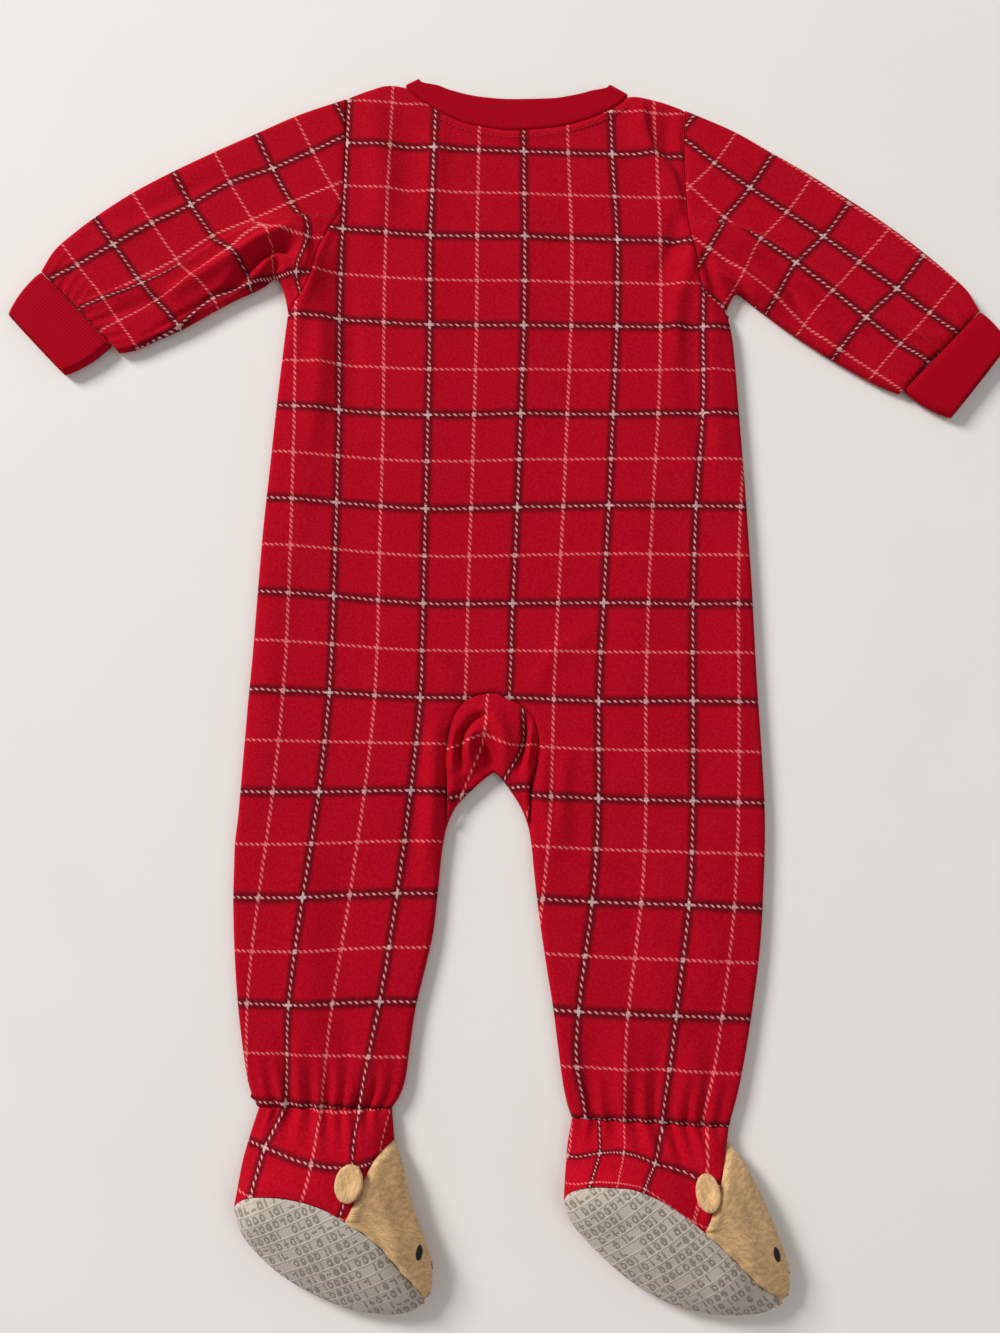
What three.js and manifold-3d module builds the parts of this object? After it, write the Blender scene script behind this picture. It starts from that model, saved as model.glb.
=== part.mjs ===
// A baby's footed fleece sleeper, laid out flat on its front so that its back shows.
// Millimetres. X runs to the right as the back is seen, Y towards the neck, Z up from the surface.
// The outline tables are in the layout's own frame, and the finished group is moved to its middle.

import * as THREE from 'three';
import Module from 'manifold-3d';

const wasm = await Module();
wasm.setup();

// Cloth and how it lies
const CLOTH = 2.4; // fleece wall
const AIR = 1.6; // between the front and the back where they lie on each other
const TOP = 2 * CLOTH + AIR; // height of the back above the surface
const SEAM = TOP / 2; // height of the side seams
const GAP = 0.3; // between two pieces at a seam
const SEAM_CLEAR = 0.36; // the same gap across a slanting seam
const RIB = 2.6; // neckband and cuffs, rib knit folded double
const MOST_INNER_LIFT = 2; // a higher fold is a thicker stack of cloth, not a hollow
const MIDDLE = { x: 4.25, y: 6.6 }; // middle of the layout's box

// The torso's outline: armhole seam down to the underarm, then the side
const UNDERARM_Y = 206;
const SHOULDER_Y = 339;
const CROTCH_Y = -16.3;
const TORSO = [
  { y: 339, left: -91, middle: 10, right: 109.5 },
  { y: 306, left: -91, middle: 10, right: 108.2 },
  { y: 288, left: -91.3, middle: 9, right: 108.5 },
  { y: 270, left: -92.8, middle: 8, right: 109.1 },
  { y: 256, left: -99.5, middle: 8, right: 110.2 },
  { y: 242, left: -105.5, middle: 7, right: 113.2 },
  { y: 230, left: -108, middle: 7, right: 114.4 },
  { y: 217, left: -113.5, middle: 6, right: 118.2 },
  { y: 206, left: -122.5, middle: 6, right: 130.5 },
  { y: 196, left: -123.8, middle: 6, right: 133.4 },
  { y: 183, left: -125.1, middle: 6, right: 134.9 },
  { y: 148, left: -128.3, middle: 5, right: 136.8 },
  { y: 112, left: -131.2, middle: 4, right: 138.8 },
  { y: 77, left: -134, middle: 2, right: 140.3 },
  { y: 43, left: -136, middle: 0, right: 141.6 },
  { y: 9, left: -137.8, middle: -2, right: 142.4 },
  { y: -16.3, left: -139.5, middle: -3.1, right: 143.1 },
];

// The legs, back piece: outer side, and inner side round the arch of the crotch
const LEFT_LEG = [
  { y: -16.3, outer: -139.5, inner: -3.1 },
  { y: -17.5, outer: -139.6, inner: -12 },
  { y: -21.3, outer: -139.9, inner: -19.5 },
  { y: -31, outer: -140.4, inner: -25.8 },
  { y: -42, outer: -141.1, inner: -28.4 },
  { y: -58, outer: -142, inner: -29.3 },
  { y: -84, outer: -143.6, inner: -29.2 },
  { y: -101.5, outer: -145, inner: -31.6 },
  { y: -123, outer: -145, inner: -33.7 },
  { y: -144, outer: -144.2, inner: -35.9 },
  { y: -165, outer: -142.7, inner: -40.4 },
  { y: -186, outer: -140.5, inner: -45.4 },
  { y: -207, outer: -137.4, inner: -48.4 },
  { y: -222, outer: -134.6, inner: -50.4 },
  { y: -231, outer: -131.6, inner: -53.4 },
  { y: -236.6, outer: -128.3, inner: -57.3 },
];
const RIGHT_LEG = [
  { y: -16.3, inner: -3.1, outer: 143.1 },
  { y: -19.8, inner: 4.7, outer: 143.3 },
  { y: -24, inner: 12.5, outer: 143.5 },
  { y: -31.2, inner: 18.2, outer: 143.8 },
  { y: -41.2, inner: 20.4, outer: 144.2 },
  { y: -56, inner: 18.9, outer: 144.7 },
  { y: -70, inner: 16.4, outer: 145.1 },
  { y: -84, inner: 16.3, outer: 145.2 },
  { y: -101.5, inner: 17.5, outer: 144.6 },
  { y: -123, inner: 19.6, outer: 143.2 },
  { y: -144, inner: 22.2, outer: 141.6 },
  { y: -165, inner: 25.3, outer: 139 },
  { y: -186, inner: 28.6, outer: 135.5 },
  { y: -207, inner: 31.2, outer: 131.6 },
  { y: -226, inner: 33.8, outer: 127.4 },
  { y: -236, inner: 36, outer: 124.6 },
  { y: -241.5, inner: 37.9, outer: 122.8 },
  { y: -247, inner: 38.4, outer: 121.4 },
];
const ANKLE = { left: -236.6, right: -241.5 };
const ANKLE_SLOPE = { left: 0.6, right: -4.6 }; // how far the outer end lies above the inner end
// The front piece ends at the fold between the legs
const FORK = { x: -3.2, y: -59.1 };
const FORK_EDGE = [
  { y: -59.1, left: -3.2, right: -3.2 },
  { y: -62.5, left: -8, right: 0.6 },
  { y: -67.5, left: -13.8, right: 4.4 },
  { y: -79.8, left: -25.2, right: 12.1 },
  { y: -90.7, left: -29.6, right: 15.9 },
  { y: -101.5, left: -31.6, right: 17.5 },
];

// Neckline and shoulders, from the left armhole to the right
const NECK = { left: -58.3, right: 78.2 };
const BACK_NECKLINE = [
  { x: -91, y: 339 }, { x: -78, y: 344.3 }, { x: -66, y: 347.6 }, { x: -58.3, y: 346.8 },
  { x: -50, y: 339.8 }, { x: -41, y: 333 }, { x: -30, y: 326.6 }, { x: -15, y: 321.2 },
  { x: 8, y: 318 }, { x: 34, y: 320.2 }, { x: 50, y: 324.4 }, { x: 62, y: 329.6 },
  { x: 71, y: 334.6 }, { x: 78.2, y: 340.6 }, { x: 94, y: 337.4 }, { x: 109.5, y: 331.6 },
];
const FRONT_NECKLINE = [
  { x: -91, y: 339 }, { x: -78, y: 344.3 }, { x: -66, y: 347.6 }, { x: -58.3, y: 346.8 },
  { x: -52, y: 341 }, { x: -44, y: 328.6 }, { x: -33, y: 311 }, { x: -14, y: 298 },
  { x: 8, y: 296 }, { x: 34, y: 300 }, { x: 54, y: 313 }, { x: 65, y: 325 },
  { x: 72, y: 334.6 }, { x: 78.2, y: 340.6 }, { x: 94, y: 337.4 }, { x: 109.5, y: 331.6 },
];
const NECK_STEPS = 22;
const CORNER = 1.8; // from the neck's corner to the next column of points
const BAND_PEAK = { left: { x: -48.2, y: 352.2 }, right: { x: 65.2, y: 348.6 } };
const BAND_BACK_EDGE = [
  { x: -48.2, y: 352.2 }, { x: -39.7, y: 348.4 }, { x: -27, y: 343.4 }, { x: -11, y: 339.8 },
  { x: 7, y: 338.4 }, { x: 30, y: 338.9 }, { x: 45, y: 341.3 }, { x: 56, y: 344.4 },
  { x: 65.2, y: 348.6 },
];
const BAND_FRONT_EDGE = [
  { x: -48.2, y: 352.2 }, { x: -42, y: 338 }, { x: -30, y: 326.6 }, { x: -12, y: 319 },
  { x: 8, y: 317 }, { x: 30, y: 319.4 }, { x: 48, y: 326.6 }, { x: 59, y: 336.4 },
  { x: 65.2, y: 348.6 },
];

// Sleeves: the upper and the under fold from the armhole to the wrist, then the cuff
const SLEEVE = {
  left: {
    over: [
      { x: -118.5, y: 329.2 }, { x: -143, y: 317.7 }, { x: -168.7, y: 305.4 },
      { x: -193.6, y: 292.6 }, { x: -214.9, y: 280.4 }, { x: -232.5, y: 268.2 },
      { x: -248.3, y: 255.4 }, { x: -260.4, y: 243.4 }, { x: -266.9, y: 231.3 },
    ],
    under: [
      { x: -125.4, y: 218 }, { x: -131, y: 227.4 }, { x: -138.6, y: 221.6 },
      { x: -153.7, y: 214.2 }, { x: -168, y: 206 }, { x: -183, y: 197 },
      { x: -201.9, y: 187.9 }, { x: -211.6, y: 183.5 }, { x: -219.5, y: 182 },
    ],
    cuffEnd: [{ x: -284.5, y: 204.8 }, { x: -250.4, y: 168.8 }],
    cuffInset: { over: 0.8, under: 6.6 },
  },
  right: {
    over: [
      { x: 138.3, y: 318.4 }, { x: 158.6, y: 306 }, { x: 180.6, y: 292.3 },
      { x: 197.8, y: 280.4 }, { x: 216.1, y: 267.6 }, { x: 231.4, y: 256 },
      { x: 246, y: 243.8 }, { x: 260, y: 231 }, { x: 271.6, y: 218.8 }, { x: 277.8, y: 207 },
    ],
    under: [
      { x: 133, y: 211.4 }, { x: 137.6, y: 217.8 }, { x: 151.7, y: 207.4 },
      { x: 165.8, y: 196 }, { x: 183.3, y: 183.5 }, { x: 201.9, y: 171.5 },
      { x: 220, y: 161.2 }, { x: 229.5, y: 157.4 },
    ],
    cuffEnd: [{ x: 293, y: 185.9 }, { x: 258.4, y: 143.1 }],
    cuffInset: { over: 0.8, under: 3.2 },
  },
};

// Largest creases of the back and sleeves: a soft ridge from one point to another
const CREASES = [
  { x: -98, y: 246, toX: -122, toY: 192, width: 7, height: 3.2 },
  { x: -113, y: 236, toX: -152, toY: 226, width: 8, height: 4.6 },
  { x: -120, y: 262, toX: -158, toY: 240, width: 9, height: 2.6 },
  { x: 116, y: 236, toX: 158, toY: 214, width: 8, height: 4.2 },
  { x: 112, y: 256, toX: 150, toY: 246, width: 8, height: 2.4 },
  { x: 112, y: 236, toX: 126, toY: 196, width: 6, height: 2.2 },
  { x: -112, y: 190, toX: -116, toY: 60, width: 12, height: 1.4 },
  { x: -36, y: 322, toX: -38, toY: 268, width: 6, height: 1.6 },
  { x: 26, y: -52, toX: 28, toY: -100, width: 6, height: 2.2 },
  { x: -38, y: -40, toX: -37, toY: -110, width: 7, height: 1.9 },
  { x: -90, y: -150, toX: -100, toY: -214, width: 16, height: 1.6 },
  { x: 78, y: -150, toX: 84, toY: -220, width: 18, height: 1.6 },
];

// Gathers at the elastic of each ankle
const GATHERS = 9;
const GATHER_HEIGHT = 1.15;
const GATHER_REACH = { above: 40, below: 20 };

// The zip, on the hidden front, from the neck to the left ankle
const ZIP_LINE = [
  { y: 296, x: 8 }, { y: 200, x: 7 }, { y: 110, x: 3 }, { y: 55, x: -8 }, { y: 12, x: -24 },
  { y: -21, x: -37 }, { y: -58, x: -51 }, { y: -110, x: -68 }, { y: -160, x: -83 },
  { y: -205, x: -90 }, { y: -237, x: -92 },
];
const ZIP = {
  edge: 3.3, // from the chain's middle to the cloth's edge
  tape: 9, // half of the tape's width
  tapeLow: 2.7, tapeHigh: 3.4,
  chain: 2.6, // half of the chain's width
  chainLow: 1.5,
  from: 281, to: -232,
};
const SLIDER = {
  y: 288, width: 5.6, length: 11, low: 2.6, high: 3.7,
  bridge: 1.8, bridgeLow: 0.35, bridgeHigh: 1.2, foot: 1.6,
};
const TAB = {
  axisZ: 1.9, bar: 0.42, arm: 1, armInside: 1.25, armLength: 6, thick: 0.8,
  restZ: 0.75, width: 5, length: 17,
};

// Feet: the curves where upper, sole and toe cap meet, with the height of each point
const FEET = {
  left: {
    ankle: [{ x: -128, y: -236.4 }, { x: -57.4, y: -237 }],
    heelSide: [{ x: -132.7, y: -251.7 }, { x: -136.6, y: -267 }],
    heel: { x: -139, y: -286, z: 8 },
    apexSide: [],
    apex: { x: -55.8, y: -252.8, z: 4.5 },
    soleSeam: [
      { x: -134.6, y: -281.6, z: 12 }, { x: -127, y: -278.6, z: 17.5 }, { x: -116, y: -277.4, z: 21.5 },
      { x: -102, y: -278.6, z: 25 }, { x: -89.2, y: -282.2, z: 26.5 },
    ],
    soleCorner: { x: -78.6, y: -287.8, z: 27 },
    toeSeam: [
      { x: -66.5, y: -296, z: 25 }, { x: -58.6, y: -304.2, z: 22 }, { x: -52.6, y: -313, z: 18 },
      { x: -46, y: -321.6, z: 13.5 },
    ],
    toe: { x: -38.8, y: -331, z: 7.5 },
    rimHeel: [{ x: -135.8, y: -297, z: 7.6 }, { x: -123.2, y: -312.3, z: 7 }, { x: -103.3, y: -326, z: 7 }],
    rimCorner: { x: -84, y: -334.2, z: 7 },
    rimToe: [{ x: -69.5, y: -338.1, z: 7 }, { x: -54, y: -339.2, z: 7 }, { x: -44, y: -336.8, z: 7 }],
    capEdge: [{ x: -75.6, y: -281.4, z: 26 }, { x: -71.8, y: -273.8, z: 23.4 },
      { x: -68.4, y: -265.6, z: 19.6 }, { x: -62.6, y: -257.6, z: 13.4 }],
    capUnder: [{ x: -78, y: -312 }, { x: -70, y: -290 }, { x: -62, y: -268 }],
    outline: [
      { x: -51.2, y: -264.3, z: 7 }, { x: -45.8, y: -284.2, z: 9 }, { x: -39, y: -301.5, z: 9.5 },
      { x: -35, y: -316.2, z: 9 }, { x: -35.4, y: -325.4, z: 8 },
    ],
    ear: { x: -77, y: -270.3, halfWidth: 7.8, halfLength: 10, turn: -8, above: 1 },
    earUnder: { x: -84, y: -284 },
  },
  right: {
    ankle: [{ x: 38.2, y: -242.1 }, { x: 121.4, y: -246.7 }],
    heelSide: [{ x: 35.6, y: -256.8 }, { x: 34.5, y: -269 }],
    heel: { x: 33.3, y: -282.6, z: 8 },
    apexSide: [],
    apex: { x: 120, y: -254, z: 4.5 },
    soleSeam: [
      { x: 36.6, y: -277.4, z: 12 }, { x: 43.6, y: -274.2, z: 17.5 }, { x: 52.6, y: -272.4, z: 21.5 },
      { x: 64, y: -272, z: 25 }, { x: 78, y: -275.8, z: 27 }, { x: 92, y: -283.6, z: 27.5 },
    ],
    soleCorner: { x: 104.2, y: -293.1, z: 27 },
    toeSeam: [
      { x: 112, y: -300.4, z: 25.5 }, { x: 119.6, y: -308, z: 23 }, { x: 128, y: -317.4, z: 18.5 },
      { x: 136, y: -325, z: 13.5 },
    ],
    toe: { x: 146.2, y: -331.8, z: 7.5 },
    rimHeel: [{ x: 35.4, y: -290.4, z: 7.6 }, { x: 42.6, y: -300, z: 7 }, { x: 51.8, y: -309.4, z: 7 },
      { x: 64.6, y: -320.3, z: 7 }, { x: 77.4, y: -328.6, z: 7 }],
    rimCorner: { x: 91.4, y: -334.6, z: 7 },
    rimToe: [{ x: 103, y: -337.7, z: 7 }, { x: 118.4, y: -339.6, z: 7 }, { x: 131.3, y: -339.1, z: 7 },
      { x: 140.6, y: -336.4, z: 7 }],
    capEdge: [{ x: 105.8, y: -289.4, z: 26.6 }, { x: 110.1, y: -280, z: 24.6 },
      { x: 114.3, y: -269.4, z: 19.6 }, { x: 117.2, y: -261, z: 12.6 }],
    capUnder: [{ x: 97, y: -314 }, { x: 106, y: -292 }, { x: 114, y: -270 }],
    outline: [
      { x: 125.7, y: -260, z: 7 }, { x: 131.7, y: -270, z: 8.6 }, { x: 138.5, y: -284.4, z: 9.5 },
      { x: 145.3, y: -301.5, z: 9.5 }, { x: 150, y: -317.6, z: 9 }, { x: 150, y: -326, z: 8 },
    ],
    ear: { x: 106.4, y: -275, halfWidth: 6.4, halfLength: 10, turn: 6, above: 0.5 },
    earUnder: { x: 98, y: -288 },
  },
};
const SOLE_CROWN = 4.5;
const TIP_WALL = 0.5; // share of the wall left at heel, toe and apex, where three pieces meet
const TIP_REACH = 12;
const EAR_THICK = 3.4;
const EAR_UNDER = { thick: 2.4, radius: 7.6, room: 3.2, flat: 17, reach: 28 };

// Materials, from the finish that shows
const FLEECE = new THREE.MeshStandardMaterial({ color: 0xb3061c, roughness: 0.95, metalness: 0 });
const RIBBING = new THREE.MeshStandardMaterial({ color: 0xa8051a, roughness: 0.9, metalness: 0 });
const PLUSH = new THREE.MeshStandardMaterial({ color: 0xc2a06c, roughness: 0.95, metalness: 0 });
const SOLE_CLOTH = new THREE.MeshStandardMaterial({ color: 0xcac3b8, roughness: 0.85, metalness: 0 });
const ZIP_TAPE = new THREE.MeshStandardMaterial({ color: 0xa00518, roughness: 0.7, metalness: 0 });
const ZIP_METAL = new THREE.MeshStandardMaterial({ color: 0x9a0a1c, roughness: 0.45, metalness: 0.3 });

// Small helpers
const ON_LINE = 0.1; // a point this near a fold line counts as on it
const mix = (a, b, t) => a + (b - a) * t;
const clamp = (t) => Math.min(1, Math.max(0, t));
const ease = (t) => clamp(t) ** 2 * (3 - 2 * clamp(t));
const vec = (p, z = 0) => new THREE.Vector3(p.x, p.y, p.z ?? z);
const count = (n) => Array.from({ length: n }, (_, i) => i);

// A smooth curve y(x) through knots that never overshoots them: cubic, each slope the
// harmonic mean of its two neighbours, or level at a turn
function curve(xs, ys) {
  const rise = xs.slice(1).map((x, i) => (ys[i + 1] - ys[i]) / (x - xs[i]));
  const slope = xs.map((_, i) => {
    if (i === 0) return rise[0];
    if (i === xs.length - 1) return rise[i - 1];
    const product = rise[i - 1] * rise[i];
    return product <= 0 ? 0 : (2 * product) / (rise[i - 1] + rise[i]);
  });
  return (x) => {
    let i = 0;
    while (i < xs.length - 2 && x > xs[i + 1]) i += 1;
    const width = xs[i + 1] - xs[i];
    const t = clamp((x - xs[i]) / width);
    const held = slope[i] * t * (1 - t) ** 2 - slope[i + 1] * t ** 2 * (1 - t);
    return mix(ys[i], ys[i + 1], ease(t)) + held * width;
  };
}

// One column of a table against another
function column(table, by, value) {
  const rows = [...table].sort((a, b) => a[by] - b[by]);
  return curve(rows.map((row) => row[by]), rows.map((row) => row[value]));
}

// A smooth curve through points, by the share of its chord length or by given knots
function along(points, knots) {
  const at = [0];
  for (let i = 1; i < points.length; i += 1) at.push(at[i - 1] + points[i].distanceTo(points[i - 1]));
  const share = knots ?? at.map((length) => length / at[at.length - 1]);
  const [x, y, z] = ['x', 'y', 'z'].map((axis) => curve(share, points.map((p) => p[axis])));
  return (t) => new THREE.Vector3(x(t), y(t), z(t));
}

// A polyline moved sideways by a distance, to its left as it is walked
function aside(points, distance) {
  return points.map((p, i) => {
    const before = points[Math.max(0, i - 1)];
    const after = points[Math.min(points.length - 1, i + 1)];
    const way = after.clone().sub(before).setZ(0).normalize();
    return new THREE.Vector3(p.x - way.y * distance, p.y + way.x * distance, p.z);
  });
}

// The nearest point of some lines, in plan, and the way from it into the cloth on their left
function nearest(lines, x, y) {
  let best = { d: Infinity };
  for (const line of lines) {
    for (let i = 1; i < line.length; i += 1) {
      const [a, b] = [line[i - 1], line[i]];
      const [ux, uy] = [b.x - a.x, b.y - a.y];
      const length = Math.hypot(ux, uy);
      const t = clamp(((x - a.x) * ux + (y - a.y) * uy) / length ** 2);
      const point = a.clone().lerp(b, t);
      const d = Math.hypot(x - point.x, y - point.y);
      if (d < best.d) best = { d, point, way: [-uy / length, ux / length] };
    }
  }
  if (best.d > ON_LINE) return { ...best, way: [(x - best.point.x) / best.d, (y - best.point.y) / best.d] };
  return { ...best, d: 0 };
}

// Triangles between two rows of points, each row with its own number of points
function stitch(upper, lower) {
  const faces = [];
  let [i, j] = [0, 0];
  while (i < upper.length - 1 || j < lower.length - 1) {
    const a = i < upper.length - 1 ? upper[i + 1].t + upper[i].t : Infinity;
    const b = j < lower.length - 1 ? lower[j + 1].t + lower[j].t : Infinity;
    if (a < b) {
      faces.push([upper[i], lower[j], upper[i + 1]]);
      i += 1;
    } else {
      faces.push([upper[i], lower[j], lower[j + 1]]);
      j += 1;
    }
  }
  return faces;
}

const key = (p) => `${p.x.toFixed(4)},${p.y.toFixed(4)},${p.z.toFixed(4)}`;

// A closed wall from an open surface: each corner has an outer point and an inner point, and
// every edge that only one face has gets a rim
function wall(faces, flipped = false) {
  const corners = new Map();
  const number = (corner) => {
    const name = key(corner.outer);
    if (!corners.has(name)) corners.set(name, { index: corners.size, corner });
    return corners.get(name).index;
  };
  const triangles = faces
    .map((face) => (flipped ? [face[0], face[2], face[1]] : face).map(number))
    .filter(([a, b, c]) => a !== b && b !== c && c !== a);
  const edges = new Set(triangles.flatMap(([a, b, c]) => [`${a}_${b}`, `${b}_${c}`, `${c}_${a}`]));
  const n = corners.size;
  const index = [];
  for (const [a, b, c] of triangles) {
    index.push(a, b, c, a + n, c + n, b + n);
    for (const [from, to] of [[a, b], [b, c], [c, a]]) {
      if (!edges.has(`${to}_${from}`)) index.push(to, from, from + n, to, from + n, to + n);
    }
  }
  const list = [...corners.values()].map(({ corner }) => corner);
  const position = [...list.map((c) => c.outer), ...list.map((c) => c.inner)].flatMap((p) => [p.x, p.y, p.z]);
  return solid(position, index);
}

function solid(position, index) {
  const geometry = new THREE.BufferGeometry();
  geometry.setAttribute('position', new THREE.Float32BufferAttribute(position, 3));
  geometry.setIndex(index);
  geometry.computeVertexNormals();
  return geometry;
}

// How high the creases lift the cloth at a place
function creaseLift(x, y) {
  let lift = 0;
  for (const crease of CREASES) {
    const [ux, uy] = [crease.toX - crease.x, crease.toY - crease.y];
    const t = clamp(((x - crease.x) * ux + (y - crease.y) * uy) / (ux * ux + uy * uy));
    const away = Math.hypot(x - crease.x - t * ux, y - crease.y - t * uy) / crease.width;
    lift += crease.height * Math.exp(-away * away) * (0.45 + 0.55 * Math.sin(Math.PI * t));
  }
  return lift;
}

// The two sides of the cloth at a place in plan. Near a fold line it rolls down to the seam.
// side is 1 for the back, which rises from the seam, and -1 for the front below it
function clothAt(x, y, folds, side, lift = 0) {
  const seam = side > 0 ? SEAM : SEAM - GAP;
  const outerRadius = side > 0 ? TOP - SEAM : seam;
  const innerRadius = outerRadius - CLOTH;
  const { d, point, way } = nearest(folds, x, y);
  const inset = Math.min(d, outerRadius);
  const cos = 1 - inset / outerRadius;
  const sin = Math.sqrt(1 - cos * cos);
  const free = ease(d / 9);
  const outer = new THREE.Vector3(x, y, seam + side * (outerRadius * sin + lift * free));
  const innerLift = Math.min(lift, MOST_INNER_LIFT) * free;
  const inner = new THREE.Vector3(x, y, seam + side * (innerRadius * sin + innerLift));
  if (d < outerRadius) {
    const reach = outerRadius - innerRadius * cos;
    inner.x = point.x + way[0] * reach;
    inner.y = point.y + way[1] * reach;
  }
  return { outer, inner };
}

// Places across a row: close together in the roll at a folded edge, even between
const ROLL = [0, 40, 90].map((turn) => SEAM * (1 - Math.cos(THREE.MathUtils.degToRad(turn))));
function across(from, to, inside, rollFrom, rollTo) {
  const start = rollFrom ? ROLL.map((inset) => from + inset) : [from];
  const end = rollTo ? ROLL.map((inset) => to - inset).reverse() : [to];
  const [a, b] = [start[start.length - 1], end[0]];
  return [...start, ...count(inside).map((i) => mix(a, b, (i + 1) / (inside + 1))), ...end];
}

// Body edges as functions of the level
const torsoLeft = column(TORSO, 'y', 'left');
const torsoRight = column(TORSO, 'y', 'right');
const torsoMiddle = column(TORSO, 'y', 'middle');
const legEdge = {
  left: { inner: column(LEFT_LEG, 'y', 'inner'), outer: column(LEFT_LEG, 'y', 'outer') },
  right: { inner: column(RIGHT_LEG, 'y', 'inner'), outer: column(RIGHT_LEG, 'y', 'outer') },
};
const forkEdge = { left: column(FORK_EDGE, 'y', 'left'), right: column(FORK_EDGE, 'y', 'right') };
const zipX = column(ZIP_LINE, 'y', 'x');
const zipSlope = (y) => zipX(y + 0.5) - zipX(y - 0.5);
const zipEdge = (y, side) => zipX(y) + side * ZIP.edge * Math.hypot(1, zipSlope(y));

// Levels of the rows
const SHOULDER_LEVELS = ROLL.map((inset) => SHOULDER_Y - inset);
const ARMHOLE_LEVELS = [324, 306, 288, 270, 256, 242, 230, 217, UNDERARM_Y];
const SIDE_LEVELS = [190, 170, 148, 124, 100, 76, 50, 24, 4, -10, CROTCH_Y];
const ARCH_LEVELS = {
  left: [-17.5, -21.3, -31, -42, -58, -70, -84],
  right: [-19.8, -24, -31.2, -41.2, -56, -70, -84],
};
const LEG_LEVELS = [-101.5, -122, -144, -165, -186];
const gatherLevels = (side) => [32, 14, 0].map((above) => ANKLE[side] + above);

const sample = (from, to, n) => count(n + 1).map((i) => mix(from, to, i / n));
const edgeLine = (edge, from, to, n) => sample(from, to, n).map((y) => new THREE.Vector3(edge(y), y, 0));

// How far a leg's row lies askew: not at all at the knee, and as the ankle seam at its end
const askew = (level, side) => ANKLE_SLOPE[side] * ease((level + 190) / (ANKLE[side] + 190));

// A leg's row at a level: the ends on its outer and its inner edge, and the y between them
function legSpan(level, side, innerEdge) {
  const slope = askew(level, side);
  const [outer, inner] = [legEdge[side].outer(level + slope), innerEdge(level)];
  return {
    from: Math.min(outer, inner),
    to: Math.max(outer, inner),
    y: (x) => level + (slope * (x - inner)) / (outer - inner),
  };
}

// A line made longer by a distance at its start and its end
function longer(points, atStart, atEnd) {
  const n = points.length;
  const grown = (end, next, by) => end.clone().addScaledVector(end.clone().sub(next).normalize(), by);
  return [grown(points[0], points[1], atStart), ...points, grown(points[n - 1], points[n - 2], atEnd)];
}

// Fold lines of the body, with the cloth on their left
function shoulderLines() {
  const y = column(BACK_NECKLINE, 'x', 'y');
  const line = (from, to) => sample(from, to, 10).map((x) => new THREE.Vector3(x, y(x), 0));
  return [longer(line(NECK.left, TORSO[0].left), 1.5, 4), longer(line(TORSO[0].right, NECK.right), 4, 1.5)];
}

function sideLines() {
  const lines = {};
  for (const side of ['left', 'right']) {
    const torso = side === 'left' ? torsoLeft : torsoRight;
    const leg = legEdge[side].outer;
    const down = [
      ...edgeLine(torso, UNDERARM_Y, CROTCH_Y, 30),
      ...edgeLine(leg, CROTCH_Y, ANKLE[side] + Math.min(0, ANKLE_SLOPE[side]) - 1, 40).slice(1),
    ];
    lines[side] = side === 'left' ? longer(down, 4, 1) : longer(down, 4, 1).reverse();
  }
  return [lines.left, lines.right];
}

// The inner edge of the back piece, up the left leg, round the arch and down the right leg
function archLine() {
  const left = edgeLine(legEdge.left.inner, ANKLE.left - 1, CROTCH_Y, 90);
  const right = edgeLine(legEdge.right.inner, CROTCH_Y, ANKLE.right - 1, 90);
  return [...left, ...right.slice(1)];
}

function frontInner(side, y) {
  const last = FORK_EDGE[FORK_EDGE.length - 1].y;
  return y > last ? forkEdge[side](y) : legEdge[side].inner(y);
}

function forkLine() {
  const left = edgeLine((y) => frontInner('left', y), ANKLE.left - 1, FORK.y, 90);
  const right = edgeLine((y) => frontInner('right', y), FORK.y, ANKLE.right - 1, 90);
  return [...left, ...right.slice(1)];
}

// Gathers: soft pleats across an ankle, t from its left end to its right
function gather(t, nearness) {
  const fade = Math.sin(Math.PI * clamp(t)) ** 0.5;
  const wave = Math.cos(2 * Math.PI * GATHERS * (t + 0.02 * Math.sin(9 * t)));
  return nearness * fade * (0.7 + GATHER_HEIGHT * wave);
}

// A row of the torso for the back or the front: level is where it meets the armhole
function torsoRow(level, xs, neckline, reach, folds, side) {
  const top = column(neckline, 'x', 'y');
  const fade = clamp((level - reach) / (SHOULDER_Y - reach)) ** 1.5;
  const [from, to] = [xs[0], xs[xs.length - 1]];
  return xs.map((x) => {
    const spread = mix(TORSO[0].left, TORSO[0].right, (x - torsoLeft(level)) / (torsoRight(level) - torsoLeft(level)));
    const y = level + (top(spread) - SHOULDER_Y) * fade;
    const lift = side > 0 ? creaseLift(x, y) : 0;
    return { t: (x - from) / (to - from), ...clothAt(x, y, folds, side, lift) };
  });
}

function legRow(level, inside, side, folds, waves = 0) {
  const { from, to, y } = legSpan(level, side, legEdge[side].inner);
  return across(from, to, inside, true, true).map((x) => {
    const t = (x - from) / (to - from);
    return { t, ...clothAt(x, y(x), folds, 1, creaseLift(x, y(x)) + gather(t, waves)) };
  });
}

const chain = (rows) => rows.slice(1).flatMap((row, i) => stitch(rows[i], row));
const rescale = (row) => {
  const [from, to] = [row[0].outer.x, row[row.length - 1].outer.x];
  return row.map((corner) => ({ ...corner, t: (corner.outer.x - from) / (to - from) }));
};

// Columns of the rows along the shoulders and the neck
function neckColumns() {
  const left = across(TORSO[0].left, NECK.left, 2, true, false);
  const right = across(NECK.right, TORSO[0].right, 2, false, true);
  const neck = sample(NECK.left, NECK.right, NECK_STEPS).slice(1, -1);
  return [...left, NECK.left + CORNER, ...neck, NECK.right - CORNER, ...right];
}

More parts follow.
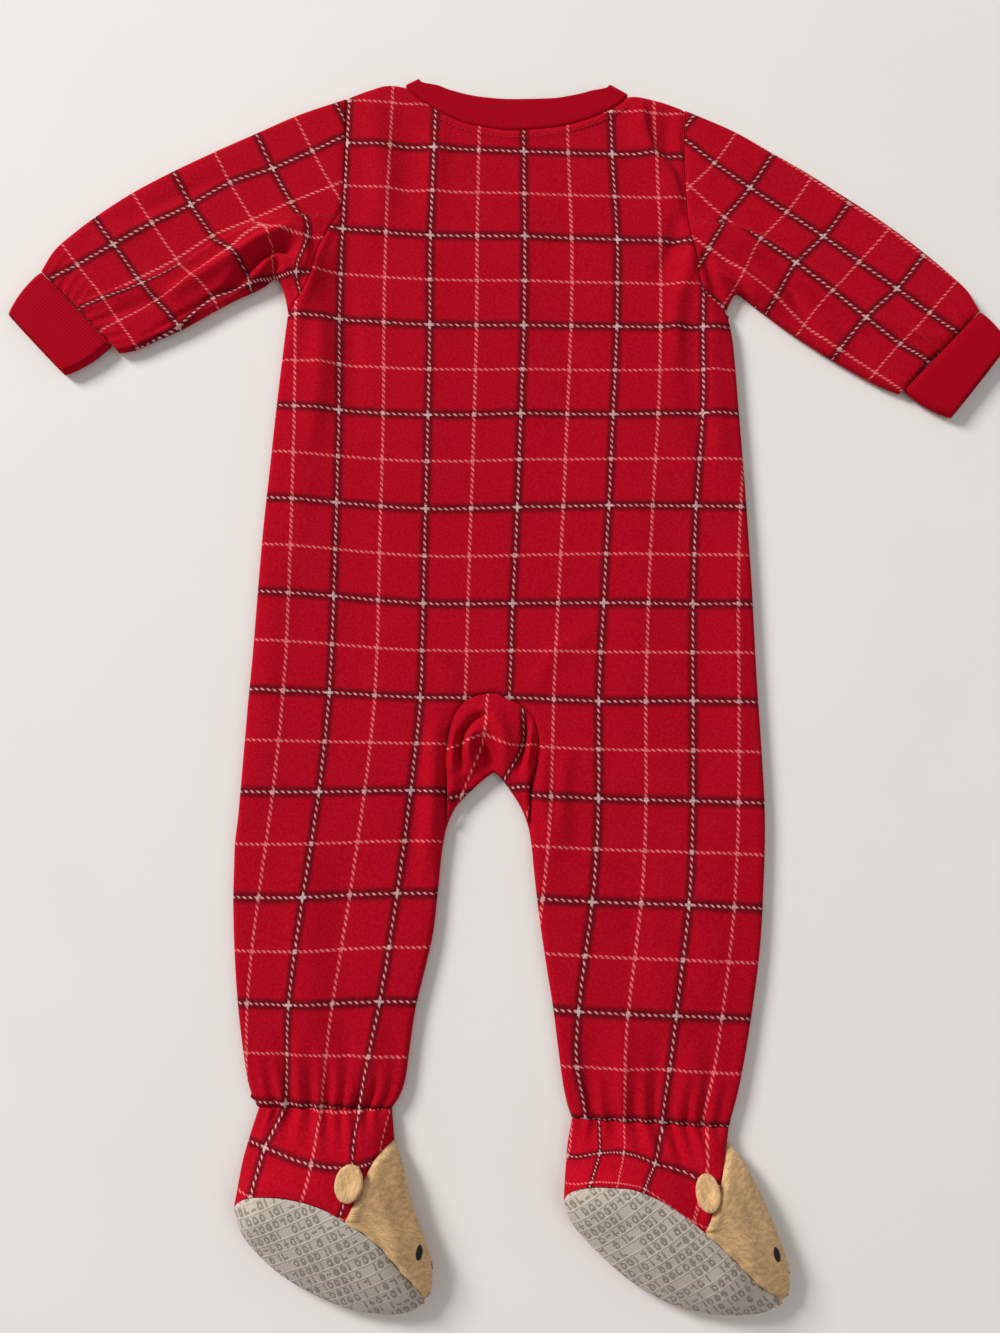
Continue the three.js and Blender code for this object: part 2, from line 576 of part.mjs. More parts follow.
// The back: torso and both legs in one piece
function back() {
  const folds = [...shoulderLines(), ...sideLines(), archLine()];
  const rows = SHOULDER_LEVELS.map((level) => torsoRow(level, neckColumns(), BACK_NECKLINE, 230, folds, 1));
  for (const level of [...ARMHOLE_LEVELS, ...SIDE_LEVELS]) {
    const xs = [
      ...across(torsoLeft(level), torsoMiddle(level), 6, true, false),
      ...across(torsoMiddle(level), torsoRight(level), 6, false, true).slice(1),
    ];
    rows.push(torsoRow(level, xs, BACK_NECKLINE, 230, folds, 1));
  }
  const faces = chain(rows);
  const last = rows[rows.length - 1];
  const split = last.findIndex((corner) => Math.abs(corner.outer.x - torsoMiddle(CROTCH_Y)) < 1e-6);
  const halves = { left: last.slice(0, split + 1), right: last.slice(split) };
  for (const side of ['left', 'right']) {
    const legRows = [rescale(halves[side])];
    for (const level of [...ARCH_LEVELS[side], ...LEG_LEVELS]) legRows.push(legRow(level, 5, side, folds));
    for (const level of gatherLevels(side)) {
      const near = ease(1 - (level - ANKLE[side]) / GATHER_REACH.above);
      legRows.push(legRow(level, 4 * GATHERS - 3, side, folds, near));
    }
    faces.push(...chain(legRows));
  }
  return wall(faces);
}

// The two fronts, parted by the zip. The right one takes the inner half of the left leg too
function front(side) {
  const folds = [...shoulderLines(), ...sideLines(), forkLine()];
  const isLeft = side === 'left';
  const neck = column(FRONT_NECKLINE, 'x', 'y');
  const rows = [];
  const levels = [...SHOULDER_LEVELS, ...ARMHOLE_LEVELS, ...SIDE_LEVELS, -30, -44, FORK.y];
  for (const level of levels) {
    const high = level >= Math.min(...SHOULDER_LEVELS) - 1e-6;
    const sideX = isLeft ? edgeAt(level, 'left') : edgeAt(level, 'right');
    const zip = zipEdge(Math.min(level, 296), isLeft ? -1 : 1);
    let xs;
    if (high && isLeft) xs = neckColumns().filter((x) => x < zip - 2).concat(zip);
    else if (high) xs = [zip].concat(neckColumns().filter((x) => x > zip + 2));
    else if (isLeft) xs = across(sideX, zip, 5, true, false);
    else xs = across(zip, sideX, 6, false, true);
    rows.push(torsoRow(level, xs, FRONT_NECKLINE, 180, folds, -1));
  }
  if (isLeft) {
    for (const level of [-84, ...LEG_LEVELS, -210, ANKLE.left]) {
      const { from, y } = legSpan(level, 'left', legEdge.left.inner);
      const to = zipEdge(level, -1);
      const xs = across(from, to, 3, true, false);
      rows.push(xs.map((x) => ({ t: (x - from) / (to - from), ...clothAt(x, y(x), folds, -1) })));
    }
    return wall(chain(rows), true);
  }
  const last = rows.pop();
  const fork = last.findIndex((corner) => corner.outer.x > FORK.x);
  last.splice(fork, 0, { t: 0, ...clothAt(FORK.x, FORK.y, folds, -1) });
  const faces = chain([...rows, rescale(last)]);
  for (const leg of ['left', 'right']) {
    const half = leg === 'left' ? last.slice(0, fork + 1) : last.slice(fork);
    const legRows = [rescale(half)];
    for (const level of [-62.5, -67.5, -79.8, -90.7, ...LEG_LEVELS, -210, ANKLE[leg]]) {
      const span = legSpan(level, leg, (y) => frontInner(leg, y));
      const from = leg === 'left' ? zipEdge(level, 1) : span.from;
      const xs = across(from, span.to, 2, leg === 'right', true);
      legRows.push(xs.map((x) => ({ t: (x - from) / (span.to - from), ...clothAt(x, span.y(x), folds, -1) })));
    }
    faces.push(...chain(legRows));
  }
  return wall(faces, true);
}

function edgeAt(level, side) {
  if (level >= CROTCH_Y) return side === 'left' ? torsoLeft(level) : torsoRight(level);
  return legEdge[side].outer(level);
}

// The gusset in the arch between the legs
function gusset() {
  const levels = { left: [...ARCH_LEVELS.left].reverse(), right: ARCH_LEVELS.right };
  const arch = [
    ...levels.left.map((y) => new THREE.Vector3(legEdge.left.inner(y), y, 0)),
    new THREE.Vector3(torsoMiddle(CROTCH_Y), CROTCH_Y, 0),
    ...levels.right.map((y) => new THREE.Vector3(legEdge.right.inner(y), y, 0)),
  ];
  const outer = aside(arch, -SEAM_CLEAR);
  const gapEdge = [
    ...edgeLine(forkEdge.left, -86.5, FORK.y, 12),
    ...edgeLine(forkEdge.right, FORK.y, -86.5, 12).slice(1),
  ];
  const inner = along(gapEdge);
  const shares = chordShares(arch);
  const rows = outer.map((from, i) => {
    const to = inner(shares[i]);
    return [0, 0.2, 0.45, 0.7, 0.88, 0.96, 1].map((t) => {
      const p = from.clone().lerp(to, t);
      const width = from.distanceTo(to);
      const roll = Math.min(1, ((1 - t) * width) / 3);
      const ridge = 2.6 * Math.sin(Math.PI * Math.min(1, t * 1.15)) * clamp(width / 25);
      const z = 4 + 1.7 * Math.sqrt(1 - (1 - roll) ** 2) + ridge;
      const low = 3.25 + 0.2 * roll + Math.min(ridge, MOST_INNER_LIFT);
      return { t, outer: new THREE.Vector3(p.x, p.y, z), inner: new THREE.Vector3(p.x, p.y, low) };
    });
  });
  return wall(chain(rows), true);
}

// A flattened tube between two end lines and two folds
function coons(over, under, start, end) {
  const corner = [start(0), start(1), end(0), end(1)];
  return (s, w) => {
    const p = over(s).multiplyScalar(1 - w).addScaledVector(under(s), w);
    p.addScaledVector(start(w), 1 - s).addScaledVector(end(w), s);
    p.addScaledVector(corner[0], -(1 - s) * (1 - w)).addScaledVector(corner[1], -(1 - s) * w);
    return p.addScaledVector(corner[2], -s * (1 - w)).addScaledVector(corner[3], -s * w);
  };
}

// One ring round a flattened tube: shares across it, then the two folds rolled over
function ring(place, shares, thick, height, liftAt) {
  const width = place(0).distanceTo(place(1));
  const mid = height / 2;
  const innerMid = mid - thick;
  const half = (face) => shares.map((w) => {
    const d = Math.min(w, 1 - w) * width;
    const cos = Math.max(0, 1 - d / mid);
    const sin = Math.sqrt(1 - cos * cos);
    const p = place(w);
    const way = w < 0.5 ? 1 : -1;
    const deeper = cos > 0 ? (mid - innerMid * cos - d) / width : 0;
    const q = place(clamp(w + way * deeper));
    const lift = face > 0 ? liftAt(p.x, p.y) * ease(d / 9) : 0;
    return {
      outer: p.clone().setZ(mid + face * mid * sin + lift),
      inner: q.clone().setZ(mid + face * innerMid * sin + Math.min(lift, MOST_INNER_LIFT)),
    };
  });
  const loop = [...half(1), ...half(-1).reverse().slice(1, -1)];
  loop.push(loop[0]);
  return loop.map((corner, i) => ({ ...corner, t: i / (loop.length - 1) }));
}

function sleeve(side) {
  const { over, under } = SLEEVE[side];
  const way = side === 'left' ? -1 : 1;
  const edge = side === 'left' ? torsoLeft : torsoRight;
  const neckline = column(BACK_NECKLINE, 'x', 'y');
  const drop = neckline(side === 'left' ? TORSO[0].left : TORSO[0].right) - SHOULDER_Y;
  const levels = [SHOULDER_Y, ...ARMHOLE_LEVELS];
  const seamPoints = levels.map((level) => {
    const fade = clamp((level - 230) / (SHOULDER_Y - 230)) ** 1.5;
    return new THREE.Vector3(edge(level), level + drop * fade, 0);
  });
  const armhole = aside(seamPoints, way * SEAM_CLEAR);
  const shareOf = levels.map((level) => (SHOULDER_Y - level) / (SHOULDER_Y - UNDERARM_Y));
  const armholeAt = (w) => {
    let i = 0;
    while (i < shareOf.length - 2 && w > shareOf[i + 1]) i += 1;
    const t = clamp((w - shareOf[i]) / (shareOf[i + 1] - shareOf[i]));
    return armhole[i].clone().lerp(armhole[i + 1], t);
  };
  const overAt = along([armhole[0], ...over.map((p) => vec(p))]);
  const underAt = along([armhole[armhole.length - 1], ...under.map((p) => vec(p))]);
  const wristAt = (w) => overAt(1).lerp(underAt(1), w);
  const surface = coons(overAt, underAt, armholeAt, wristAt);
  const shares = [0, 0.007, 0.024, ...shareOf.slice(1, -1), 0.976, 0.993, 1];
  const liftAt = (x, y) => creaseLift(x, y);
  const rows = [0, 0.06, 0.13, 0.22, 0.33, 0.46, 0.6, 0.75, 0.9, 1].map((s) => (
    ring((w) => surface(s, w), shares, CLOTH, TOP, liftAt)));
  return wall(chain(rows), side === 'right');
}

function cuff(side) {
  const { over, under, cuffEnd, cuffInset } = SLEEVE[side];
  const [a, b] = [vec(over[over.length - 1]), vec(under[under.length - 1])];
  const way = b.clone().sub(a).normalize();
  const out = new THREE.Vector3(way.y, -way.x, 0).multiplyScalar(side === 'left' ? SEAM_CLEAR + 0.04 : -SEAM_CLEAR - 0.04);
  const start = [
    a.clone().addScaledVector(way, cuffInset.over).add(out),
    b.clone().addScaledVector(way, -cuffInset.under).add(out),
  ];
  const end = cuffEnd.map((p) => vec(p));
  const shares = [0, 0.015, 0.055, 0.2, 0.35, 0.5, 0.65, 0.8, 0.945, 0.985, 1];
  const rows = [0, 0.12, 0.4, 0.7, 1].map((s) => {
    const swell = 2.2 * Math.sin(Math.PI * s) ** 0.7;
    const [from, to] = [start[0].clone().lerp(end[0], s), start[1].clone().lerp(end[1], s)];
    from.addScaledVector(way, -swell);
    to.addScaledVector(way, swell);
    return ring((w) => from.clone().lerp(to, w), shares, RIB, TOP + 0.8, () => 0);
  });
  return wall(chain(rows), side === 'right');
}

// The neckband: one strip from the zip round the back and to the zip again, folded at both shoulders
function neckband() {
  const backY = column(BACK_NECKLINE, 'x', 'y');
  const frontY = column(FRONT_NECKLINE, 'x', 'y');
  const xs = sample(NECK.left, NECK.right, NECK_STEPS);
  const backSeam = aside(xs.map((x) => new THREE.Vector3(x, backY(x), 0)), SEAM_CLEAR);
  const frontSeam = aside(xs.map((x) => new THREE.Vector3(x, frontY(x), 0)), SEAM_CLEAR);
  const backEdge = along(BAND_BACK_EDGE.map((p) => vec(p)));
  const frontEdge = along(BAND_FRONT_EDGE.map((p) => vec(p)));
  const shareBack = chordShares(backSeam);
  const shareFront = chordShares(frontSeam);
  const high = TOP - RIB / 2;
  const low = RIB / 2;
  const turn = (high - low) / 2;
  const section = (seam, edge, angle, outward) => {
    const sin = Math.sin(angle);
    const normal = outward.clone().multiplyScalar(Math.cos(angle)).setZ(sin);
    return [0, 0.33, 0.67, 1].map((v) => {
      const p = seam.clone().lerp(edge, v);
      p.addScaledVector(outward, turn * (Math.cos(angle)));
      p.z = SEAM + turn * sin;
      return {
        t: v,
        outer: p.clone().addScaledVector(normal, RIB / 2),
        inner: p.clone().addScaledVector(normal, -RIB / 2),
      };
    });
  };
  const flat = new THREE.Vector3(0, 0, 0);
  const halfPi = Math.PI / 2;
  const middle = { left: zipEdge(296, -1) - 1.2, right: zipEdge(296, 1) + 1.2 };
  const frontRows = (side) => {
    const list = count(NECK_STEPS + 1).filter((i) => (
      side === 'left' ? i > 1 && xs[i] < middle.left - 2 : i < NECK_STEPS - 1 && xs[i] > middle.right + 2));
    const found = list.map((i) => section(frontSeam[i], frontEdge(shareFront[i]), -halfPi, flat));
    const x = middle[side];
    const end = section(
      new THREE.Vector3(x, frontY(x) + SEAM_CLEAR, 0), new THREE.Vector3(x, frontY(x) + 21, 0), -halfPi, flat);
    return [...(side === 'left' ? found : found.reverse()), end];
  };
  const foldRows = (side) => {
    const seam = backSeam[side === 'left' ? 0 : NECK_STEPS].clone();
    const peak = vec(BAND_PEAK[side]);
    const way = peak.clone().sub(seam).normalize();
    const outward = new THREE.Vector3(-way.y, way.x, 0).multiplyScalar(side === 'left' ? 1 : -1);
    const set = turn + RIB / 2;
    const from = seam.addScaledVector(outward, -set).addScaledVector(way, 2);
    const to = peak.addScaledVector(outward, -set);
    const angles = [-90, -45, 0, 45, 90].map((degrees) => THREE.MathUtils.degToRad(degrees));
    const rows = angles.map((angle) => section(from.clone(), to.clone(), angle, outward));
    return side === 'left' ? rows : rows.reverse();
  };
  const backRows = count(NECK_STEPS + 1).slice(2, -2).map((i) => (
    section(backSeam[i], backEdge(shareBack[i]), halfPi, flat)));
  const rows = [
    ...frontRows('left').reverse(), ...foldRows('left'), ...backRows, ...foldRows('right'), ...frontRows('right'),
  ];
  return wall(chain(rows), false);
}

function chordShares(points) {
  const at = [0];
  for (let i = 1; i < points.length; i += 1) at.push(at[i - 1] + points[i].distanceTo(points[i - 1]));
  return at.map((length) => length / at[at.length - 1]);
}

// The zip's chain with its tape on both sides
function zip() {
  const section = [
    [-ZIP.tape, ZIP.tapeHigh], [ZIP.tape, ZIP.tapeHigh], [ZIP.tape, ZIP.tapeLow], [ZIP.chain, ZIP.tapeLow],
    [ZIP.chain, ZIP.chainLow], [-ZIP.chain, ZIP.chainLow], [-ZIP.chain, ZIP.tapeLow], [-ZIP.tape, ZIP.tapeLow],
  ];
  const levels = [ZIP.from, ...[...ARMHOLE_LEVELS, ...SIDE_LEVELS, -30, -44, FORK.y, -84, ...LEG_LEVELS, -210]
    .filter((y) => y < ZIP.from - 5), ZIP.to];
  const position = levels.flatMap((y) => {
    const slope = zipSlope(y);
    const side = new THREE.Vector3(1, -slope, 0).normalize();
    return section.flatMap(([off, z]) => [zipX(y) + side.x * off, y + side.y * off, z]);
  });
  const n = section.length;
  const index = [];
  for (const i of count(levels.length - 1)) {
    for (const k of count(n)) {
      const [a, b] = [i * n + k, i * n + ((k + 1) % n)];
      index.push(a, a + n, b, b, a + n, b + n);
    }
  }
  const cap = [[0, 7, 6], [0, 6, 3], [0, 3, 1], [1, 3, 2], [3, 6, 5], [3, 5, 4]];
  const last = (levels.length - 1) * n;
  for (const [a, b, c] of cap) index.push(a, c, b, last + a, last + b, last + c);
  return outward(position, index);
}

// Turns a closed mesh right side out where its volume comes out negative
function outward(position, index) {
  let volume = 0;
  const p = (i) => new THREE.Vector3(position[3 * i], position[3 * i + 1], position[3 * i + 2]);
  for (let i = 0; i < index.length; i += 3) {
    volume += p(index[i]).dot(p(index[i + 1]).cross(p(index[i + 2])));
  }
  if (volume < 0) for (let i = 0; i < index.length; i += 3) [index[i], index[i + 1]] = [index[i + 1], index[i]];
  return solid(position, index);
}

// A closed geometry as a solid that can be joined and cut, and back again
function manifold(geometry) {
  const position = geometry.getAttribute('position');
  const corners = new Map();
  const vertices = [];
  const number = (i) => {
    const p = new THREE.Vector3().fromBufferAttribute(position, i);
    const name = key(p);
    if (!corners.has(name)) {
      corners.set(name, corners.size);
      vertices.push(p.x, p.y, p.z);
    }
    return corners.get(name);
  };
  const order = geometry.index ? [...geometry.index.array] : count(position.count);
  const triangles = count(order.length / 3)
    .map((i) => order.slice(3 * i, 3 * i + 3).map(number))
    .filter(([a, b, c]) => a !== b && b !== c && c !== a);
  return new wasm.Manifold(new wasm.Mesh({
    numProp: 3, vertProperties: new Float32Array(vertices), triVerts: new Uint32Array(triangles.flat()),
  }));
}

function unpacked(body) {
  const mesh = body.getMesh();
  return solid([...mesh.vertProperties], [...mesh.triVerts]);
}

const joined = (geometries) => unpacked(geometries.map(manifold).reduce((a, b) => a.add(b)));

function block(width, length, low, high, x, y) {
  return new THREE.BoxGeometry(width, length, high - low).translate(x, y, (low + high) / 2);
}

// The slider at the top of the zip, with the bridge that carries the pull tab
function slider() {
  const x = zipX(SLIDER.y);
  const end = SLIDER.length / 2 - SLIDER.foot / 2;
  return joined([
    block(SLIDER.width, SLIDER.length, SLIDER.low, SLIDER.high, x, SLIDER.y),
    block(SLIDER.bridge, SLIDER.length, SLIDER.bridgeLow, SLIDER.bridgeHigh, x, SLIDER.y),
    block(SLIDER.bridge, SLIDER.foot, SLIDER.bridgeLow, SLIDER.low + 0.4, x, SLIDER.y + end),
    block(SLIDER.bridge, SLIDER.foot, SLIDER.bridgeLow, SLIDER.low + 0.4, x, SLIDER.y - end),
  ]);
}

// The pull tab: a bar under the bridge, two arms and a plate that lies along the chain
function tab() {
  const x = zipX(SLIDER.y);
  const bar = new THREE.CylinderGeometry(TAB.bar, TAB.bar, 2 * (TAB.armInside + TAB.arm), 8);
  bar.rotateZ(Math.PI / 2).translate(x, SLIDER.y, TAB.axisZ);
  const drop = Math.atan2(TAB.axisZ - TAB.restZ, TAB.armLength);
  const arms = [-1, 1].map((way) => {
    const arm = new THREE.BoxGeometry(TAB.arm, Math.hypot(TAB.armLength, TAB.axisZ - TAB.restZ), TAB.thick);
    arm.rotateX(drop);
    return arm.translate(
      x + way * (TAB.armInside + TAB.arm / 2), SLIDER.y - TAB.armLength / 2, (TAB.axisZ + TAB.restZ) / 2);
  });
  const plate = block(
    TAB.width, TAB.length - TAB.armLength, TAB.restZ - TAB.thick / 2, TAB.restZ + TAB.thick / 2,
    x, SLIDER.y - (TAB.length + TAB.armLength) / 2 + 0.1);
  return joined([bar, ...arms, plate]);
}

// Shares at which the foot's curves are cut, the same in every piece that meets there
const HEEL_SHARES = [0, 0.06, 0.16, 0.3, 0.46, 0.63, 0.81, 1];
const TOE_SHARES = [0, 0.18, 0.38, 0.58, 0.78, 0.92, 1];
const CAP_SHARES = [0, 0.05, 0.2, 0.44, 0.7, 0.9, 1];
const ANKLE_SHARES = [0, 0.035, 0.1, 0.2, 0.32, 0.45, 0.58, 0.7, 0.74, 0.8, 0.86, 0.92, 0.965, 1];

// Where the foot is narrow a row has fewer points, so that its wall doesn't crowd
function sharesFor(width, shares) {
  if (width < 14) return [0, 0.5, 1];
  return width < 26 ? [0, 0.26, 0.5, 0.74, 1] : shares;
}

// The three open surfaces of a foot: upper, sole and toe cap
function footSurfaces(side) {
  const f = FEET[side];
  const list = (...parts) => parts.flat().map((p) => vec(p, SEAM));
  const outlineRound = [
    along(list(f.ankle[0], f.heelSide, f.heel)), along(list(f.heel, f.rimHeel, f.rimCorner)),
    along(list(f.rimCorner, f.rimToe, f.toe)), along(list(f.toe, [...f.outline].reverse(), f.apex)),
    along(list(f.apex, f.ankle[1])),
  ];
  const outline = outlineRound.map((part) => sample(0, 1, 30).map(part));
  const under = (p) => {
    const { d, point } = nearest(outline, p.x, p.y);
    const edge = point.z;
    const roll = d < edge ? edge - Math.sqrt(edge ** 2 - (edge - d) ** 2) : 0;
    const far = Math.hypot(p.x - f.earUnder.x, p.y - f.earUnder.y);
    const room = EAR_UNDER.room * (1 - ease((far - EAR_UNDER.flat) / (EAR_UNDER.reach - EAR_UNDER.flat)));
    return p.clone().setZ(Math.max(roll, room));
  };
  const cut = (points, shares) => shares.map(along(points));
  const seamHeel = cut(list(f.heel, f.soleSeam, f.soleCorner), HEEL_SHARES);
  const seamToe = cut(list(f.soleCorner, f.toeSeam, f.toe), TOE_SHARES);
  const capTop = cut(list(f.soleCorner, f.capEdge, f.apex), CAP_SHARES);
  const rimHeel = cut(list(f.heel, f.rimHeel, f.rimCorner), HEEL_SHARES);
  const rimToe = cut(list(f.rimCorner, f.rimToe, f.toe), TOE_SHARES);
  const capLow = cut(list(f.rimCorner, f.capUnder.map((p) => ({ ...p, z: 0 })), f.apex), CAP_SHARES).map((p, i) => (
    i === 0 || i === CAP_SHARES.length - 1 ? p : under(p)));

  // The upper: a tube from the ankle to the seams of sole and cap
  const ankle = (face) => (u) => {
    const [a, b] = f.ankle.map((p) => vec(p, SEAM));
    const p = a.clone().lerp(b, u);
    const d = Math.min(u, 1 - u) * a.distanceTo(b);
    const cos = Math.max(0, 1 - d / SEAM);
    const lift = face > 0 ? gather(u, 1) * ease(d / 9) : 0;
    return p.setZ(SEAM + face * (SEAM * Math.sqrt(1 - cos * cos)) + lift);
  };
  const heelSide = along(list(f.ankle[0], f.heelSide, f.heel));
  const apexSide = along(list(f.ankle[1], f.apex));
  const topEnd = along([...seamHeel, ...capTop.slice(1)], ANKLE_SHARES);
  const lowEnd = along([...rimHeel, ...capLow.slice(1)], ANKLE_SHARES);
  const top = coons(heelSide, apexSide, ankle(1), topEnd);
  const low = coons(heelSide, apexSide, ankle(-1), lowEnd);
  const topAt = (b, u) => {
    const p = top(b, u);
    const swell = 3.2 * Math.sin(Math.PI * b) * Math.sin(Math.PI * u);
    const wave = (gather(u, 1) - 0.7) * (ease(1 - b * 1.7) - (1 - b)) * Math.sin(Math.PI * b) ** 0.3;
    return p.setZ(p.z + swell + wave);
  };
  const lowAt = (b, u) => (b === 1 || b === 0 ? low(b, u) : under(low(b, u)));
  const rows = [0, 0.1, 0.24, 0.45, 0.66, 0.83, 0.93, 1].map((b) => {
    const dense = b < 0.2 ? [0, 0.035, ...sample(0.07, 0.93, 4 * GATHERS - 4), 0.965, 1] : ANKLE_SHARES;
    const loop = [
      ...dense.map((u) => ({ t: u / 2, outer: topAt(b, u) })),
      ...[...ANKLE_SHARES].reverse().slice(1, -1).map((u) => ({ t: 1 - u / 2, outer: lowAt(b, u) })),
    ];
    return [...loop, { ...loop[0], t: 1 }];
  });

  // The sole: crowned between its seam and its rim
  const seam = [...seamHeel, ...seamToe.slice(1)];
  const rim = [...rimHeel, ...rimToe.slice(1)];
  const soleRows = rim.map((a, i) => sharesFor(a.distanceTo(seam[i]), [0, 0.1, 0.22, 0.38, 0.56, 0.74, 0.9, 1]).map((v) => {
    const p = a.clone().lerp(seam[i], v);
    const crown = SOLE_CROWN * Math.sin(Math.PI * v) ** 0.8 * Math.min(1, a.distanceTo(seam[i]) / 30);
    return { t: v, outer: p.setZ(p.z + crown) };
  }));

  // The toe cap: over the outline from the upper's seam to the one beneath
  const capUpper = [...capTop].reverse().concat(seamToe.slice(1));
  const capUnder = [...capLow].reverse().concat(rimToe.slice(1));
  const outlineAt = along(list(f.apex, f.outline, f.toe));
  const capRows = capUpper.map((a, i) => {
    const edge = outlineAt(i / (capUpper.length - 1));
    const over = sharesFor(a.distanceTo(edge), [0, 0.3, 0.62, 0.86, 1]).map((v) => {
      const p = a.clone().lerp(edge, v);
      p.z = edge.z + (a.z - edge.z) * Math.cos((v * Math.PI) / 2) ** 0.8;
      return { t: v / 2, outer: p };
    });
    const beneath = sharesFor(edge.distanceTo(capUnder[i]), [0, 0.08, 0.25, 0.55, 0.8, 0.92, 1]).slice(1).map((v) => {
      const p = edge.clone().lerp(capUnder[i], v);
      return { t: 0.5 + v / 2, outer: v === 1 ? capUnder[i].clone() : under(p) };
    });
    return [...over, ...beneath];
  });
  return { upper: chain(rows), sole: chain(soleRows), cap: chain(capRows), topAt };
}

// The corners of surfaces that share their seams: the way out of the cloth and the reach of a wall
function cornerWays(surfaces, tips) {
  const found = new Map();
  for (const face of Object.values(surfaces).flat()) {
    const [a, b, c] = face.map((corner) => corner.outer);
    const normal = b.clone().sub(a).cross(c.clone().sub(a));
    if (normal.length() < 1e-6) continue;
    for (const corner of face) {
      const at = key(corner.outer);
      if (!found.has(at)) found.set(at, { place: corner.outer, sum: new THREE.Vector3(), faced: [] });
      found.get(at).sum.add(normal);
      found.get(at).faced.push(normal.clone().normalize());
    }
  }
  for (const way of found.values()) {
    way.normal = way.sum.normalize();
    const mean = way.faced.reduce((sum, faced) => sum + faced.dot(way.normal), 0) / way.faced.length;
    const fromTip = Math.min(...tips.map((tip) => tip.distanceTo(way.place)));
    way.reach = mix(TIP_WALL, 1, ease(fromTip / TIP_REACH)) / Math.max(0.6, mean);
  }
  return found;
}

// A wall on one of those surfaces, its edges moved in by a distance, and grown both ways
function seamedWall(faces, ways, edgeIn, grown) {
  const kept = faces.filter((face) => new Set(face.map((corner) => key(corner.outer))).size === 3);
  const edges = new Set(kept.flatMap((face) => (
    face.map((corner, i) => `${key(corner.outer)}|${key(face[(i + 1) % 3].outer)}`))));
  const onRim = new Set();
  for (const edge of edges) {
    const [a, b] = edge.split('|');
    if (!edges.has(`${b}|${a}`)) [a, b].forEach((at) => onRim.add(at));
  }
  const inwards = new Map();
  for (const face of kept) {
    const centre = face.reduce((sum, corner) => sum.add(corner.outer), new THREE.Vector3()).divideScalar(3);
    for (const corner of face) {
      const at = key(corner.outer);
      inwards.set(at, (inwards.get(at) ?? new THREE.Vector3()).add(centre.clone().sub(corner.outer)));
    }
  }
  const finish = (corner) => {
    const at = key(corner.outer);
    const { normal, reach } = ways.get(at);
    const outer = corner.outer.clone().addScaledVector(normal, grown);
    const inner = corner.outer.clone().addScaledVector(normal, -(CLOTH + grown) * reach);
    if (onRim.has(at)) {
      const pull = inwards.get(at).clone().normalize().multiplyScalar(edgeIn);
      outer.add(pull);
      inner.add(pull);
    }
    if (grown === 0) outer.z = Math.max(outer.z, 0);
    return { outer, inner };
  };
  return wall(kept.map((face) => face.map(finish)));
}

// The three walls of a foot: the toe cap is cut clear of the sole, and the upper of both
function footWalls(surfaces, tips) {
  const ways = cornerWays(surfaces, tips);
  const plain = (name) => manifold(seamedWall(surfaces[name], ways, GAP / 2, 0));
  const room = (name) => manifold(seamedWall(surfaces[name], ways, -GAP, 1.2));
  const cut = (body, tools) => {
    const pieces = tools.reduce((left, tool) => left.subtract(tool), body).decompose();
    return pieces.sort((a, b) => b.volume() - a.volume())[0];
  };
  const sole = plain('sole');
  return {
    sole: unpacked(sole),
    cap: unpacked(cut(plain('cap'), [room('sole')])),
    upper: unpacked(cut(plain('upper'), [room('sole'), room('cap')])),
  };
}

// A round ear: a padded disc that lies on the surface beneath it
function ear(place, normal, halfWidth, halfLength, thick, turn) {
  const steps = 18;
  const rings = [[0.55, 0.5], [0.86, 0.36], [1, 0], [0.86, -0.36], [0.55, -0.5]];
  const position = [];
  for (const [radius, height] of rings) {
    for (const i of count(steps)) {
      const angle = (2 * Math.PI * i) / steps;
      position.push(new THREE.Vector3(
        radius * halfWidth * Math.cos(angle), radius * halfLength * Math.sin(angle), height * thick));
    }
  }
  position.push(new THREE.Vector3(0, 0, thick / 2), new THREE.Vector3(0, 0, -thick / 2));
  const stand = new THREE.Quaternion().setFromUnitVectors(new THREE.Vector3(0, 0, 1), normal);
  const spin = new THREE.Quaternion().setFromAxisAngle(new THREE.Vector3(0, 0, 1), THREE.MathUtils.degToRad(turn));
  const points = position.map((p) => p.applyQuaternion(spin).applyQuaternion(stand).add(place));
  const index = [];
  const last = rings.length - 1;
  for (const i of count(steps)) {
    const next = (i + 1) % steps;
    for (const r of count(last)) {
      const [a, b] = [r * steps + i, r * steps + next];
      index.push(a, a + steps, b, b, a + steps, b + steps);
    }
    index.push(rings.length * steps, i, next);
    index.push(rings.length * steps + 1, last * steps + next, last * steps + i);
  }
  return outward(points.flatMap((p) => [p.x, p.y, p.z]), index);
}

// The place and lie of the ear on the upper
function earPlace(topAt, x, y) {
  let [b, u] = [0.6, 0.75];
  for (let pass = 0; pass < 60; pass += 1) {
    const p = topAt(b, u);
    const [db, du] = [topAt(b + 0.01, u).sub(p), topAt(b, u + 0.01).sub(p)];
    const det = db.x * du.y - db.y * du.x;
    const [ex, ey] = [x - p.x, y - p.y];
    b = clamp(b + (0.5 * 0.01 * (ex * du.y - ey * du.x)) / det);
    u = clamp(u + (0.5 * 0.01 * (db.x * ey - db.y * ex)) / det);
  }
  const p = topAt(b, u);
  const [db, du] = [topAt(Math.max(0, b - 0.03), u).sub(p), topAt(b, u + 0.03).sub(p)];
  const normal = du.cross(db).normalize();
  return { place: p, normal: normal.z < 0 ? normal.negate() : normal };
}

const sleeper = new THREE.Group();
function add(name, geometry, material) {
  const mesh = new THREE.Mesh(geometry, material);
  mesh.name = name;
  sleeper.add(mesh);
}

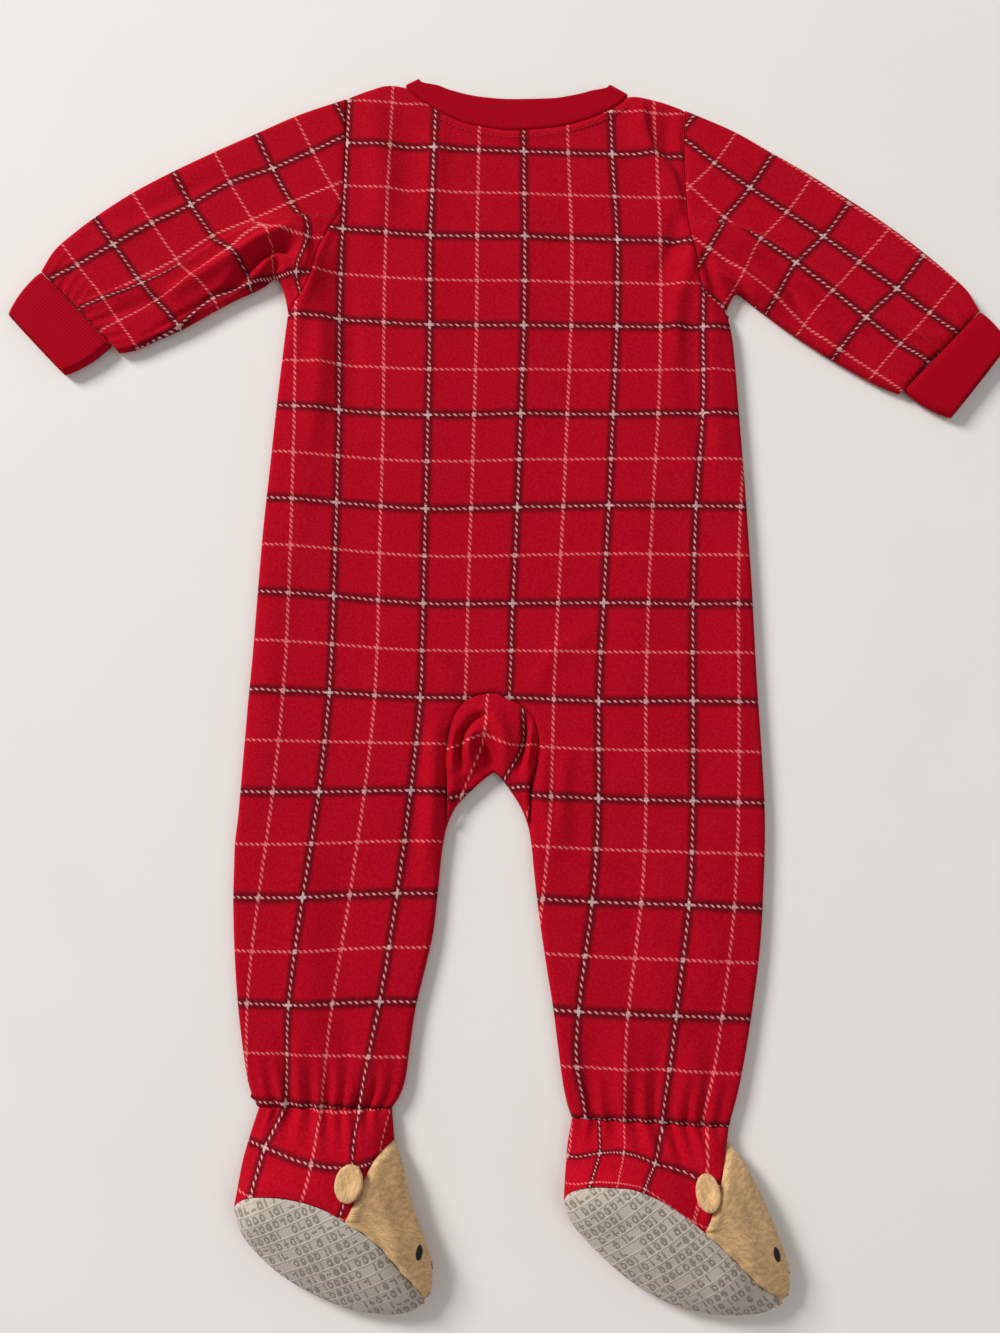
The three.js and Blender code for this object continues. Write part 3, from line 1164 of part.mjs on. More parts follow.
add('back', back(), FLEECE);
add('front_left', front('left'), FLEECE);
add('front_right', front('right'), FLEECE);
add('crotch_gusset', gusset(), FLEECE);
add('neckband', neckband(), RIBBING);
add('zip', zip(), ZIP_TAPE);
add('zip_slider', slider(), ZIP_METAL);
add('zip_pull', tab(), ZIP_METAL);
for (const side of ['left', 'right']) {
  add(`sleeve_${side}`, sleeve(side), FLEECE);
  add(`cuff_${side}`, cuff(side), RIBBING);
  const { upper, sole, cap, topAt } = footSurfaces(side);
  const { heel, toe, apex } = FEET[side];
  const walls = footWalls({ upper, sole, cap }, [heel, toe, apex].map((p) => vec(p)));
  add(`foot_upper_${side}`, walls.upper, FLEECE);
  add(`sole_${side}`, walls.sole, SOLE_CLOTH);
  add(`toe_cap_${side}`, walls.cap, PLUSH);
  const { ear: shape, earUnder } = FEET[side];
  const { place, normal } = earPlace(topAt, shape.x, shape.y);
  place.addScaledVector(normal, EAR_THICK / 2 + shape.above);
  add(`ear_${side}`, ear(place, normal, shape.halfWidth, shape.halfLength, EAR_THICK, shape.turn), PLUSH);
  const below = new THREE.Vector3(earUnder.x, earUnder.y, EAR_UNDER.thick / 2);
  add(`ear_under_${side}`, ear(
    below, new THREE.Vector3(0, 0, 1), EAR_UNDER.radius, EAR_UNDER.radius, EAR_UNDER.thick, 0), PLUSH);
}

const placed = new THREE.Group();
sleeper.position.set(-MIDDLE.x, -MIDDLE.y, 0);
placed.add(sleeper);
export default placed;
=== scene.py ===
import bmesh
import bpy
import numpy as np
from bpy.props import FloatProperty, FloatVectorProperty, IntProperty, PointerProperty
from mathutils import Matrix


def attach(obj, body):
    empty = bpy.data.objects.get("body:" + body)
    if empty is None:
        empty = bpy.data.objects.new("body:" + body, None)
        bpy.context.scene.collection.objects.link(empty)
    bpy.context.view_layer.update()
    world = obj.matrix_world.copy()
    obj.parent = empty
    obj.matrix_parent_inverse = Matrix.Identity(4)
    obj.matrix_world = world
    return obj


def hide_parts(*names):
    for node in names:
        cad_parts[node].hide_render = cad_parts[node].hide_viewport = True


bl_info = {
    "name": "Footed fleece sleeper",
    "version": (1, 0, 0),
    "blender": (4, 5, 0),
    "location": "3D View > Sidebar > Sleeper",
    "description": "A baby's footed sleeper laid out flat on its front, cloth piece by cloth piece",
    "category": "Mesh",
}

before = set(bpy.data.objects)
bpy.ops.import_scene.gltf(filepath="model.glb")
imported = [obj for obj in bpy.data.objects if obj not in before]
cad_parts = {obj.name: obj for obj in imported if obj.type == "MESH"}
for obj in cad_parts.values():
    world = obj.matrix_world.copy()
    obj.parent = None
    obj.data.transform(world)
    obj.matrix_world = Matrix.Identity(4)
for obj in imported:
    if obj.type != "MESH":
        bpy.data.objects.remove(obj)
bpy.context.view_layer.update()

# ---------------------------------------------------------------------------------------------
# The garment's tables, in millimetres: x to the right as the back is seen, y towards the neck,
# z up from the surface. MIDDLE is where the layout's own zero lies from the part's.
# ---------------------------------------------------------------------------------------------
MIDDLE = np.array([4.25, 6.6, 0.0])
CLOTH, TOP = 2.4, 6.4
SEAM, GAP, SEAM_CLEAR, RIB = TOP / 2, 0.3, 0.36, 2.6
UNDERARM_Y, SHOULDER_Y, CROTCH_Y = 206.0, 339.0, -16.3

# y, left, middle, right
TORSO = np.array([
    (339, -91, 10, 109.5), (306, -91, 10, 108.2), (288, -91.3, 9, 108.5), (270, -92.8, 8, 109.1),
    (256, -99.5, 8, 110.2), (242, -105.5, 7, 113.2), (230, -108, 7, 114.4), (217, -113.5, 6, 118.2),
    (206, -122.5, 6, 130.5), (196, -123.8, 6, 133.4), (183, -125.1, 6, 134.9), (148, -128.3, 5, 136.8),
    (112, -131.2, 4, 138.8), (77, -134, 2, 140.3), (43, -136, 0, 141.6), (9, -137.8, -2, 142.4),
    (-16.3, -139.5, -3.1, 143.1)])
# y, outer, inner
LEG = {
    "left": np.array([
        (-16.3, -139.5, -3.1), (-17.5, -139.6, -12), (-21.3, -139.9, -19.5), (-31, -140.4, -25.8),
        (-42, -141.1, -28.4), (-58, -142, -29.3), (-84, -143.6, -29.2), (-101.5, -145, -31.6),
        (-123, -145, -33.7), (-144, -144.2, -35.9), (-165, -142.7, -40.4), (-186, -140.5, -45.4),
        (-207, -137.4, -48.4), (-222, -134.6, -50.4), (-231, -131.6, -53.4), (-236.6, -128.3, -57.3)]),
    "right": np.array([
        (-16.3, 143.1, -3.1), (-19.8, 143.3, 4.7), (-24, 143.5, 12.5), (-31.2, 143.8, 18.2),
        (-41.2, 144.2, 20.4), (-56, 144.7, 18.9), (-70, 145.1, 16.4), (-84, 145.2, 16.3),
        (-101.5, 144.6, 17.5), (-123, 143.2, 19.6), (-144, 141.6, 22.2), (-165, 139, 25.3),
        (-186, 135.5, 28.6), (-207, 131.6, 31.2), (-226, 127.4, 33.8), (-236, 124.6, 36),
        (-241.5, 122.8, 37.9), (-247, 121.4, 38.4)]),
}
ANKLE = {"left": -236.6, "right": -241.5}
ANKLE_SLOPE = {"left": 0.6, "right": -4.6}
FORK = (-3.2, -59.1)
# y, left, right
FORK_EDGE = np.array([
    (-59.1, -3.2, -3.2), (-62.5, -8, 0.6), (-67.5, -13.8, 4.4), (-79.8, -25.2, 12.1),
    (-90.7, -29.6, 15.9), (-101.5, -31.6, 17.5)])
NECK = (-58.3, 78.2)
BACK_NECKLINE = np.array([
    (-91, 339), (-78, 344.3), (-66, 347.6), (-58.3, 346.8), (-50, 339.8), (-41, 333), (-30, 326.6),
    (-15, 321.2), (8, 318), (34, 320.2), (50, 324.4), (62, 329.6), (71, 334.6), (78.2, 340.6),
    (94, 337.4), (109.5, 331.6)])
FRONT_NECKLINE = np.array([
    (-91, 339), (-78, 344.3), (-66, 347.6), (-58.3, 346.8), (-52, 341), (-44, 328.6), (-33, 311),
    (-14, 298), (8, 296), (34, 300), (54, 313), (65, 325), (72, 334.6), (78.2, 340.6), (94, 337.4),
    (109.5, 331.6)])
BAND_PEAK = {"left": (-48.2, 352.2), "right": (65.2, 348.6)}
BAND_BACK_EDGE = np.array([
    (-48.2, 352.2), (-39.7, 348.4), (-27, 343.4), (-11, 339.8), (7, 338.4), (30, 338.9), (45, 341.3),
    (56, 344.4), (65.2, 348.6)])
BAND_FRONT_EDGE = np.array([
    (-48.2, 352.2), (-42, 338), (-30, 326.6), (-12, 319), (8, 317), (30, 319.4), (48, 326.6),
    (59, 336.4), (65.2, 348.6)])
SLEEVE = {
    "left": {
        "over": [(-118.5, 329.2), (-143, 317.7), (-168.7, 305.4), (-193.6, 292.6), (-214.9, 280.4),
                 (-232.5, 268.2), (-248.3, 255.4), (-260.4, 243.4), (-266.9, 231.3)],
        "under": [(-125.4, 218), (-131, 227.4), (-138.6, 221.6), (-153.7, 214.2), (-168, 206),
                  (-183, 197), (-201.9, 187.9), (-211.6, 183.5), (-219.5, 182)],
        "cuff_end": [(-284.5, 204.8), (-250.4, 168.8)],
        "cuff_inset": (0.8, 6.6),
    },
    "right": {
        "over": [(138.3, 318.4), (158.6, 306), (180.6, 292.3), (197.8, 280.4), (216.1, 267.6),
                 (231.4, 256), (246, 243.8), (260, 231), (271.6, 218.8), (277.8, 207)],
        "under": [(133, 211.4), (137.6, 217.8), (151.7, 207.4), (165.8, 196), (183.3, 183.5),
                  (201.9, 171.5), (220, 161.2), (229.5, 157.4)],
        "cuff_end": [(293, 185.9), (258.4, 143.1)],
        "cuff_inset": (0.8, 3.2),
    },
}
# Soft ridges: from x, y to x, y, half width, height
CREASES = np.array([
    (-98, 246, -122, 192, 7, 3.2), (-113, 236, -152, 226, 8, 4.6), (-120, 262, -158, 240, 9, 2.6),
    (116, 236, 158, 214, 8, 4.2), (112, 256, 150, 246, 8, 2.4), (112, 236, 126, 196, 6, 2.2),
    (-112, 190, -116, 60, 12, 1.4), (-36, 322, -38, 268, 6, 1.6), (26, -52, 28, -100, 6, 2.2),
    (-38, -40, -37, -110, 7, 1.9), (-90, -150, -100, -214, 16, 1.6), (78, -150, 84, -220, 18, 1.6)])
# Folds and furrows along curved lines: height, width on the left and on the right as the line is
# walked, and the line's points
FOLDS = {
    "body": [
        (2.6, 3.0, 3.5, [(-95.3, 264), (-103.4, 245.6), (-108.6, 228.8), (-114.5, 210)]),
        (2.0, 8, 8, [(-76, 338), (-72, 309.8), (-68.8, 286), (-74, 250)]),
        (-1.2, 8, 8, [(-55, 333), (-54, 306), (-52.6, 262)]),
        (2.6, 6, 6, [(-108, 222), (-103.7, 200), (-103.2, 172), (-106, 130)]),
        (-1.8, 6, 7, [(-90, 232), (-86.6, 206), (-84.7, 180), (-81.4, 140)]),
        (3.5, 1.8, 9, [(84.3, 340), (85.7, 318), (90.5, 303.6), (100.5, 292.9), (105, 274)]),
        (-1.6, 5, 4, [(100, 334), (98, 309.6), (103.4, 290)]),
        (2.7, 4, 5, [(112, 254), (109.1, 232.9), (102, 204), (101, 170)]),
        (-2.2, 4, 5, [(92, 226), (100, 246), (104, 262)]),
        (1.9, 7, 6, [(122, 202), (121, 170), (126, 120)]),
        (-1.4, 6, 6, [(112, 196), (112, 160), (116, 110)]),
        (0.9, 16, 18, [(-40, 250), (-36, 170), (-44, 90)]),
        (-0.8, 16, 16, [(36, 280), (40, 200), (34, 110)]),
        (0.9, 14, 16, [(70, 130), (76, 50), (70, -30)]),
        (-0.8, 14, 14, [(-82, 100), (-80, 30), (-86, -40)]),
        (1.2, 8, 10, [(-126, 60), (-128, 0), (-130, -70)]),
        (1.1, 8, 8, [(130, 70), (131, 0), (132, -60)]),
        (1.4, 5, 6, [(-24, -12), (-36, 8), (-60, 24)]),
        (1.2, 5, 6, [(18, -14), (30, 6), (52, 20)]),
        (2.0, 4, 5, [(-33, -24), (-34.5, -60), (-37, -100)]),
        (-1.6, 4, 5, [(-43, -40), (-45, -80), (-48, -120)]),
        (2.3, 2.6, 3, [(25, -44), (21.5, -60), (22.5, -80)]),
        (-1.6, 2.6, 3, [(31, -50), (29, -66), (29, -86)]),
        (1.6, 3.5, 5, [(37, -48), (35, -70), (35, -100)]),
        (1.4, 12, 10, [(-110, -90), (-106, -150), (-104, -200)]),
        (-1.2, 9, 10, [(-84, -110), (-86, -160), (-90, -205)]),
        (1.2, 12, 12, [(116, -90), (112, -150), (104, -205)]),
        (-1.1, 9, 10, [(72, -110), (72, -160), (78, -210)]),
        (-1.6, 5, 6, [(-85.6, -197), (-80.2, -212), (-76, -228)]),
        (1.7, 5, 6, [(-67, -192), (-66, -210), (-67.6, -229)]),
        (-1.6, 5, 5, [(-117, -198), (-114.4, -216), (-112.6, -230)]),
        (1.3, 4, 5, [(-108, -202), (-106, -218), (-103.6, -230)]),
        (-1.5, 5, 5, [(48, -205), (50, -222), (52, -238)]),
        (1.6, 5, 6, [(64, -196), (66, -216), (66, -238)]),
        (-1.7, 5, 6, [(84, -200), (84, -222), (83, -240)]),
        (1.5, 5, 5, [(104, -204), (101, -224), (99, -240)]),
    ],
    "left": [
        (4.2, 3.0, 5.5, [(-190, 218), (-170.4, 230), (-153.4, 240), (-134.9, 250.7), (-121, 256),
                       (-112.6, 248.7), (-112.3, 237.4), (-117.6, 226.7)]),
        (-7.4, 3.4, 3.4, [(-158, 218), (-146.3, 231.3), (-137.9, 241.0), (-128.8, 244.8), (-122.9, 241.0)]),
        (-6.6, 4.0, 4.0, [(-134.6, 224), (-129.6, 232.8), (-131.3, 238.4)]),
        (2.8, 1.8, 2.2, [(-134.6, 234.9), (-130.6, 240.2), (-125.7, 237.4), (-122.7, 229.8)]),
        (-1.9, 1.2, 3.0, [(-206, 190), (-175, 210.6), (-155.1, 222.8), (-142, 228)]),
        (-1.3, 5, 5, [(-214, 262), (-190, 276), (-160, 290)]),
        (1.0, 6, 6, [(-236, 244), (-214, 256), (-190, 268)]),
        (-1.2, 3, 4, [(-232, 200), (-214, 208), (-196, 214)]),
    ],
    "right": [
        (-1.9, 3.2, 3.4, [(149.2, 238.6), (163.7, 226.4), (174.6, 205.6), (182.4, 191.8)]),
        (-1.7, 3.4, 4, [(170.1, 219.4), (192.6, 202.1), (212.9, 174.6)]),
        (1.9, 2.4, 5, [(141, 250.4), (160.5, 236.4), (183.1, 219), (208.6, 196.5)]),
        (1.7, 2, 4, [(215.8, 205.6), (235.1, 195.2), (252.9, 188.3)]),
        (-2.8, 2.4, 2.6, [(117.9, 242), (123.1, 222), (128.7, 207.7)]),
        (-2.4, 2.0, 3, [(127.8, 237.4), (137.5, 226.9), (144, 217)]),
        (2.0, 2.4, 2.4, [(119, 249), (134.3, 238.6), (142, 230)]),
        (-1.8, 3.0, 1.2, [(150, 211.6), (167, 199.4), (186, 186.4), (207.1, 173.7), (222, 165.5)]),
        (-1.2, 5, 5, [(150, 290), (180, 270), (210, 248)]),
        (1.0, 6, 6, [(140, 272), (170, 250), (196, 232)]),
        (-1.2, 3, 4, [(240, 214), (254, 202), (264, 192)]),
    ],
    "gusset": [
        (-3.4, 2.0, 2.2, [(-6.3, -27.6), (-14.0, -30.0), (-18.4, -34.8), (-21.0, -41.0), (-22.0, -49.9), (-21, -58)]),
        (2.4, 2.6, 2.8, [(-9.0, -36.9), (-15.0, -37.9), (-17.2, -46), (-14.4, -58.1)]),
        (-3.2, 2.4, 2.4, [(-10.6, -43.3), (-7.6, -49.0), (-5.5, -56)]),
        (2.0, 4.6, 3.6, [(-5.5, -24.6), (0, -34.2), (2.7, -46), (2.4, -58)]),
        (-2.8, 1.9, 2.1, [(14.6, -29), (14.0, -38.6), (12.4, -48.5), (10.6, -58)]),
        (1.2, 1.8, 2, [(17.2, -34), (16.6, -44), (15.0, -56)]),
        (1.2, 1.8, 2, [(-25.4, -34), (-26.2, -44), (-26.6, -58)]),
    ],
}
CAP_FOLDS = {
    "left": [(-2.0, 3.2, 3.6, [(-74, -283), (-64, -294), (-57, -308), (-52, -318)]),
             (1.3, 3.5, 4.5, [(-66, -273), (-57, -288), (-50, -306)]),
             (-1.0, 3, 3, [(-62, -262), (-56, -276), (-48, -292)])],
    "right": [(-2.0, 3.6, 3.2, [(104, -288), (114, -298), (123, -310), (130, -320)]),
              (1.3, 4.5, 3.5, [(112, -277), (122, -291), (131, -308)]),
              (-1.0, 3, 3, [(119, -266), (127, -280), (136, -296)])],
}
# The flat pleat that runs down each sleeve: x, y of its edge, from the shoulder to the wrist
PLEAT = {
    "left": np.array([(-242.8, 211.2), (-229.4, 216.4), (-202.1, 227.3), (-182.6, 237.4),
                      (-161.4, 251.3), (-142.5, 260.2), (-126.1, 264.5)]),
    "right": np.array([(130.7, 260.2), (146.8, 254.6), (182.8, 232), (195.2, 222.7), (215.2, 208.4),
                       (235.6, 195.5), (253, 182.7)]),
}
GATHERS, GATHER_HEIGHT = 9, 1.15
ZIP_LINE = np.array([
    (296, 8), (200, 7), (110, 3), (55, -8), (12, -24), (-21, -37), (-58, -51), (-110, -68),
    (-160, -83), (-205, -90), (-237, -92)])
ZIP_EDGE, ZIP_FROM, ZIP_TO = 3.3, 281.0, -232.0

# Feet: x, y, z of the lines where upper, sole and toe cap meet
FEET = {
    "left": {
        "ankle": [(-128, -236.4), (-57.4, -237)],
        "heel_side": [(-132.7, -251.7), (-136.6, -267)],
        "heel": (-139, -286, 8), "apex": (-55.8, -252.8, 4.5), "toe": (-38.8, -331, 7.5),
        "sole_seam": [(-134.6, -281.6, 12), (-127, -278.6, 17.5), (-116, -277.4, 21.5),
                      (-102, -278.6, 25), (-89.2, -282.2, 26.5)],
        "sole_corner": (-78.6, -287.8, 27),
        "toe_seam": [(-66.5, -296, 25), (-58.6, -304.2, 22), (-52.6, -313, 18), (-46, -321.6, 13.5)],
        "rim_heel": [(-135.8, -297, 7.6), (-123.2, -312.3, 7), (-103.3, -326, 7)],
        "rim_corner": (-84, -334.2, 7),
        "rim_toe": [(-69.5, -338.1, 7), (-54, -339.2, 7), (-44, -336.8, 7)],
        "cap_edge": [(-75.6, -281.4, 26), (-71.8, -273.8, 23.4), (-68.4, -265.6, 19.6),
                     (-62.6, -257.6, 13.4)],
        "cap_under": [(-78, -312), (-70, -290), (-62, -268)],
        "outline": [(-51.2, -264.3, 7), (-45.8, -284.2, 9), (-39, -301.5, 9.5), (-35, -316.2, 9),
                    (-35.4, -325.4, 8)],
        "ear_under": (-84, -284),
        "row_turn": 26,
        "eyes": [(-40.6, -306.2, 15), (-35.6, -314.2, 6)],
    },
    "right": {
        "ankle": [(38.2, -242.1), (121.4, -246.7)],
        "heel_side": [(35.6, -256.8), (34.5, -269)],
        "heel": (33.3, -282.6, 8), "apex": (120, -254, 4.5), "toe": (146.2, -331.8, 7.5),
        "sole_seam": [(36.6, -277.4, 12), (43.6, -274.2, 17.5), (52.6, -272.4, 21.5), (64, -272, 25),
                      (78, -275.8, 27), (92, -283.6, 27.5)],
        "sole_corner": (104.2, -293.1, 27),
        "toe_seam": [(112, -300.4, 25.5), (119.6, -308, 23), (128, -317.4, 18.5), (136, -325, 13.5)],
        "rim_heel": [(35.4, -290.4, 7.6), (42.6, -300, 7), (51.8, -309.4, 7), (64.6, -320.3, 7),
                     (77.4, -328.6, 7)],
        "rim_corner": (91.4, -334.6, 7),
        "rim_toe": [(103, -337.7, 7), (118.4, -339.6, 7), (131.3, -339.1, 7), (140.6, -336.4, 7)],
        "cap_edge": [(105.8, -289.4, 26.6), (110.1, -280, 24.6), (114.3, -269.4, 19.6),
                     (117.2, -261, 12.6)],
        "cap_under": [(97, -314), (106, -292), (114, -270)],
        "outline": [(125.7, -260, 7), (131.7, -270, 8.6), (138.5, -284.4, 9.5), (145.3, -301.5, 9.5),
                    (150, -317.6, 9), (150, -326, 8)],
        "ear_under": (98, -288),
        "row_turn": 40,
        "eyes": [(143.4, -307.7, 15), (149.2, -315.6, 6)],
    },
}
SOLE_CROWN = 4.5
EAR_UNDER = {"thick": 2.4, "radius": 7.6, "room": 3.2, "flat": 17.0, "reach": 28.0}

# Where the plaid's lines cross: x, y, then the number of the lengthwise and of the cross line.
# A whole number is a black line with a white rope, a half is a thin pink one
BODY_PLAID = np.array([
    (-38.7, 306.8, -1, 0), (14.1, 304.6, 0, 0), (65.9, 302.9, 1, 0), (-91.6, 256.3, -2, -1),
    (-40.5, 252.4, -1, -1), (14.4, 251.9, 0, -1), (68.3, 249.8, 1, -1), (-92.7, 201.6, -2, -2),
    (-40.4, 197.6, -1, -2), (13.8, 197.6, 0, -2), (67.4, 196.7, 1, -2), (116.9, 196.3, 2, -2),
    (-91.9, 146.9, -2, -3), (-41, 143.7, -1, -3), (11.9, 144.9, 0, -3), (64.5, 144.3, 1, -3),
    (115.8, 145.2, 2, -3), (-92.3, 92.7, -2, -4), (-42, 88.9, -1, -4), (9.8, 89.9, 0, -4),
    (61.5, 90.8, 1, -4), (110.8, 90.7, 2, -4), (-93, 39, -2, -5), (-42.9, 34.7, -1, -5),
    (7.1, 34.7, 0, -5), (57.9, 35, 1, -5), (107.8, 34.4, 2, -5), (-94.5, -15.3, -2, -6),
    (-44, -18.1, -1, -6), (5.3, -18.1, 0, -6), (54.5, -20.2, 1, -6), (106.7, -20, 2, -6),
    (-99.2, -70.1, -2, -7), (-48.9, -69.3, -1, -7), (53.9, -73.6, 1, -7), (105.5, -75, 2, -7),
    (-106.5, -126.8, -2, -8), (-55.6, -124.7, -1, -8), (49.9, -129.2, 1, -8), (102.1, -130.8, 2, -8),
    (-113, -183.5, -2, -9), (-64.3, -181.7, -1, -9), (42, -186.9, 1, -9), (94, -189, 2, -9),
    (-113.3, -234, -2, -10), (-74.4, -237.5, -1, -10), (40.9, -215.6, 1, -9.5), (66.3, -216.6, 1.5, -9.5), (89.9, -216.9, 2, -9.5),
    (113.4, -218.4, 2.5, -9.5), (45.0, -240.7, 1, -9.97), (65.4, -242.3, 1.5, -10), (85.5, -243.4, 2, -10),
    (106.7, -245.1, 2.5, -10)])
SLEEVE_PLAID = {
    "left": {
        "above": np.array([
            (-110.3, 304.9, 0, -0.5), (-133.5, 293.9, 0, 0), (-158.2, 285.3, 0, 0.5),
            (-180.5, 271.3, 0, 1), (-202.7, 259.7, 0, 1.5), (-224.7, 246.6, 0, 2),
            (-245.3, 234.3, 0, 2.5), (-122.1, 272.9, 0.5, 0), (-144.4, 262, 0.5, 0.5),
            (-167.5, 252, 0.5, 1), (-143.8, 315.9, -0.4, 0), (-191.4, 291.6, -0.4, 1),
            (-236.4, 262.8, -0.35, 2), (-186.5, 235.8, 0.55, 1.5), (-209.2, 225, 0.52, 2),
            (-231, 216.5, 0.47, 2.5)]),
        "below": np.array([
            (-137, 256.6, 1.5, 0.5), (-157, 243.5, 1.5, 1), (-179, 228.2, 1.5, 1.5),
            (-198.8, 213, 1.5, 2), (-219.9, 200.1, 1.5, 2.5), (-185.8, 234.3, 1, 1.5),
            (-207.1, 222.5, 1, 2), (-229.2, 213.8, 1, 2.5), (-185.3, 197, 2, 2),
            (-144.8, 222.5, 2, 1), (-111.5, 250.5, 1.5, 0), (-117.6, 228.4, 2, 0),
            (-143, 259.5, 1.44, 0.5), (-165, 248.7, 1.3, 1)]),
    },
    "right": {
        "above": np.array([
            (109.3, 312, 0, -0.9), (125.9, 297.3, 0, -0.5), (146.4, 282, 0, 0), (167.5, 266.8, 0, 0.5),
            (188.3, 251.7, 0, 1), (208.4, 236, 0, 1.5), (229.7, 219.7, 0, 2), (248.3, 205.5, 0, 2.5),
            (111.3, 282.7, 0.5, -0.5), (131, 263.4, 0.5, 0), (160.7, 303.6, -0.5, 0),
            (204, 272.4, -0.5, 1), (226.7, 256.5, -0.5, 1.5), (246, 240.1, -0.5, 2),
            (153.5, 252, 0.40, 0.5), (174.5, 238.3, 0.37, 1), (196.5, 222.5, 0.36, 1.5),
            (217, 208, 0.33, 2), (239, 195, 0.27, 2.5)]),
        "below": np.array([
            (151.4, 249.7, 1, 0.5), (171.6, 235.3, 1, 1), (192.3, 218.4, 1, 1.5), (211, 202.2, 1, 2),
            (230.1, 186.1, 1, 2.5), (246.9, 175.4, 1, 3), (141.1, 229.2, 1.5, 0.5),
            (159.4, 214.3, 1.5, 1), (175.5, 198.2, 1.5, 1.5), (195.5, 183.4, 1.5, 2),
            (215.4, 169.4, 1.5, 2.5), (153.5, 252, 0.95, 0.5), (174.5, 238.3, 0.92, 1),
            (196.5, 222.5, 0.89, 1.5), (217, 208, 0.83, 2), (239, 195, 0.77, 2.5)]),
    },
}
FOOT_PLAID = {
    "left": np.array([
        (-112.1, -232.7, 0, 0.5), (-123, -255.2, 0, 0), (-129.1, -279, 0, -0.5), (-76.2, -263.2, 1, 0),
        (-73.5, -235.2, 1, 0.55), (-93.8, -235.2, 0.5, 0.55), (-101.7, -279.9, 0.5, -0.4),
        (-62.3, -255.2, 1.5, 0.1)]),
    "right": np.array([
        (42.9, -245.8, -0.33, 0.33), (51.9, -257.5, 0, 0), (47.1, -269.5, -0.02, -0.45),
        (65.4, -245.1, 0.5, 0.33), (85.5, -244.9, 1, 0.33), (80.0, -261.3, 1, 0),
        (73.2, -271.7, 0.98, -0.5), (106.7, -246.2, 1.45, 0.36), (105.8, -270.0, 1.5, 0),
        (98.9, -286.1, 1.5, -0.45), (40.7, -260.6, -0.35, 0)]),
}
GUSSET_PLAID = np.array([
    (-7.2, -19.6, -0.5, 0.85), (-8.8, -38.9, -0.5, 0.5), (5.5, -44.4, -0.2, 0.5),
    (12.7, -27.9, 0, 0.8), (8.8, -52.6, 0, 0.3), (2.7, -62.5, 0, 0.1), (-26, -40, -0.9, 0.6)])


# ---------------------------------------------------------------------------------------------
# Numbers and curves
# ---------------------------------------------------------------------------------------------
def ease(t):
    """3t^2 - 2t^3, with t held between 0 and 1."""
    t = np.clip(t, 0, 1)
    return t * t * (3 - 2 * t)


def mix(a, b, t):
    """a + (b - a) t."""
    return a + (b - a) * t


def curve(xs, ys):
    """A smooth curve through knots: cubic, each slope the harmonic mean of the two chords' slopes
    beside it and level at a turn, so it never overshoots. Beyond its ends it keeps its last value."""
    order = np.argsort(xs)
    xs, ys = np.asarray(xs, float)[order], np.asarray(ys, float)[order]
    rise = np.diff(ys) / np.diff(xs)
    product, total = rise[:-1] * rise[1:], rise[:-1] + rise[1:]
    inner = np.where(product > 0, 2 * product / np.where(total == 0, 1, total), 0)
    slope = np.concatenate([rise[:1], inner, rise[-1:]])

    def at(x):
        x = np.asarray(x, float)
        i = np.clip(np.searchsorted(xs, x) - 1, 0, len(xs) - 2)
        width = xs[i + 1] - xs[i]
        t = np.clip((x - xs[i]) / width, 0, 1)
        held = slope[i] * t * (1 - t) ** 2 - slope[i + 1] * t * t * (1 - t)
        return mix(ys[i], ys[i + 1], ease(t)) + held * width

    return at


def along(points, knots=None):
    """A smooth curve through 2-D or 3-D points, by the share of its chord length or by knots."""
    points = np.asarray(points, float)
    if knots is None:
        steps = np.linalg.norm(np.diff(points, axis=0), axis=1)
        knots = np.concatenate([[0], np.cumsum(steps)]) / steps.sum()
    axes = [curve(knots, column) for column in points.T]
    return lambda t: np.stack([axis(t) for axis in axes], axis=-1)


def by_index(points):
    """The same with its points at even shares."""
    return along(points, np.linspace(0, 1, len(points)))


def nearest(lines, x, y):
    """Distance in plan to the nearest of some polylines, with the values carried by the nearest
    point in their third column, if they have one."""
    best = np.full(np.shape(x), np.inf)
    value = np.zeros(np.shape(x))
    for line in lines:
        a, b = line[:-1], line[1:]
        u = b[:, :2] - a[:, :2]
        size = np.maximum((u ** 2).sum(1), 1e-12)
        for part in range(0, x.size, 4000):
            px, py = x.ravel()[part:part + 4000, None], y.ravel()[part:part + 4000, None]
            t = np.clip(((px - a[:, 0]) * u[:, 0] + (py - a[:, 1]) * u[:, 1]) / size, 0, 1)
            d = np.hypot(px - a[:, 0] - t * u[:, 0], py - a[:, 1] - t * u[:, 1])
            k = d.argmin(1)
            rows = np.arange(len(k))
            here = best.ravel()[part:part + 4000]
            closer = d[rows, k] < here
            best.reshape(-1)[part:part + 4000] = np.where(closer, d[rows, k], here)
            if line.shape[1] > 2:
                z = a[k, 2] + (b[k, 2] - a[k, 2]) * t[rows, k]
                old = value.reshape(-1)[part:part + 4000]
                value.reshape(-1)[part:part + 4000] = np.where(closer, z, old)
    return best, value


def line_of(edge, start, end, n):
    """A polyline of n steps along an edge given as x by y."""
    y = np.linspace(start, end, n + 1)
    return np.stack([edge(y), y], axis=-1)


def aside(points, distance):
    """A polyline moved sideways, to its left as it is walked."""
    way = np.gradient(np.asarray(points, float)[:, :2], axis=0)
    way[0], way[-1] = points[1][:2] - points[0][:2], points[-1][:2] - points[-2][:2]
    way /= np.linalg.norm(way, axis=1, keepdims=True)
    moved = np.array(points, float)
    moved[:, 0] -= way[:, 1] * distance
    moved[:, 1] += way[:, 0] * distance
    return moved


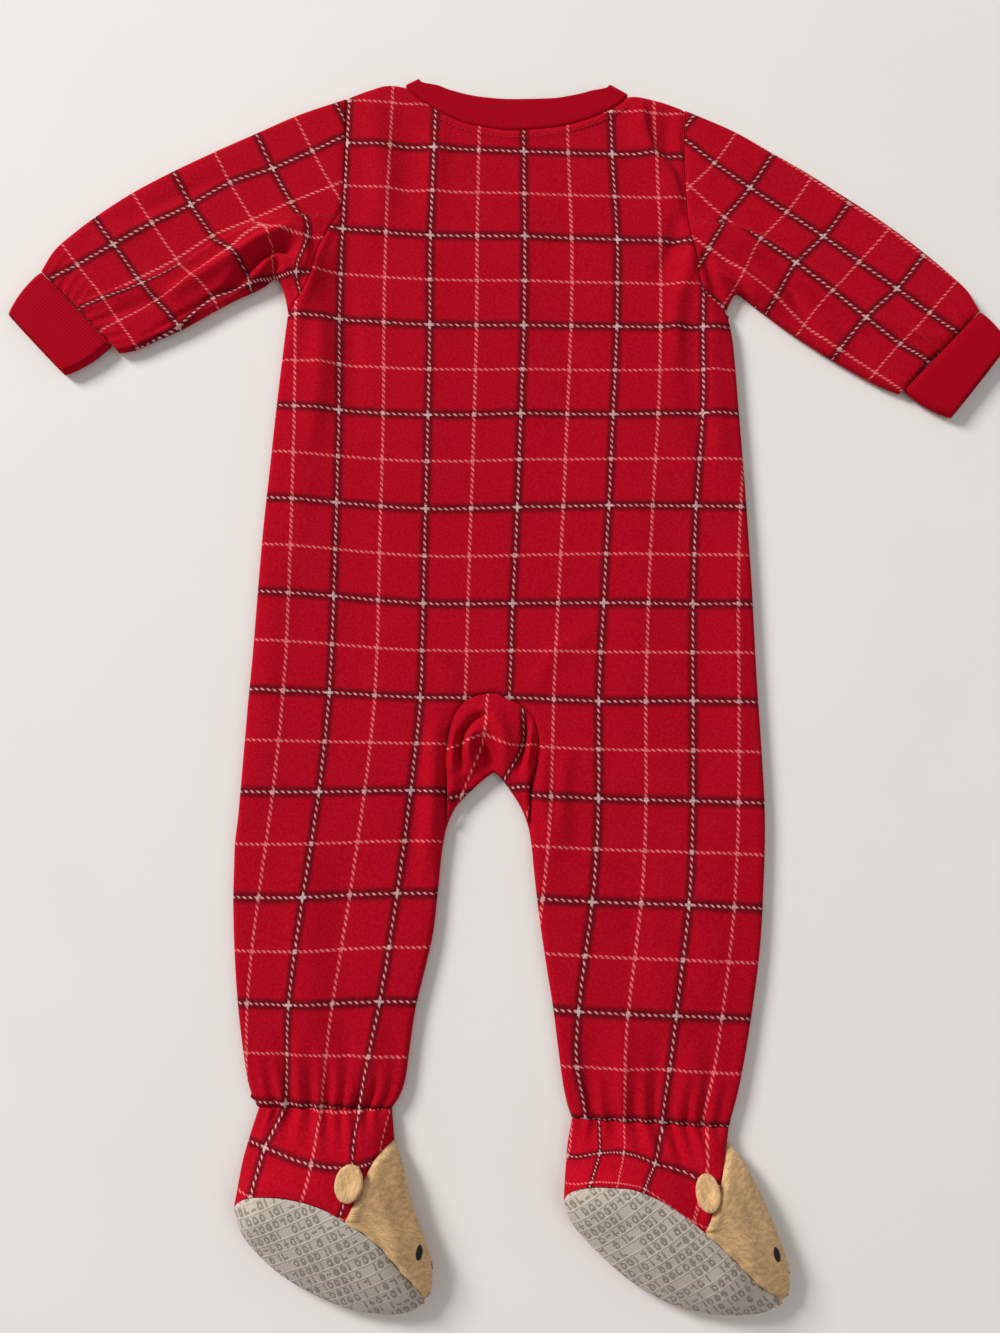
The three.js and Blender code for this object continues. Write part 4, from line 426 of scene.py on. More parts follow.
def shares(points):
    """Each point's share of a polyline's length."""
    steps = np.linalg.norm(np.diff(points, axis=0), axis=1)
    return np.concatenate([[0], np.cumsum(steps)]) / steps.sum()


def thin_plate(table):
    """The plaid's two coordinates as smooth functions of the place: a plane plus r^2 log r round
    each crossing, solved so that each crossing has its own numbers."""
    at, value = table[:, :2] / 50, table[:, 2:]
    n = len(at)

    def kernel(p):
        r2 = ((p[..., None, :] - at) ** 2).sum(-1)
        return r2 * np.log(r2 + 1e-9)

    system = np.zeros((n + 3, n + 3))
    system[:n, :n] = kernel(at) + 2e-3 * np.eye(n)
    system[:n, n] = system[n, :n] = 1
    system[:n, n + 1:], system[n + 1:, :n] = at, at.T
    solved = np.linalg.solve(system, np.vstack([value, np.zeros((3, 2))]))

    def plaid(x, y):
        p = np.stack([x, y], axis=-1).reshape(-1, 2) / 50
        found = kernel(p) @ solved[:n] + solved[n] + p @ solved[n + 1:]
        return found.reshape(np.shape(x) + (2,))

    return plaid


# ---------------------------------------------------------------------------------------------
# How the cloth lies
# ---------------------------------------------------------------------------------------------
def crease_lift(x, y):
    """Height of the soft ridges: for each, height exp(-(away / width)^2), strongest at its middle."""
    lift = np.zeros(np.shape(x))
    for ax, ay, bx, by, width, height in CREASES:
        ux, uy = bx - ax, by - ay
        t = np.clip(((x - ax) * ux + (y - ay) * uy) / (ux * ux + uy * uy), 0, 1)
        away = np.hypot(x - ax - t * ux, y - ay - t * uy) / width
        lift += height * np.exp(-away * away) * (0.45 + 0.55 * np.sin(np.pi * t))
    return lift


def fold_lift(x, y, folds):
    """Heights of folds along curved lines: height exp(-(away / width)^2), with a width for each
    side, strongest midway along."""
    lift = np.zeros(np.shape(x))
    for height, left, right, points in folds:
        line = along(points)(np.linspace(0, 1, 20))
        a, u = line[:-1], np.diff(line, axis=0)
        low, high = line.min(0) - 2.6 * max(left, right), line.max(0) + 2.6 * max(left, right)
        near = (x > low[0]) & (x < high[0]) & (y > low[1]) & (y < high[1])
        px, py = x[near][:, None], y[near][:, None]
        t = np.clip(((px - a[:, 0]) * u[:, 0] + (py - a[:, 1]) * u[:, 1]) / (u ** 2).sum(1), 0, 1)
        dx, dy = px - a[:, 0] - t * u[:, 0], py - a[:, 1] - t * u[:, 1]
        rows, k = np.arange(len(px)), np.hypot(dx, dy).argmin(1)
        dx, dy, share = dx[rows, k], dy[rows, k], (k + t[rows, k]) / len(u)
        width = np.where(u[k, 0] * dy - u[k, 1] * dx > 0, left, right)
        lift[near] += height * np.exp(-(dx * dx + dy * dy) / width ** 2) * (0.3 + 0.7 * np.sin(np.pi * share) ** 0.7)
    return lift


def cloth_height(x, y, folds, side, lift=0.0):
    """Outer side of the cloth: near a fold line it rolls down a quarter circle to the side seam.
    side is 1 for the back, which lies above the seam, and -1 for the front."""
    d, _ = nearest(folds, x, y)
    radius = SEAM if side > 0 else SEAM - GAP
    middle = SEAM if side > 0 else SEAM - GAP
    cos = 1 - np.minimum(d, radius) / radius
    return middle + side * (radius * np.sqrt(1 - cos * cos) + lift * ease(d / 9)), d


ROLL = SEAM * (1 - np.cos(np.radians([0, 18, 36, 54, 72, 90])))
torso_left, torso_middle, torso_right = (curve(TORSO[:, 0], TORSO[:, k]) for k in (1, 2, 3))
leg_outer = {side: curve(table[:, 0], table[:, 1]) for side, table in LEG.items()}
leg_inner = {side: curve(table[:, 0], table[:, 2]) for side, table in LEG.items()}
fork_edge = {side: curve(FORK_EDGE[:, 0], FORK_EDGE[:, k]) for k, side in ((1, "left"), (2, "right"))}
zip_x = curve(ZIP_LINE[:, 0], ZIP_LINE[:, 1])


def zip_edge(y, side):
    """The cloth's edge beside the zip: the chain's line moved sideways by the opening."""
    slope = zip_x(y + 0.5) - zip_x(y - 0.5)
    return zip_x(y) + side * ZIP_EDGE * np.hypot(1, slope)


def fork_inner(side):
    """The front's inner edge: the fold between the legs, then the leg's own edge."""
    last = FORK_EDGE[-1, 0]
    return lambda y: np.where(np.asarray(y) > last, fork_edge[side](y), leg_inner[side](y))


def longer(points, at_start, at_end):
    """A polyline made longer at its two ends."""
    first, last = points[0] - points[1], points[-1] - points[-2]
    first, last = first / np.linalg.norm(first), last / np.linalg.norm(last)
    return np.vstack([points[:1] + first * at_start, points, points[-1:] + last * at_end])


def shoulder_lines():
    y = curve(BACK_NECKLINE[:, 0], BACK_NECKLINE[:, 1])
    lines = []
    for start, end, ends in ((NECK[0], TORSO[0, 1], (1.5, 4)), (TORSO[0, 3], NECK[1], (4, 1.5))):
        x = np.linspace(start, end, 21)
        lines.append(longer(np.stack([x, y(x)], axis=-1), *ends))
    return lines


def side_lines():
    lines = []
    for side, torso in (("left", torso_left), ("right", torso_right)):
        low = ANKLE[side] + min(0, ANKLE_SLOPE[side]) - 1
        down = np.vstack([line_of(torso, UNDERARM_Y, CROTCH_Y, 40),
                          line_of(leg_outer[side], CROTCH_Y, low, 50)[1:]])
        lines.append(longer(down, 4, 1))
    return lines


def arch_line():
    return np.vstack([line_of(leg_inner["left"], ANKLE["left"] - 1, CROTCH_Y, 130),
                      line_of(leg_inner["right"], CROTCH_Y, ANKLE["right"] - 1, 130)[1:]])


def fork_line():
    return np.vstack([line_of(fork_inner("left"), ANKLE["left"] - 1, FORK[1], 110),
                      line_of(fork_inner("right"), FORK[1], ANKLE["right"] - 1, 110)[1:]])


def gather(t, near, sharp=0.0):
    """Pleats across an ankle: a wave of nine, uneven in pitch, that dies away from the elastic."""
    fade = np.sqrt(np.sin(np.pi * np.clip(t, 0, 1)))
    turn = 2 * np.pi * GATHERS * (t + 0.02 * np.sin(9 * t))
    uneven = 1 + 0.3 * np.sin(5.1 * t + 1) * np.sin(13 * t)
    fine = sharp * (0.5 * np.sin(2.07 * turn + 1.1) + 0.35 * np.sin(3.1 * turn + 0.4))
    return near * fade * (0.7 + GATHER_HEIGHT * uneven * np.cos(turn) + fine)


def spread(start, end, n, roll_start, roll_end):
    """Places across rows: close together in a rolled edge, even between. Rows by columns."""
    start, end = np.asarray(start, float)[:, None], np.asarray(end, float)[:, None]
    a = start + (ROLL if roll_start else ROLL[:1])
    b = end - (ROLL[::-1] if roll_end else ROLL[:1])
    t = np.linspace(0, 1, n + 2)[1:-1]
    return np.hstack([a, mix(a[:, -1:], b[:, :1], t), b])


def torso_y(level, x, neckline, reach):
    """A row is level at the side and bends up to the shoulder and down to the neckline."""
    top = curve(neckline[:, 0], neckline[:, 1])
    level = level[:, None]
    fade = np.clip((level - reach) / (SHOULDER_Y - reach), 0, 1) ** 1.5
    left, right = torso_left(level), torso_right(level)
    across = mix(TORSO[0, 1], TORSO[0, 3], (x - left) / (right - left))
    return level + (top(across) - SHOULDER_Y) * fade


def leg_y(level, side, x, inner):
    """A leg's row slants as its ankle seam does, and less the higher it lies."""
    slope = (ANKLE_SLOPE[side] * ease((level + 190) / (ANKLE[side] + 190)))[:, None]
    level = level[:, None]
    return level + slope * (x - inner) / (leg_outer[side](level + slope) - inner)


def leg_span(level, side, inner_edge):
    slope = ANKLE_SLOPE[side] * ease((level + 190) / (ANKLE[side] + 190))
    outer, inner = leg_outer[side](level + slope), inner_edge(level)
    return (outer, inner) if side == "left" else (inner, outer)


def torso_levels(low, step):
    """Levels of the torso's rows, close together in the rolled shoulder."""
    return np.concatenate([SHOULDER_Y - ROLL, np.arange(SHOULDER_Y - SEAM - step, low + 0.4 * step, -step), [low]])


def seam_dip(d, depth, reach):
    """A furrow at a seam: depth exp(-(d / reach)^2)."""
    return depth * np.exp(-(d / reach) ** 2)


# ---------------------------------------------------------------------------------------------
# Meshes
# ---------------------------------------------------------------------------------------------
def block(points, uv, flip=False):
    """A grid of points, rows by columns by 3, in millimetres, with its plaid coordinates."""
    return {"points": np.asarray(points, float), "uv": np.asarray(uv, float), "flip": flip}


def grid_faces(rows, columns, flip):
    i = np.arange(rows * columns).reshape(rows, columns)
    faces = np.stack([i[:-1, :-1], i[1:, :-1], i[1:, 1:], i[:-1, 1:]], axis=-1).reshape(-1, 4)
    return faces[:, ::-1] if flip else faces


def make(name, blocks, material, inside, thickness=0.0, replaces=(), body="root"):
    """One mesh from grids, welded where they share points, turned to face away from inside, with a
    wall laid on its inner side."""
    points, faces, uvs, count = [], [], [], 0
    for part in blocks:
        rows, columns = part["points"].shape[:2]
        points.append(part["points"].reshape(-1, 3))
        uvs.append(part["uv"].reshape(-1, 2))
        faces.append(grid_faces(rows, columns, part["flip"]) + count)
        count += rows * columns
    points, faces, uvs = np.vstack(points), np.vstack(faces), np.vstack(uvs)
    corner = points[faces]
    normal = np.cross(corner[:, 2] - corner[:, 0], corner[:, 3] - corner[:, 1])
    if (normal * (corner.mean(1) - np.asarray(inside, float))).sum() < 0:
        faces = faces[:, ::-1]
    mesh = bpy.data.meshes.new(name)
    mesh.from_pydata(((points - MIDDLE) / 1000).tolist(), [], faces.tolist())
    layer = mesh.uv_layers.new(name="plaid")
    layer.data.foreach_set("uv", uvs[faces.ravel()].ravel())
    shape = bmesh.new()
    shape.from_mesh(mesh)
    bmesh.ops.remove_doubles(shape, verts=shape.verts, dist=2e-6)
    bmesh.ops.dissolve_degenerate(shape, edges=shape.edges, dist=1e-7)
    shape.to_mesh(mesh)
    shape.free()
    mesh.polygons.foreach_set("use_smooth", np.ones(len(mesh.polygons), bool))
    mesh.materials.append(material)
    piece = bpy.data.objects.new(name, mesh)
    bpy.context.scene.collection.objects.link(piece)
    if thickness:
        wall = piece.modifiers.new("wall", "SOLIDIFY")
        wall.thickness, wall.offset = thickness / 1000, -1
    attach(piece, body)
    if replaces:
        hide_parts(*replaces)
    return piece


# ---------------------------------------------------------------------------------------------
# Finishes
# ---------------------------------------------------------------------------------------------
class Shade:
    """Builds one procedural material, sum by sum. A value is a number or a node's socket."""

    def __init__(self, name, roughness, sheen=0.0, sheen_roughness=0.5, sheen_tint=(1, 1, 1), metallic=0.0,
                 specular=0.2):
        self.material = bpy.data.materials.new(name)
        self.material.use_nodes = True
        self.tree = self.material.node_tree
        self.shader = self.tree.nodes["Principled BSDF"]
        self.shader.inputs["Roughness"].default_value = roughness
        self.shader.inputs["Metallic"].default_value = metallic
        self.shader.inputs["Sheen Weight"].default_value = sheen
        self.shader.inputs["Sheen Roughness"].default_value = sheen_roughness
        self.shader.inputs["Sheen Tint"].default_value = (*sheen_tint, 1)
        self.shader.inputs["Specular IOR Level"].default_value = specular

    def join(self, value, socket):
        if isinstance(value, bpy.types.NodeSocket):
            self.tree.links.new(value, socket)
        else:
            socket.default_value = value

    def math(self, operation, *values, clamp=False):
        node = self.tree.nodes.new("ShaderNodeMath")
        node.operation, node.use_clamp = operation, clamp
        for value, socket in zip(values, node.inputs):
            self.join(value, socket)
        return node.outputs[0]

    def add(self, a, b): return self.math("ADD", a, b)
    def sub(self, a, b): return self.math("SUBTRACT", a, b)
    def mul(self, a, b): return self.math("MULTIPLY", a, b)
    def most(self, a, b): return self.math("MAXIMUM", a, b)
    def least(self, a, b): return self.math("MINIMUM", a, b)
    def size(self, a): return self.math("ABSOLUTE", a)
    def sine(self, a): return self.math("SINE", a)

    def ramp(self, value, start, end, low=0.0, high=1.0):
        """From low at start to high at end, eased."""
        node = self.tree.nodes.new("ShaderNodeMapRange")
        node.interpolation_type = "SMOOTHSTEP"
        for given, socket in zip((value, start, end, low, high), node.inputs):
            self.join(given, socket)
        return node.outputs[0]

    def from_line(self, value, pitch, shift=0.0):
        """Signed way to the nearest whole number, after a shift, in millimetres."""
        moved = self.sub(value, shift) if shift else value
        return self.mul(self.sub(moved, self.math("ROUND", moved)), pitch)

    def place(self):
        """The place on the part, in millimetres."""
        node = self.tree.nodes.new("ShaderNodeTexCoord")
        scale = self.tree.nodes.new("ShaderNodeVectorMath")
        scale.operation = "SCALE"
        scale.inputs["Scale"].default_value = 1000
        self.tree.links.new(node.outputs["Object"], scale.inputs[0])
        return scale.outputs[0]

    def uv(self, name="plaid"):
        node = self.tree.nodes.new("ShaderNodeUVMap")
        node.uv_map = name
        parts = self.tree.nodes.new("ShaderNodeSeparateXYZ")
        self.tree.links.new(node.outputs[0], parts.inputs[0])
        return parts.outputs[0], parts.outputs[1]

    def vector(self, x, y, z=0.0):
        node = self.tree.nodes.new("ShaderNodeCombineXYZ")
        for value, socket in zip((x, y, z), node.inputs):
            self.join(value, socket)
        return node.outputs[0]

    def noise(self, at, scale, detail=2.0, roughness=0.5, stretch=None):
        """Noise from 0 to 1, scale in turns for each millimetre."""
        if stretch:
            node = self.tree.nodes.new("ShaderNodeMapping")
            self.tree.links.new(at, node.inputs["Vector"])
            node.inputs["Scale"].default_value = stretch
            at = node.outputs[0]
        node = self.tree.nodes.new("ShaderNodeTexNoise")
        self.tree.links.new(at, node.inputs["Vector"])
        node.inputs["Scale"].default_value = scale
        node.inputs["Detail"].default_value = detail
        node.inputs["Roughness"].default_value = roughness
        return node.outputs[0]

    def cells(self, at, scale, what="Distance"):
        node = self.tree.nodes.new("ShaderNodeTexVoronoi")
        self.tree.links.new(at, node.inputs["Vector"])
        node.inputs["Scale"].default_value = scale
        return node.outputs[what]

    def chance(self, at):
        node = self.tree.nodes.new("ShaderNodeTexWhiteNoise")
        node.noise_dimensions = "3D"
        self.tree.links.new(at, node.inputs["Vector"])
        return node.outputs["Value"]

    def blend(self, share, a, b):
        node = self.tree.nodes.new("ShaderNodeMix")
        node.data_type = "RGBA"
        self.join(share, node.inputs["Factor"])
        for value, name in ((a, "A"), (b, "B")):
            sockets = [s for s in node.inputs if s.name == name and s.type == "RGBA"]
            self.join(value if isinstance(value, bpy.types.NodeSocket) else (*value, 1), sockets[0])
        return next(s for s in node.outputs if s.type == "RGBA")

    def finish(self, colour, height=None, distance=0.0006, strength=0.6, roughness=None):
        """Joins colour, and height as bump of that depth in metres."""
        self.tree.links.new(colour, self.shader.inputs["Base Color"])
        if roughness is not None:
            self.tree.links.new(roughness, self.shader.inputs["Roughness"])
        if height is not None:
            bump = self.tree.nodes.new("ShaderNodeBump")
            bump.inputs["Strength"].default_value = strength
            bump.inputs["Distance"].default_value = distance
            self.tree.links.new(height, bump.inputs["Height"])
            self.tree.links.new(bump.outputs[0], self.shader.inputs["Normal"])
        return self.material


def rope(s, across, run, half, period, lean, share):
    """A twisted thread: slanted dashes along a line, soft at its sides."""
    turn = s.math("FRACT", s.add(s.mul(run, 1 / period), s.mul(across, lean)))
    from_middle = s.size(s.sub(turn, 0.5))
    dash = s.ramp(from_middle, share + 0.08, share - 0.08)
    return s.mul(dash, s.ramp(s.size(across), half + 0.22, half - 0.22))


def plaid_fleece(name, colours, pitch=(52.0, 54.0)):
    """Brushed fleece: red with soft black bands that carry a white twisted thread, thin pink threads
    midway between, a white cross where two bands meet, fuzz flecks and a fine nap."""
    s = Shade(name, 0.96, sheen=0.04, sheen_roughness=0.4, sheen_tint=(1.0, 0.15, 0.2), specular=0.05)
    u, v = s.uv()
    at = s.place()
    fuzz = s.noise(at, 1.9, 3, 0.65)
    fine = s.noise(at, 0.75, 2)
    mottle = s.noise(at, 0.05, 3, 0.6)
    flecks = s.ramp(s.noise(at, 2.6, 1), 0.70, 0.80)
    wander = s.mul(s.sub(s.noise(at, 0.16, 2), 0.5), 0.9)
    bu, bv = s.add(s.from_line(u, pitch[0]), wander), s.add(s.from_line(v, pitch[1]), wander)
    tu = s.add(s.from_line(u, pitch[0], 0.5), wander)
    tv = s.add(s.from_line(v, pitch[1], 0.5), wander)
    run_u, run_v = s.mul(v, pitch[1]), s.mul(u, pitch[0])

    def band(way):
        edge = s.add(s.size(way), s.mul(s.sub(fuzz, 0.5), 1.8))
        return s.ramp(edge, 4.3, 1.5)

    band_u, band_v = band(bu), band(bv)
    both = s.mul(band_u, band_v)
    grain = s.ramp(s.noise(at, 1.1, 2, 0.7), 0.28, 0.62, 0.34, 0.80)
    dark = s.most(s.mul(s.most(band_u, band_v), grain), s.mul(both, 0.97))
    white = s.most(rope(s, bu, run_u, 0.66, 3.6, 0.34, 0.205), rope(s, bv, run_v, 0.60, 3.5, 0.34, 0.205))
    pink = s.most(rope(s, tu, run_u, 0.84, 3.2, 0.35, 0.26), rope(s, tv, run_v, 0.70, 3.1, 0.4, 0.26))
    cross_arm = s.most(s.mul(s.ramp(s.size(bu), 0.95, 0.55), s.ramp(s.size(bv), 2.5, 1.7)),
                       s.mul(s.ramp(s.size(bv), 0.95, 0.55), s.ramp(s.size(bu), 2.5, 1.7)))
    thin_black = s.most(s.mul(s.ramp(s.size(tu), 1.5, 0.8), s.ramp(s.size(bv), 1.5, 0.8)),
                        s.mul(s.ramp(s.size(tv), 1.5, 0.8), s.ramp(s.size(bu), 1.5, 0.8)))
    thin_thin = s.mul(s.ramp(s.size(tu), 1.4, 0.6), s.ramp(s.size(tv), 1.4, 0.6))
    worn = s.ramp(s.noise(at, 0.9, 2, 0.7), 0.3, 0.56, 0.38, 1.0)
    white = s.mul(s.most(white, s.most(cross_arm, s.mul(thin_black, 0.85))), worn)
    pink = s.mul(s.most(pink, thin_thin), worn)
    red = s.blend(mottle, colours["deep"], colours["red"])
    red = s.blend(s.mul(s.ramp(fine, 0.3, 0.75), 0.35), red, colours["bright"])
    red = s.blend(s.mul(flecks, 0.35), red, colours["fleck"])
    colour = s.blend(dark, red, colours["black"])
    colour = s.blend(s.mul(pink, 0.85), colour, colours["pink"])
    rope_white = s.blend(s.ramp(s.noise(at, 0.6, 1), 0.35, 0.65), colours["white"], colours["pale"])
    colour = s.blend(s.mul(white, 0.92), colour, rope_white)
    height = s.add(s.mul(fuzz, 0.55), s.add(s.mul(fine, 0.5), s.mul(s.add(white, pink), 0.35)))
    return s.finish(colour, height, 0.0007, 0.55)


def rib_knit(name, colours):
    """Rib knit: fine ribs across the band's run, each a soft ridge, with the stitches as small steps; painted shade
    darkens the valleys between the ribs.
    """
    s = Shade(name, 0.94, sheen=0.04, sheen_roughness=0.4, sheen_tint=(1.0, 0.2, 0.25), specular=0.06)
    u, v = s.uv()
    at = s.place()
    ridge = s.sine(s.mul(u, 2 * np.pi / 1.45))
    stitch = s.sine(s.mul(s.add(v, s.mul(s.size(s.from_line(s.mul(u, 1 / 1.45), 1.45)), 0.8)), 2 * np.pi / 1.1))
    mottle = s.noise(at, 0.08, 2)
    fuzz = s.noise(at, 2.2, 2, 0.6)
    red = s.blend(mottle, colours["deep"], colours["red"])
    # Painted shade: the valleys between the ribs are drawn towards the dark red
    red = s.blend(s.ramp(ridge, -1, 1, 0.10, 0.0), red, colours["dark"])
    red = s.blend(s.mul(s.ramp(fuzz, 0.5, 0.8), 0.3), red, colours["bright"])
    height = s.add(s.mul(ridge, 0.3), s.add(s.mul(stitch, 0.16), s.mul(fuzz, 0.45)))
    return s.finish(red, height, 0.0004, 0.5)


def plush(name, colours):
    """Short tan pile: fine fibres drawn out along the nap, in clumps that catch the light unevenly; that light and
    shade is painted into the colour.
    """
    s = Shade(name, 0.95, sheen=0.5, sheen_roughness=0.4, sheen_tint=(1.0, 0.9, 0.75))
    u, v = s.uv()
    at = s.place()
    flow = s.vector(u, v)
    fibre = s.noise(flow, 1.0, 3, 0.7, stretch=(3.0, 0.55, 1))
    clump = s.noise(flow, 0.35, 2, 0.6, stretch=(1.6, 0.7, 1))
    grain = s.noise(at, 1.6, 2, 0.7)
    # Painted light and shade: clumps pass from the shade colour to tan, fibres are drawn lighter as painted highlights,
    # and the grain's low spots get painted shade
    tan = s.blend(s.ramp(clump, 0.3, 0.7), colours["shade"], colours["tan"])
    tan = s.blend(s.ramp(fibre, 0.45, 0.75, 0.0, 0.7), tan, colours["light"])
    tan = s.blend(s.ramp(grain, 0.30, 0.45, 0.35, 0.0), tan, colours["shade"])
    height = s.add(s.mul(fibre, 0.7), s.add(s.mul(grain, 0.4), s.mul(clump, 0.5)))
    return s.finish(tan, height, 0.0011, 0.8)


def grip_knit(name, colours):
    """Thick pale knit with rows of small raised grip marks: dots and short bars in uneven turns."""
    s = Shade(name, 0.85, sheen=0.15)
    u, v = s.uv()
    at = s.place()
    pitch, row = 4.2, 5.8
    u = s.add(u, s.mul(s.sub(s.noise(at, 0.35, 2), 0.5), 1.3))
    v = s.add(v, s.mul(s.sub(s.noise(at, 0.28, 2), 0.5), 1.1))
    line = s.math("FLOOR", s.mul(v, 1 / row))
    across = s.sub(s.mul(v, 1 / row), s.add(line, 0.5))
    slide = s.add(s.mul(u, 1 / pitch), s.mul(s.chance(s.vector(line, 3.0)), 5.0))
    column = s.math("FLOOR", slide)
    run = s.sub(slide, s.add(column, 0.5))
    pick = [s.chance(s.vector(line, column, n)) for n in (1.0, 2.0, 3.0, 4.0)]
    from_ring = s.math("SQRT", s.add(s.math("POWER", s.math("DIVIDE", s.size(run), 0.31), 2.0),
                                     s.math("POWER", s.math("DIVIDE", s.size(across), 0.34), 2.0)))
    ring = s.ramp(s.size(s.sub(from_ring, 0.82)), 0.5, 0.16)
    shift = s.ramp(pick[3], 0.2, 0.8, -0.24, 0.24)
    stem = s.mul(s.ramp(s.size(s.sub(run, shift)), 0.19, 0.05), s.ramp(s.size(across), 0.42, 0.34))
    bar = s.mul(s.ramp(s.size(s.sub(across, s.mul(shift, 0.8))), 0.16, 0.05), s.ramp(s.size(run), 0.38, 0.3))
    on = [s.math("GREATER_THAN", p, limit) for p, limit in zip(pick, (0.5, 0.28, 0.55))]
    mark = s.most(s.mul(ring, on[0]), s.most(s.mul(stem, on[1]), s.mul(bar, on[2])))
    mark = s.mul(mark, s.ramp(s.noise(at, 1.3, 2), 0.24, 0.5, 0.35, 1.0))
    between = s.ramp(s.size(across), 0.38, 0.49)
    loop = s.mul(s.sine(s.mul(u, 2 * np.pi / 0.95)), s.sine(s.mul(v, 2 * np.pi / 1.1)))
    grain = s.noise(at, 1.2, 3, 0.7)
    tone = s.blend(s.noise(at, 0.06, 2), colours["shade"], colours["pale"])
    tone = s.blend(s.ramp(grain, 0.35, 0.6, 0.35, 0.0), tone, colours["shade"])
    tone = s.blend(s.mul(mark, 0.82), tone, colours["mark"])
    height = s.add(s.add(s.mul(loop, 0.2), s.mul(grain, 0.6)), s.add(s.mul(mark, 0.5), s.mul(between, 0.8)))
    return s.finish(tone, height, 0.0006, 0.6)


def satin_thread(name, colour, light):
    """Close satin stitches: fine parallel threads with a low gloss, each thread's crest painted lighter as a painted
    highlight.
    """
    s = Shade(name, 0.6, sheen=0.05)
    u, v = s.uv()
    thread = s.sine(s.mul(u, 2 * np.pi / 0.42))
    # Painted highlight: each thread is drawn lighter towards its crest
    tone = s.blend(s.ramp(thread, 0.2, 1.0, 0.0, 0.5), colour, light)
    return s.finish(tone, s.add(thread, s.mul(s.noise(s.place(), 2.0), 0.4)), 0.0002, 0.5)


def woven_tape(name, colours):
    """Zip tape: a close herringbone of fine threads, with painted shade between them and a painted highlight on their
    crests.
    """
    s = Shade(name, 0.75, sheen=0.15)
    u, v = s.uv()
    at = s.place()
    weave = s.sine(s.mul(s.add(v, s.mul(s.size(s.from_line(s.mul(u, 0.5), 2.0)), 1.0)), 2 * np.pi / 0.7))
    # Painted shade in the weave's hollows and a painted highlight on its crests
    tone = s.blend(s.ramp(weave, -0.4, 1.0, 0.0, 0.45), colours["deep"], colours["red"])
    return s.finish(tone, s.add(weave, s.noise(at, 1.5)), 0.0002, 0.5)


def lacquer(name, colour, worn):
    """Enamelled metal: even colour, rubbed paler in small spots, with a soft gloss."""
    s = Shade(name, 0.35, metallic=0.35, specular=0.5)
    at = s.place()
    rubbed = s.ramp(s.noise(at, 0.7, 3, 0.7), 0.62, 0.75)
    tone = s.blend(s.mul(rubbed, 0.5), colour, worn)
    rough = s.ramp(s.noise(at, 1.2, 2), 0.3, 0.7, 0.28, 0.48)
    return s.finish(tone, s.noise(at, 3.0), 0.00008, 0.3, rough)


def floor_finish(name, colour, shade):
    """Matt pale surface with a barely uneven tone."""
    s = Shade(name, 0.9)
    at = s.place()
    return s.finish(s.blend(s.noise(at, 0.01, 2), shade, colour), s.noise(at, 0.5, 3), 0.0002, 0.15)


FINISHES = {}


def finishes():
    """Every finish, made once from the garment's own colours."""
    if FINISHES:
        return FINISHES
    c = bpy.context.scene.sleeper_colours
    red, pink, black = np.array(c.red), np.array(c.pink), tuple(c.black)
    fleece = {
        "red": tuple(red), "deep": tuple(red * 0.82), "bright": tuple(np.minimum(red * 1.25 + 0.01, 1)),
        "fleck": tuple(mix(red, pink, 0.5)), "black": black, "pink": tuple(pink),
        "white": tuple(c.white), "pale": tuple(mix(pink, np.array(c.white), 0.45)),
    }
    # The rib's dark colour is painted shade for the valleys between its ribs
    rib = {"red": tuple(red * 0.92), "deep": tuple(red * 0.78), "dark": tuple(red * 0.5), "bright": tuple(red * 1.2)}
    tan, pale = np.array(c.tan), np.array(c.sole)
    FINISHES.update({
        "fleece": plaid_fleece("fleece", fleece),
        "rib": rib_knit("rib", rib),
        # Plush: its shade and light colours are painted shade and painted highlight
        "plush": plush("plush", {"tan": tuple(tan), "shade": tuple(tan * 0.62), "light": tuple(np.minimum(tan * 1.45, 1))}),
        "sole": grip_knit("sole", {"pale": tuple(pale), "shade": tuple(pale * 0.7), "mark": tuple(c.mark)}),
        # Tape: the deep colour is painted shade between the threads
        "tape": woven_tape("tape", {"red": tuple(red * 0.9), "deep": tuple(red * 0.6)}),
        "lacquer": lacquer("lacquer", tuple(red * 0.8), (0.55, 0.5, 0.5)),
        # The second colour of each satin thread is its painted highlight
        "eye": satin_thread("eye", (0.004, 0.0035, 0.0035), (0.014, 0.013, 0.013)),
        "thread": satin_thread("thread", tuple(red * 0.85), tuple(np.minimum(red * 1.5 + 0.02, 1))),
        "tan_thread": satin_thread("tan_thread", tuple(tan * 0.8), tuple(tan)),
    })
    return FINISHES


# ---------------------------------------------------------------------------------------------
# The garment's pieces
# ---------------------------------------------------------------------------------------------
class Layout:
    """Shapes that several pieces share, worked out once."""
    body = None

    @classmethod
    def plaid(cls, x, y):
        if cls.body is None:
            cls.body = staticmethod(thin_plate(BODY_PLAID))
        return cls.body(x, y)


def leg_rows(side, step):
    """Levels of a leg's rows: close under the crotch, where the arch is flat, and at the gathers."""
    near = CROTCH_Y - np.array([0, 0.12, 0.3, 0.55, 0.9, 1.4, 2.1, 3, 4.2, 5.6, 7.2, 9, 11, 13.2, 15.5])
    middle = np.arange(near[-1] - step, ANKLE[side] + 26, -step)
    low = np.linspace(middle[-1], ANKLE[side], 21)[1:]
    return np.concatenate([near, middle, low])


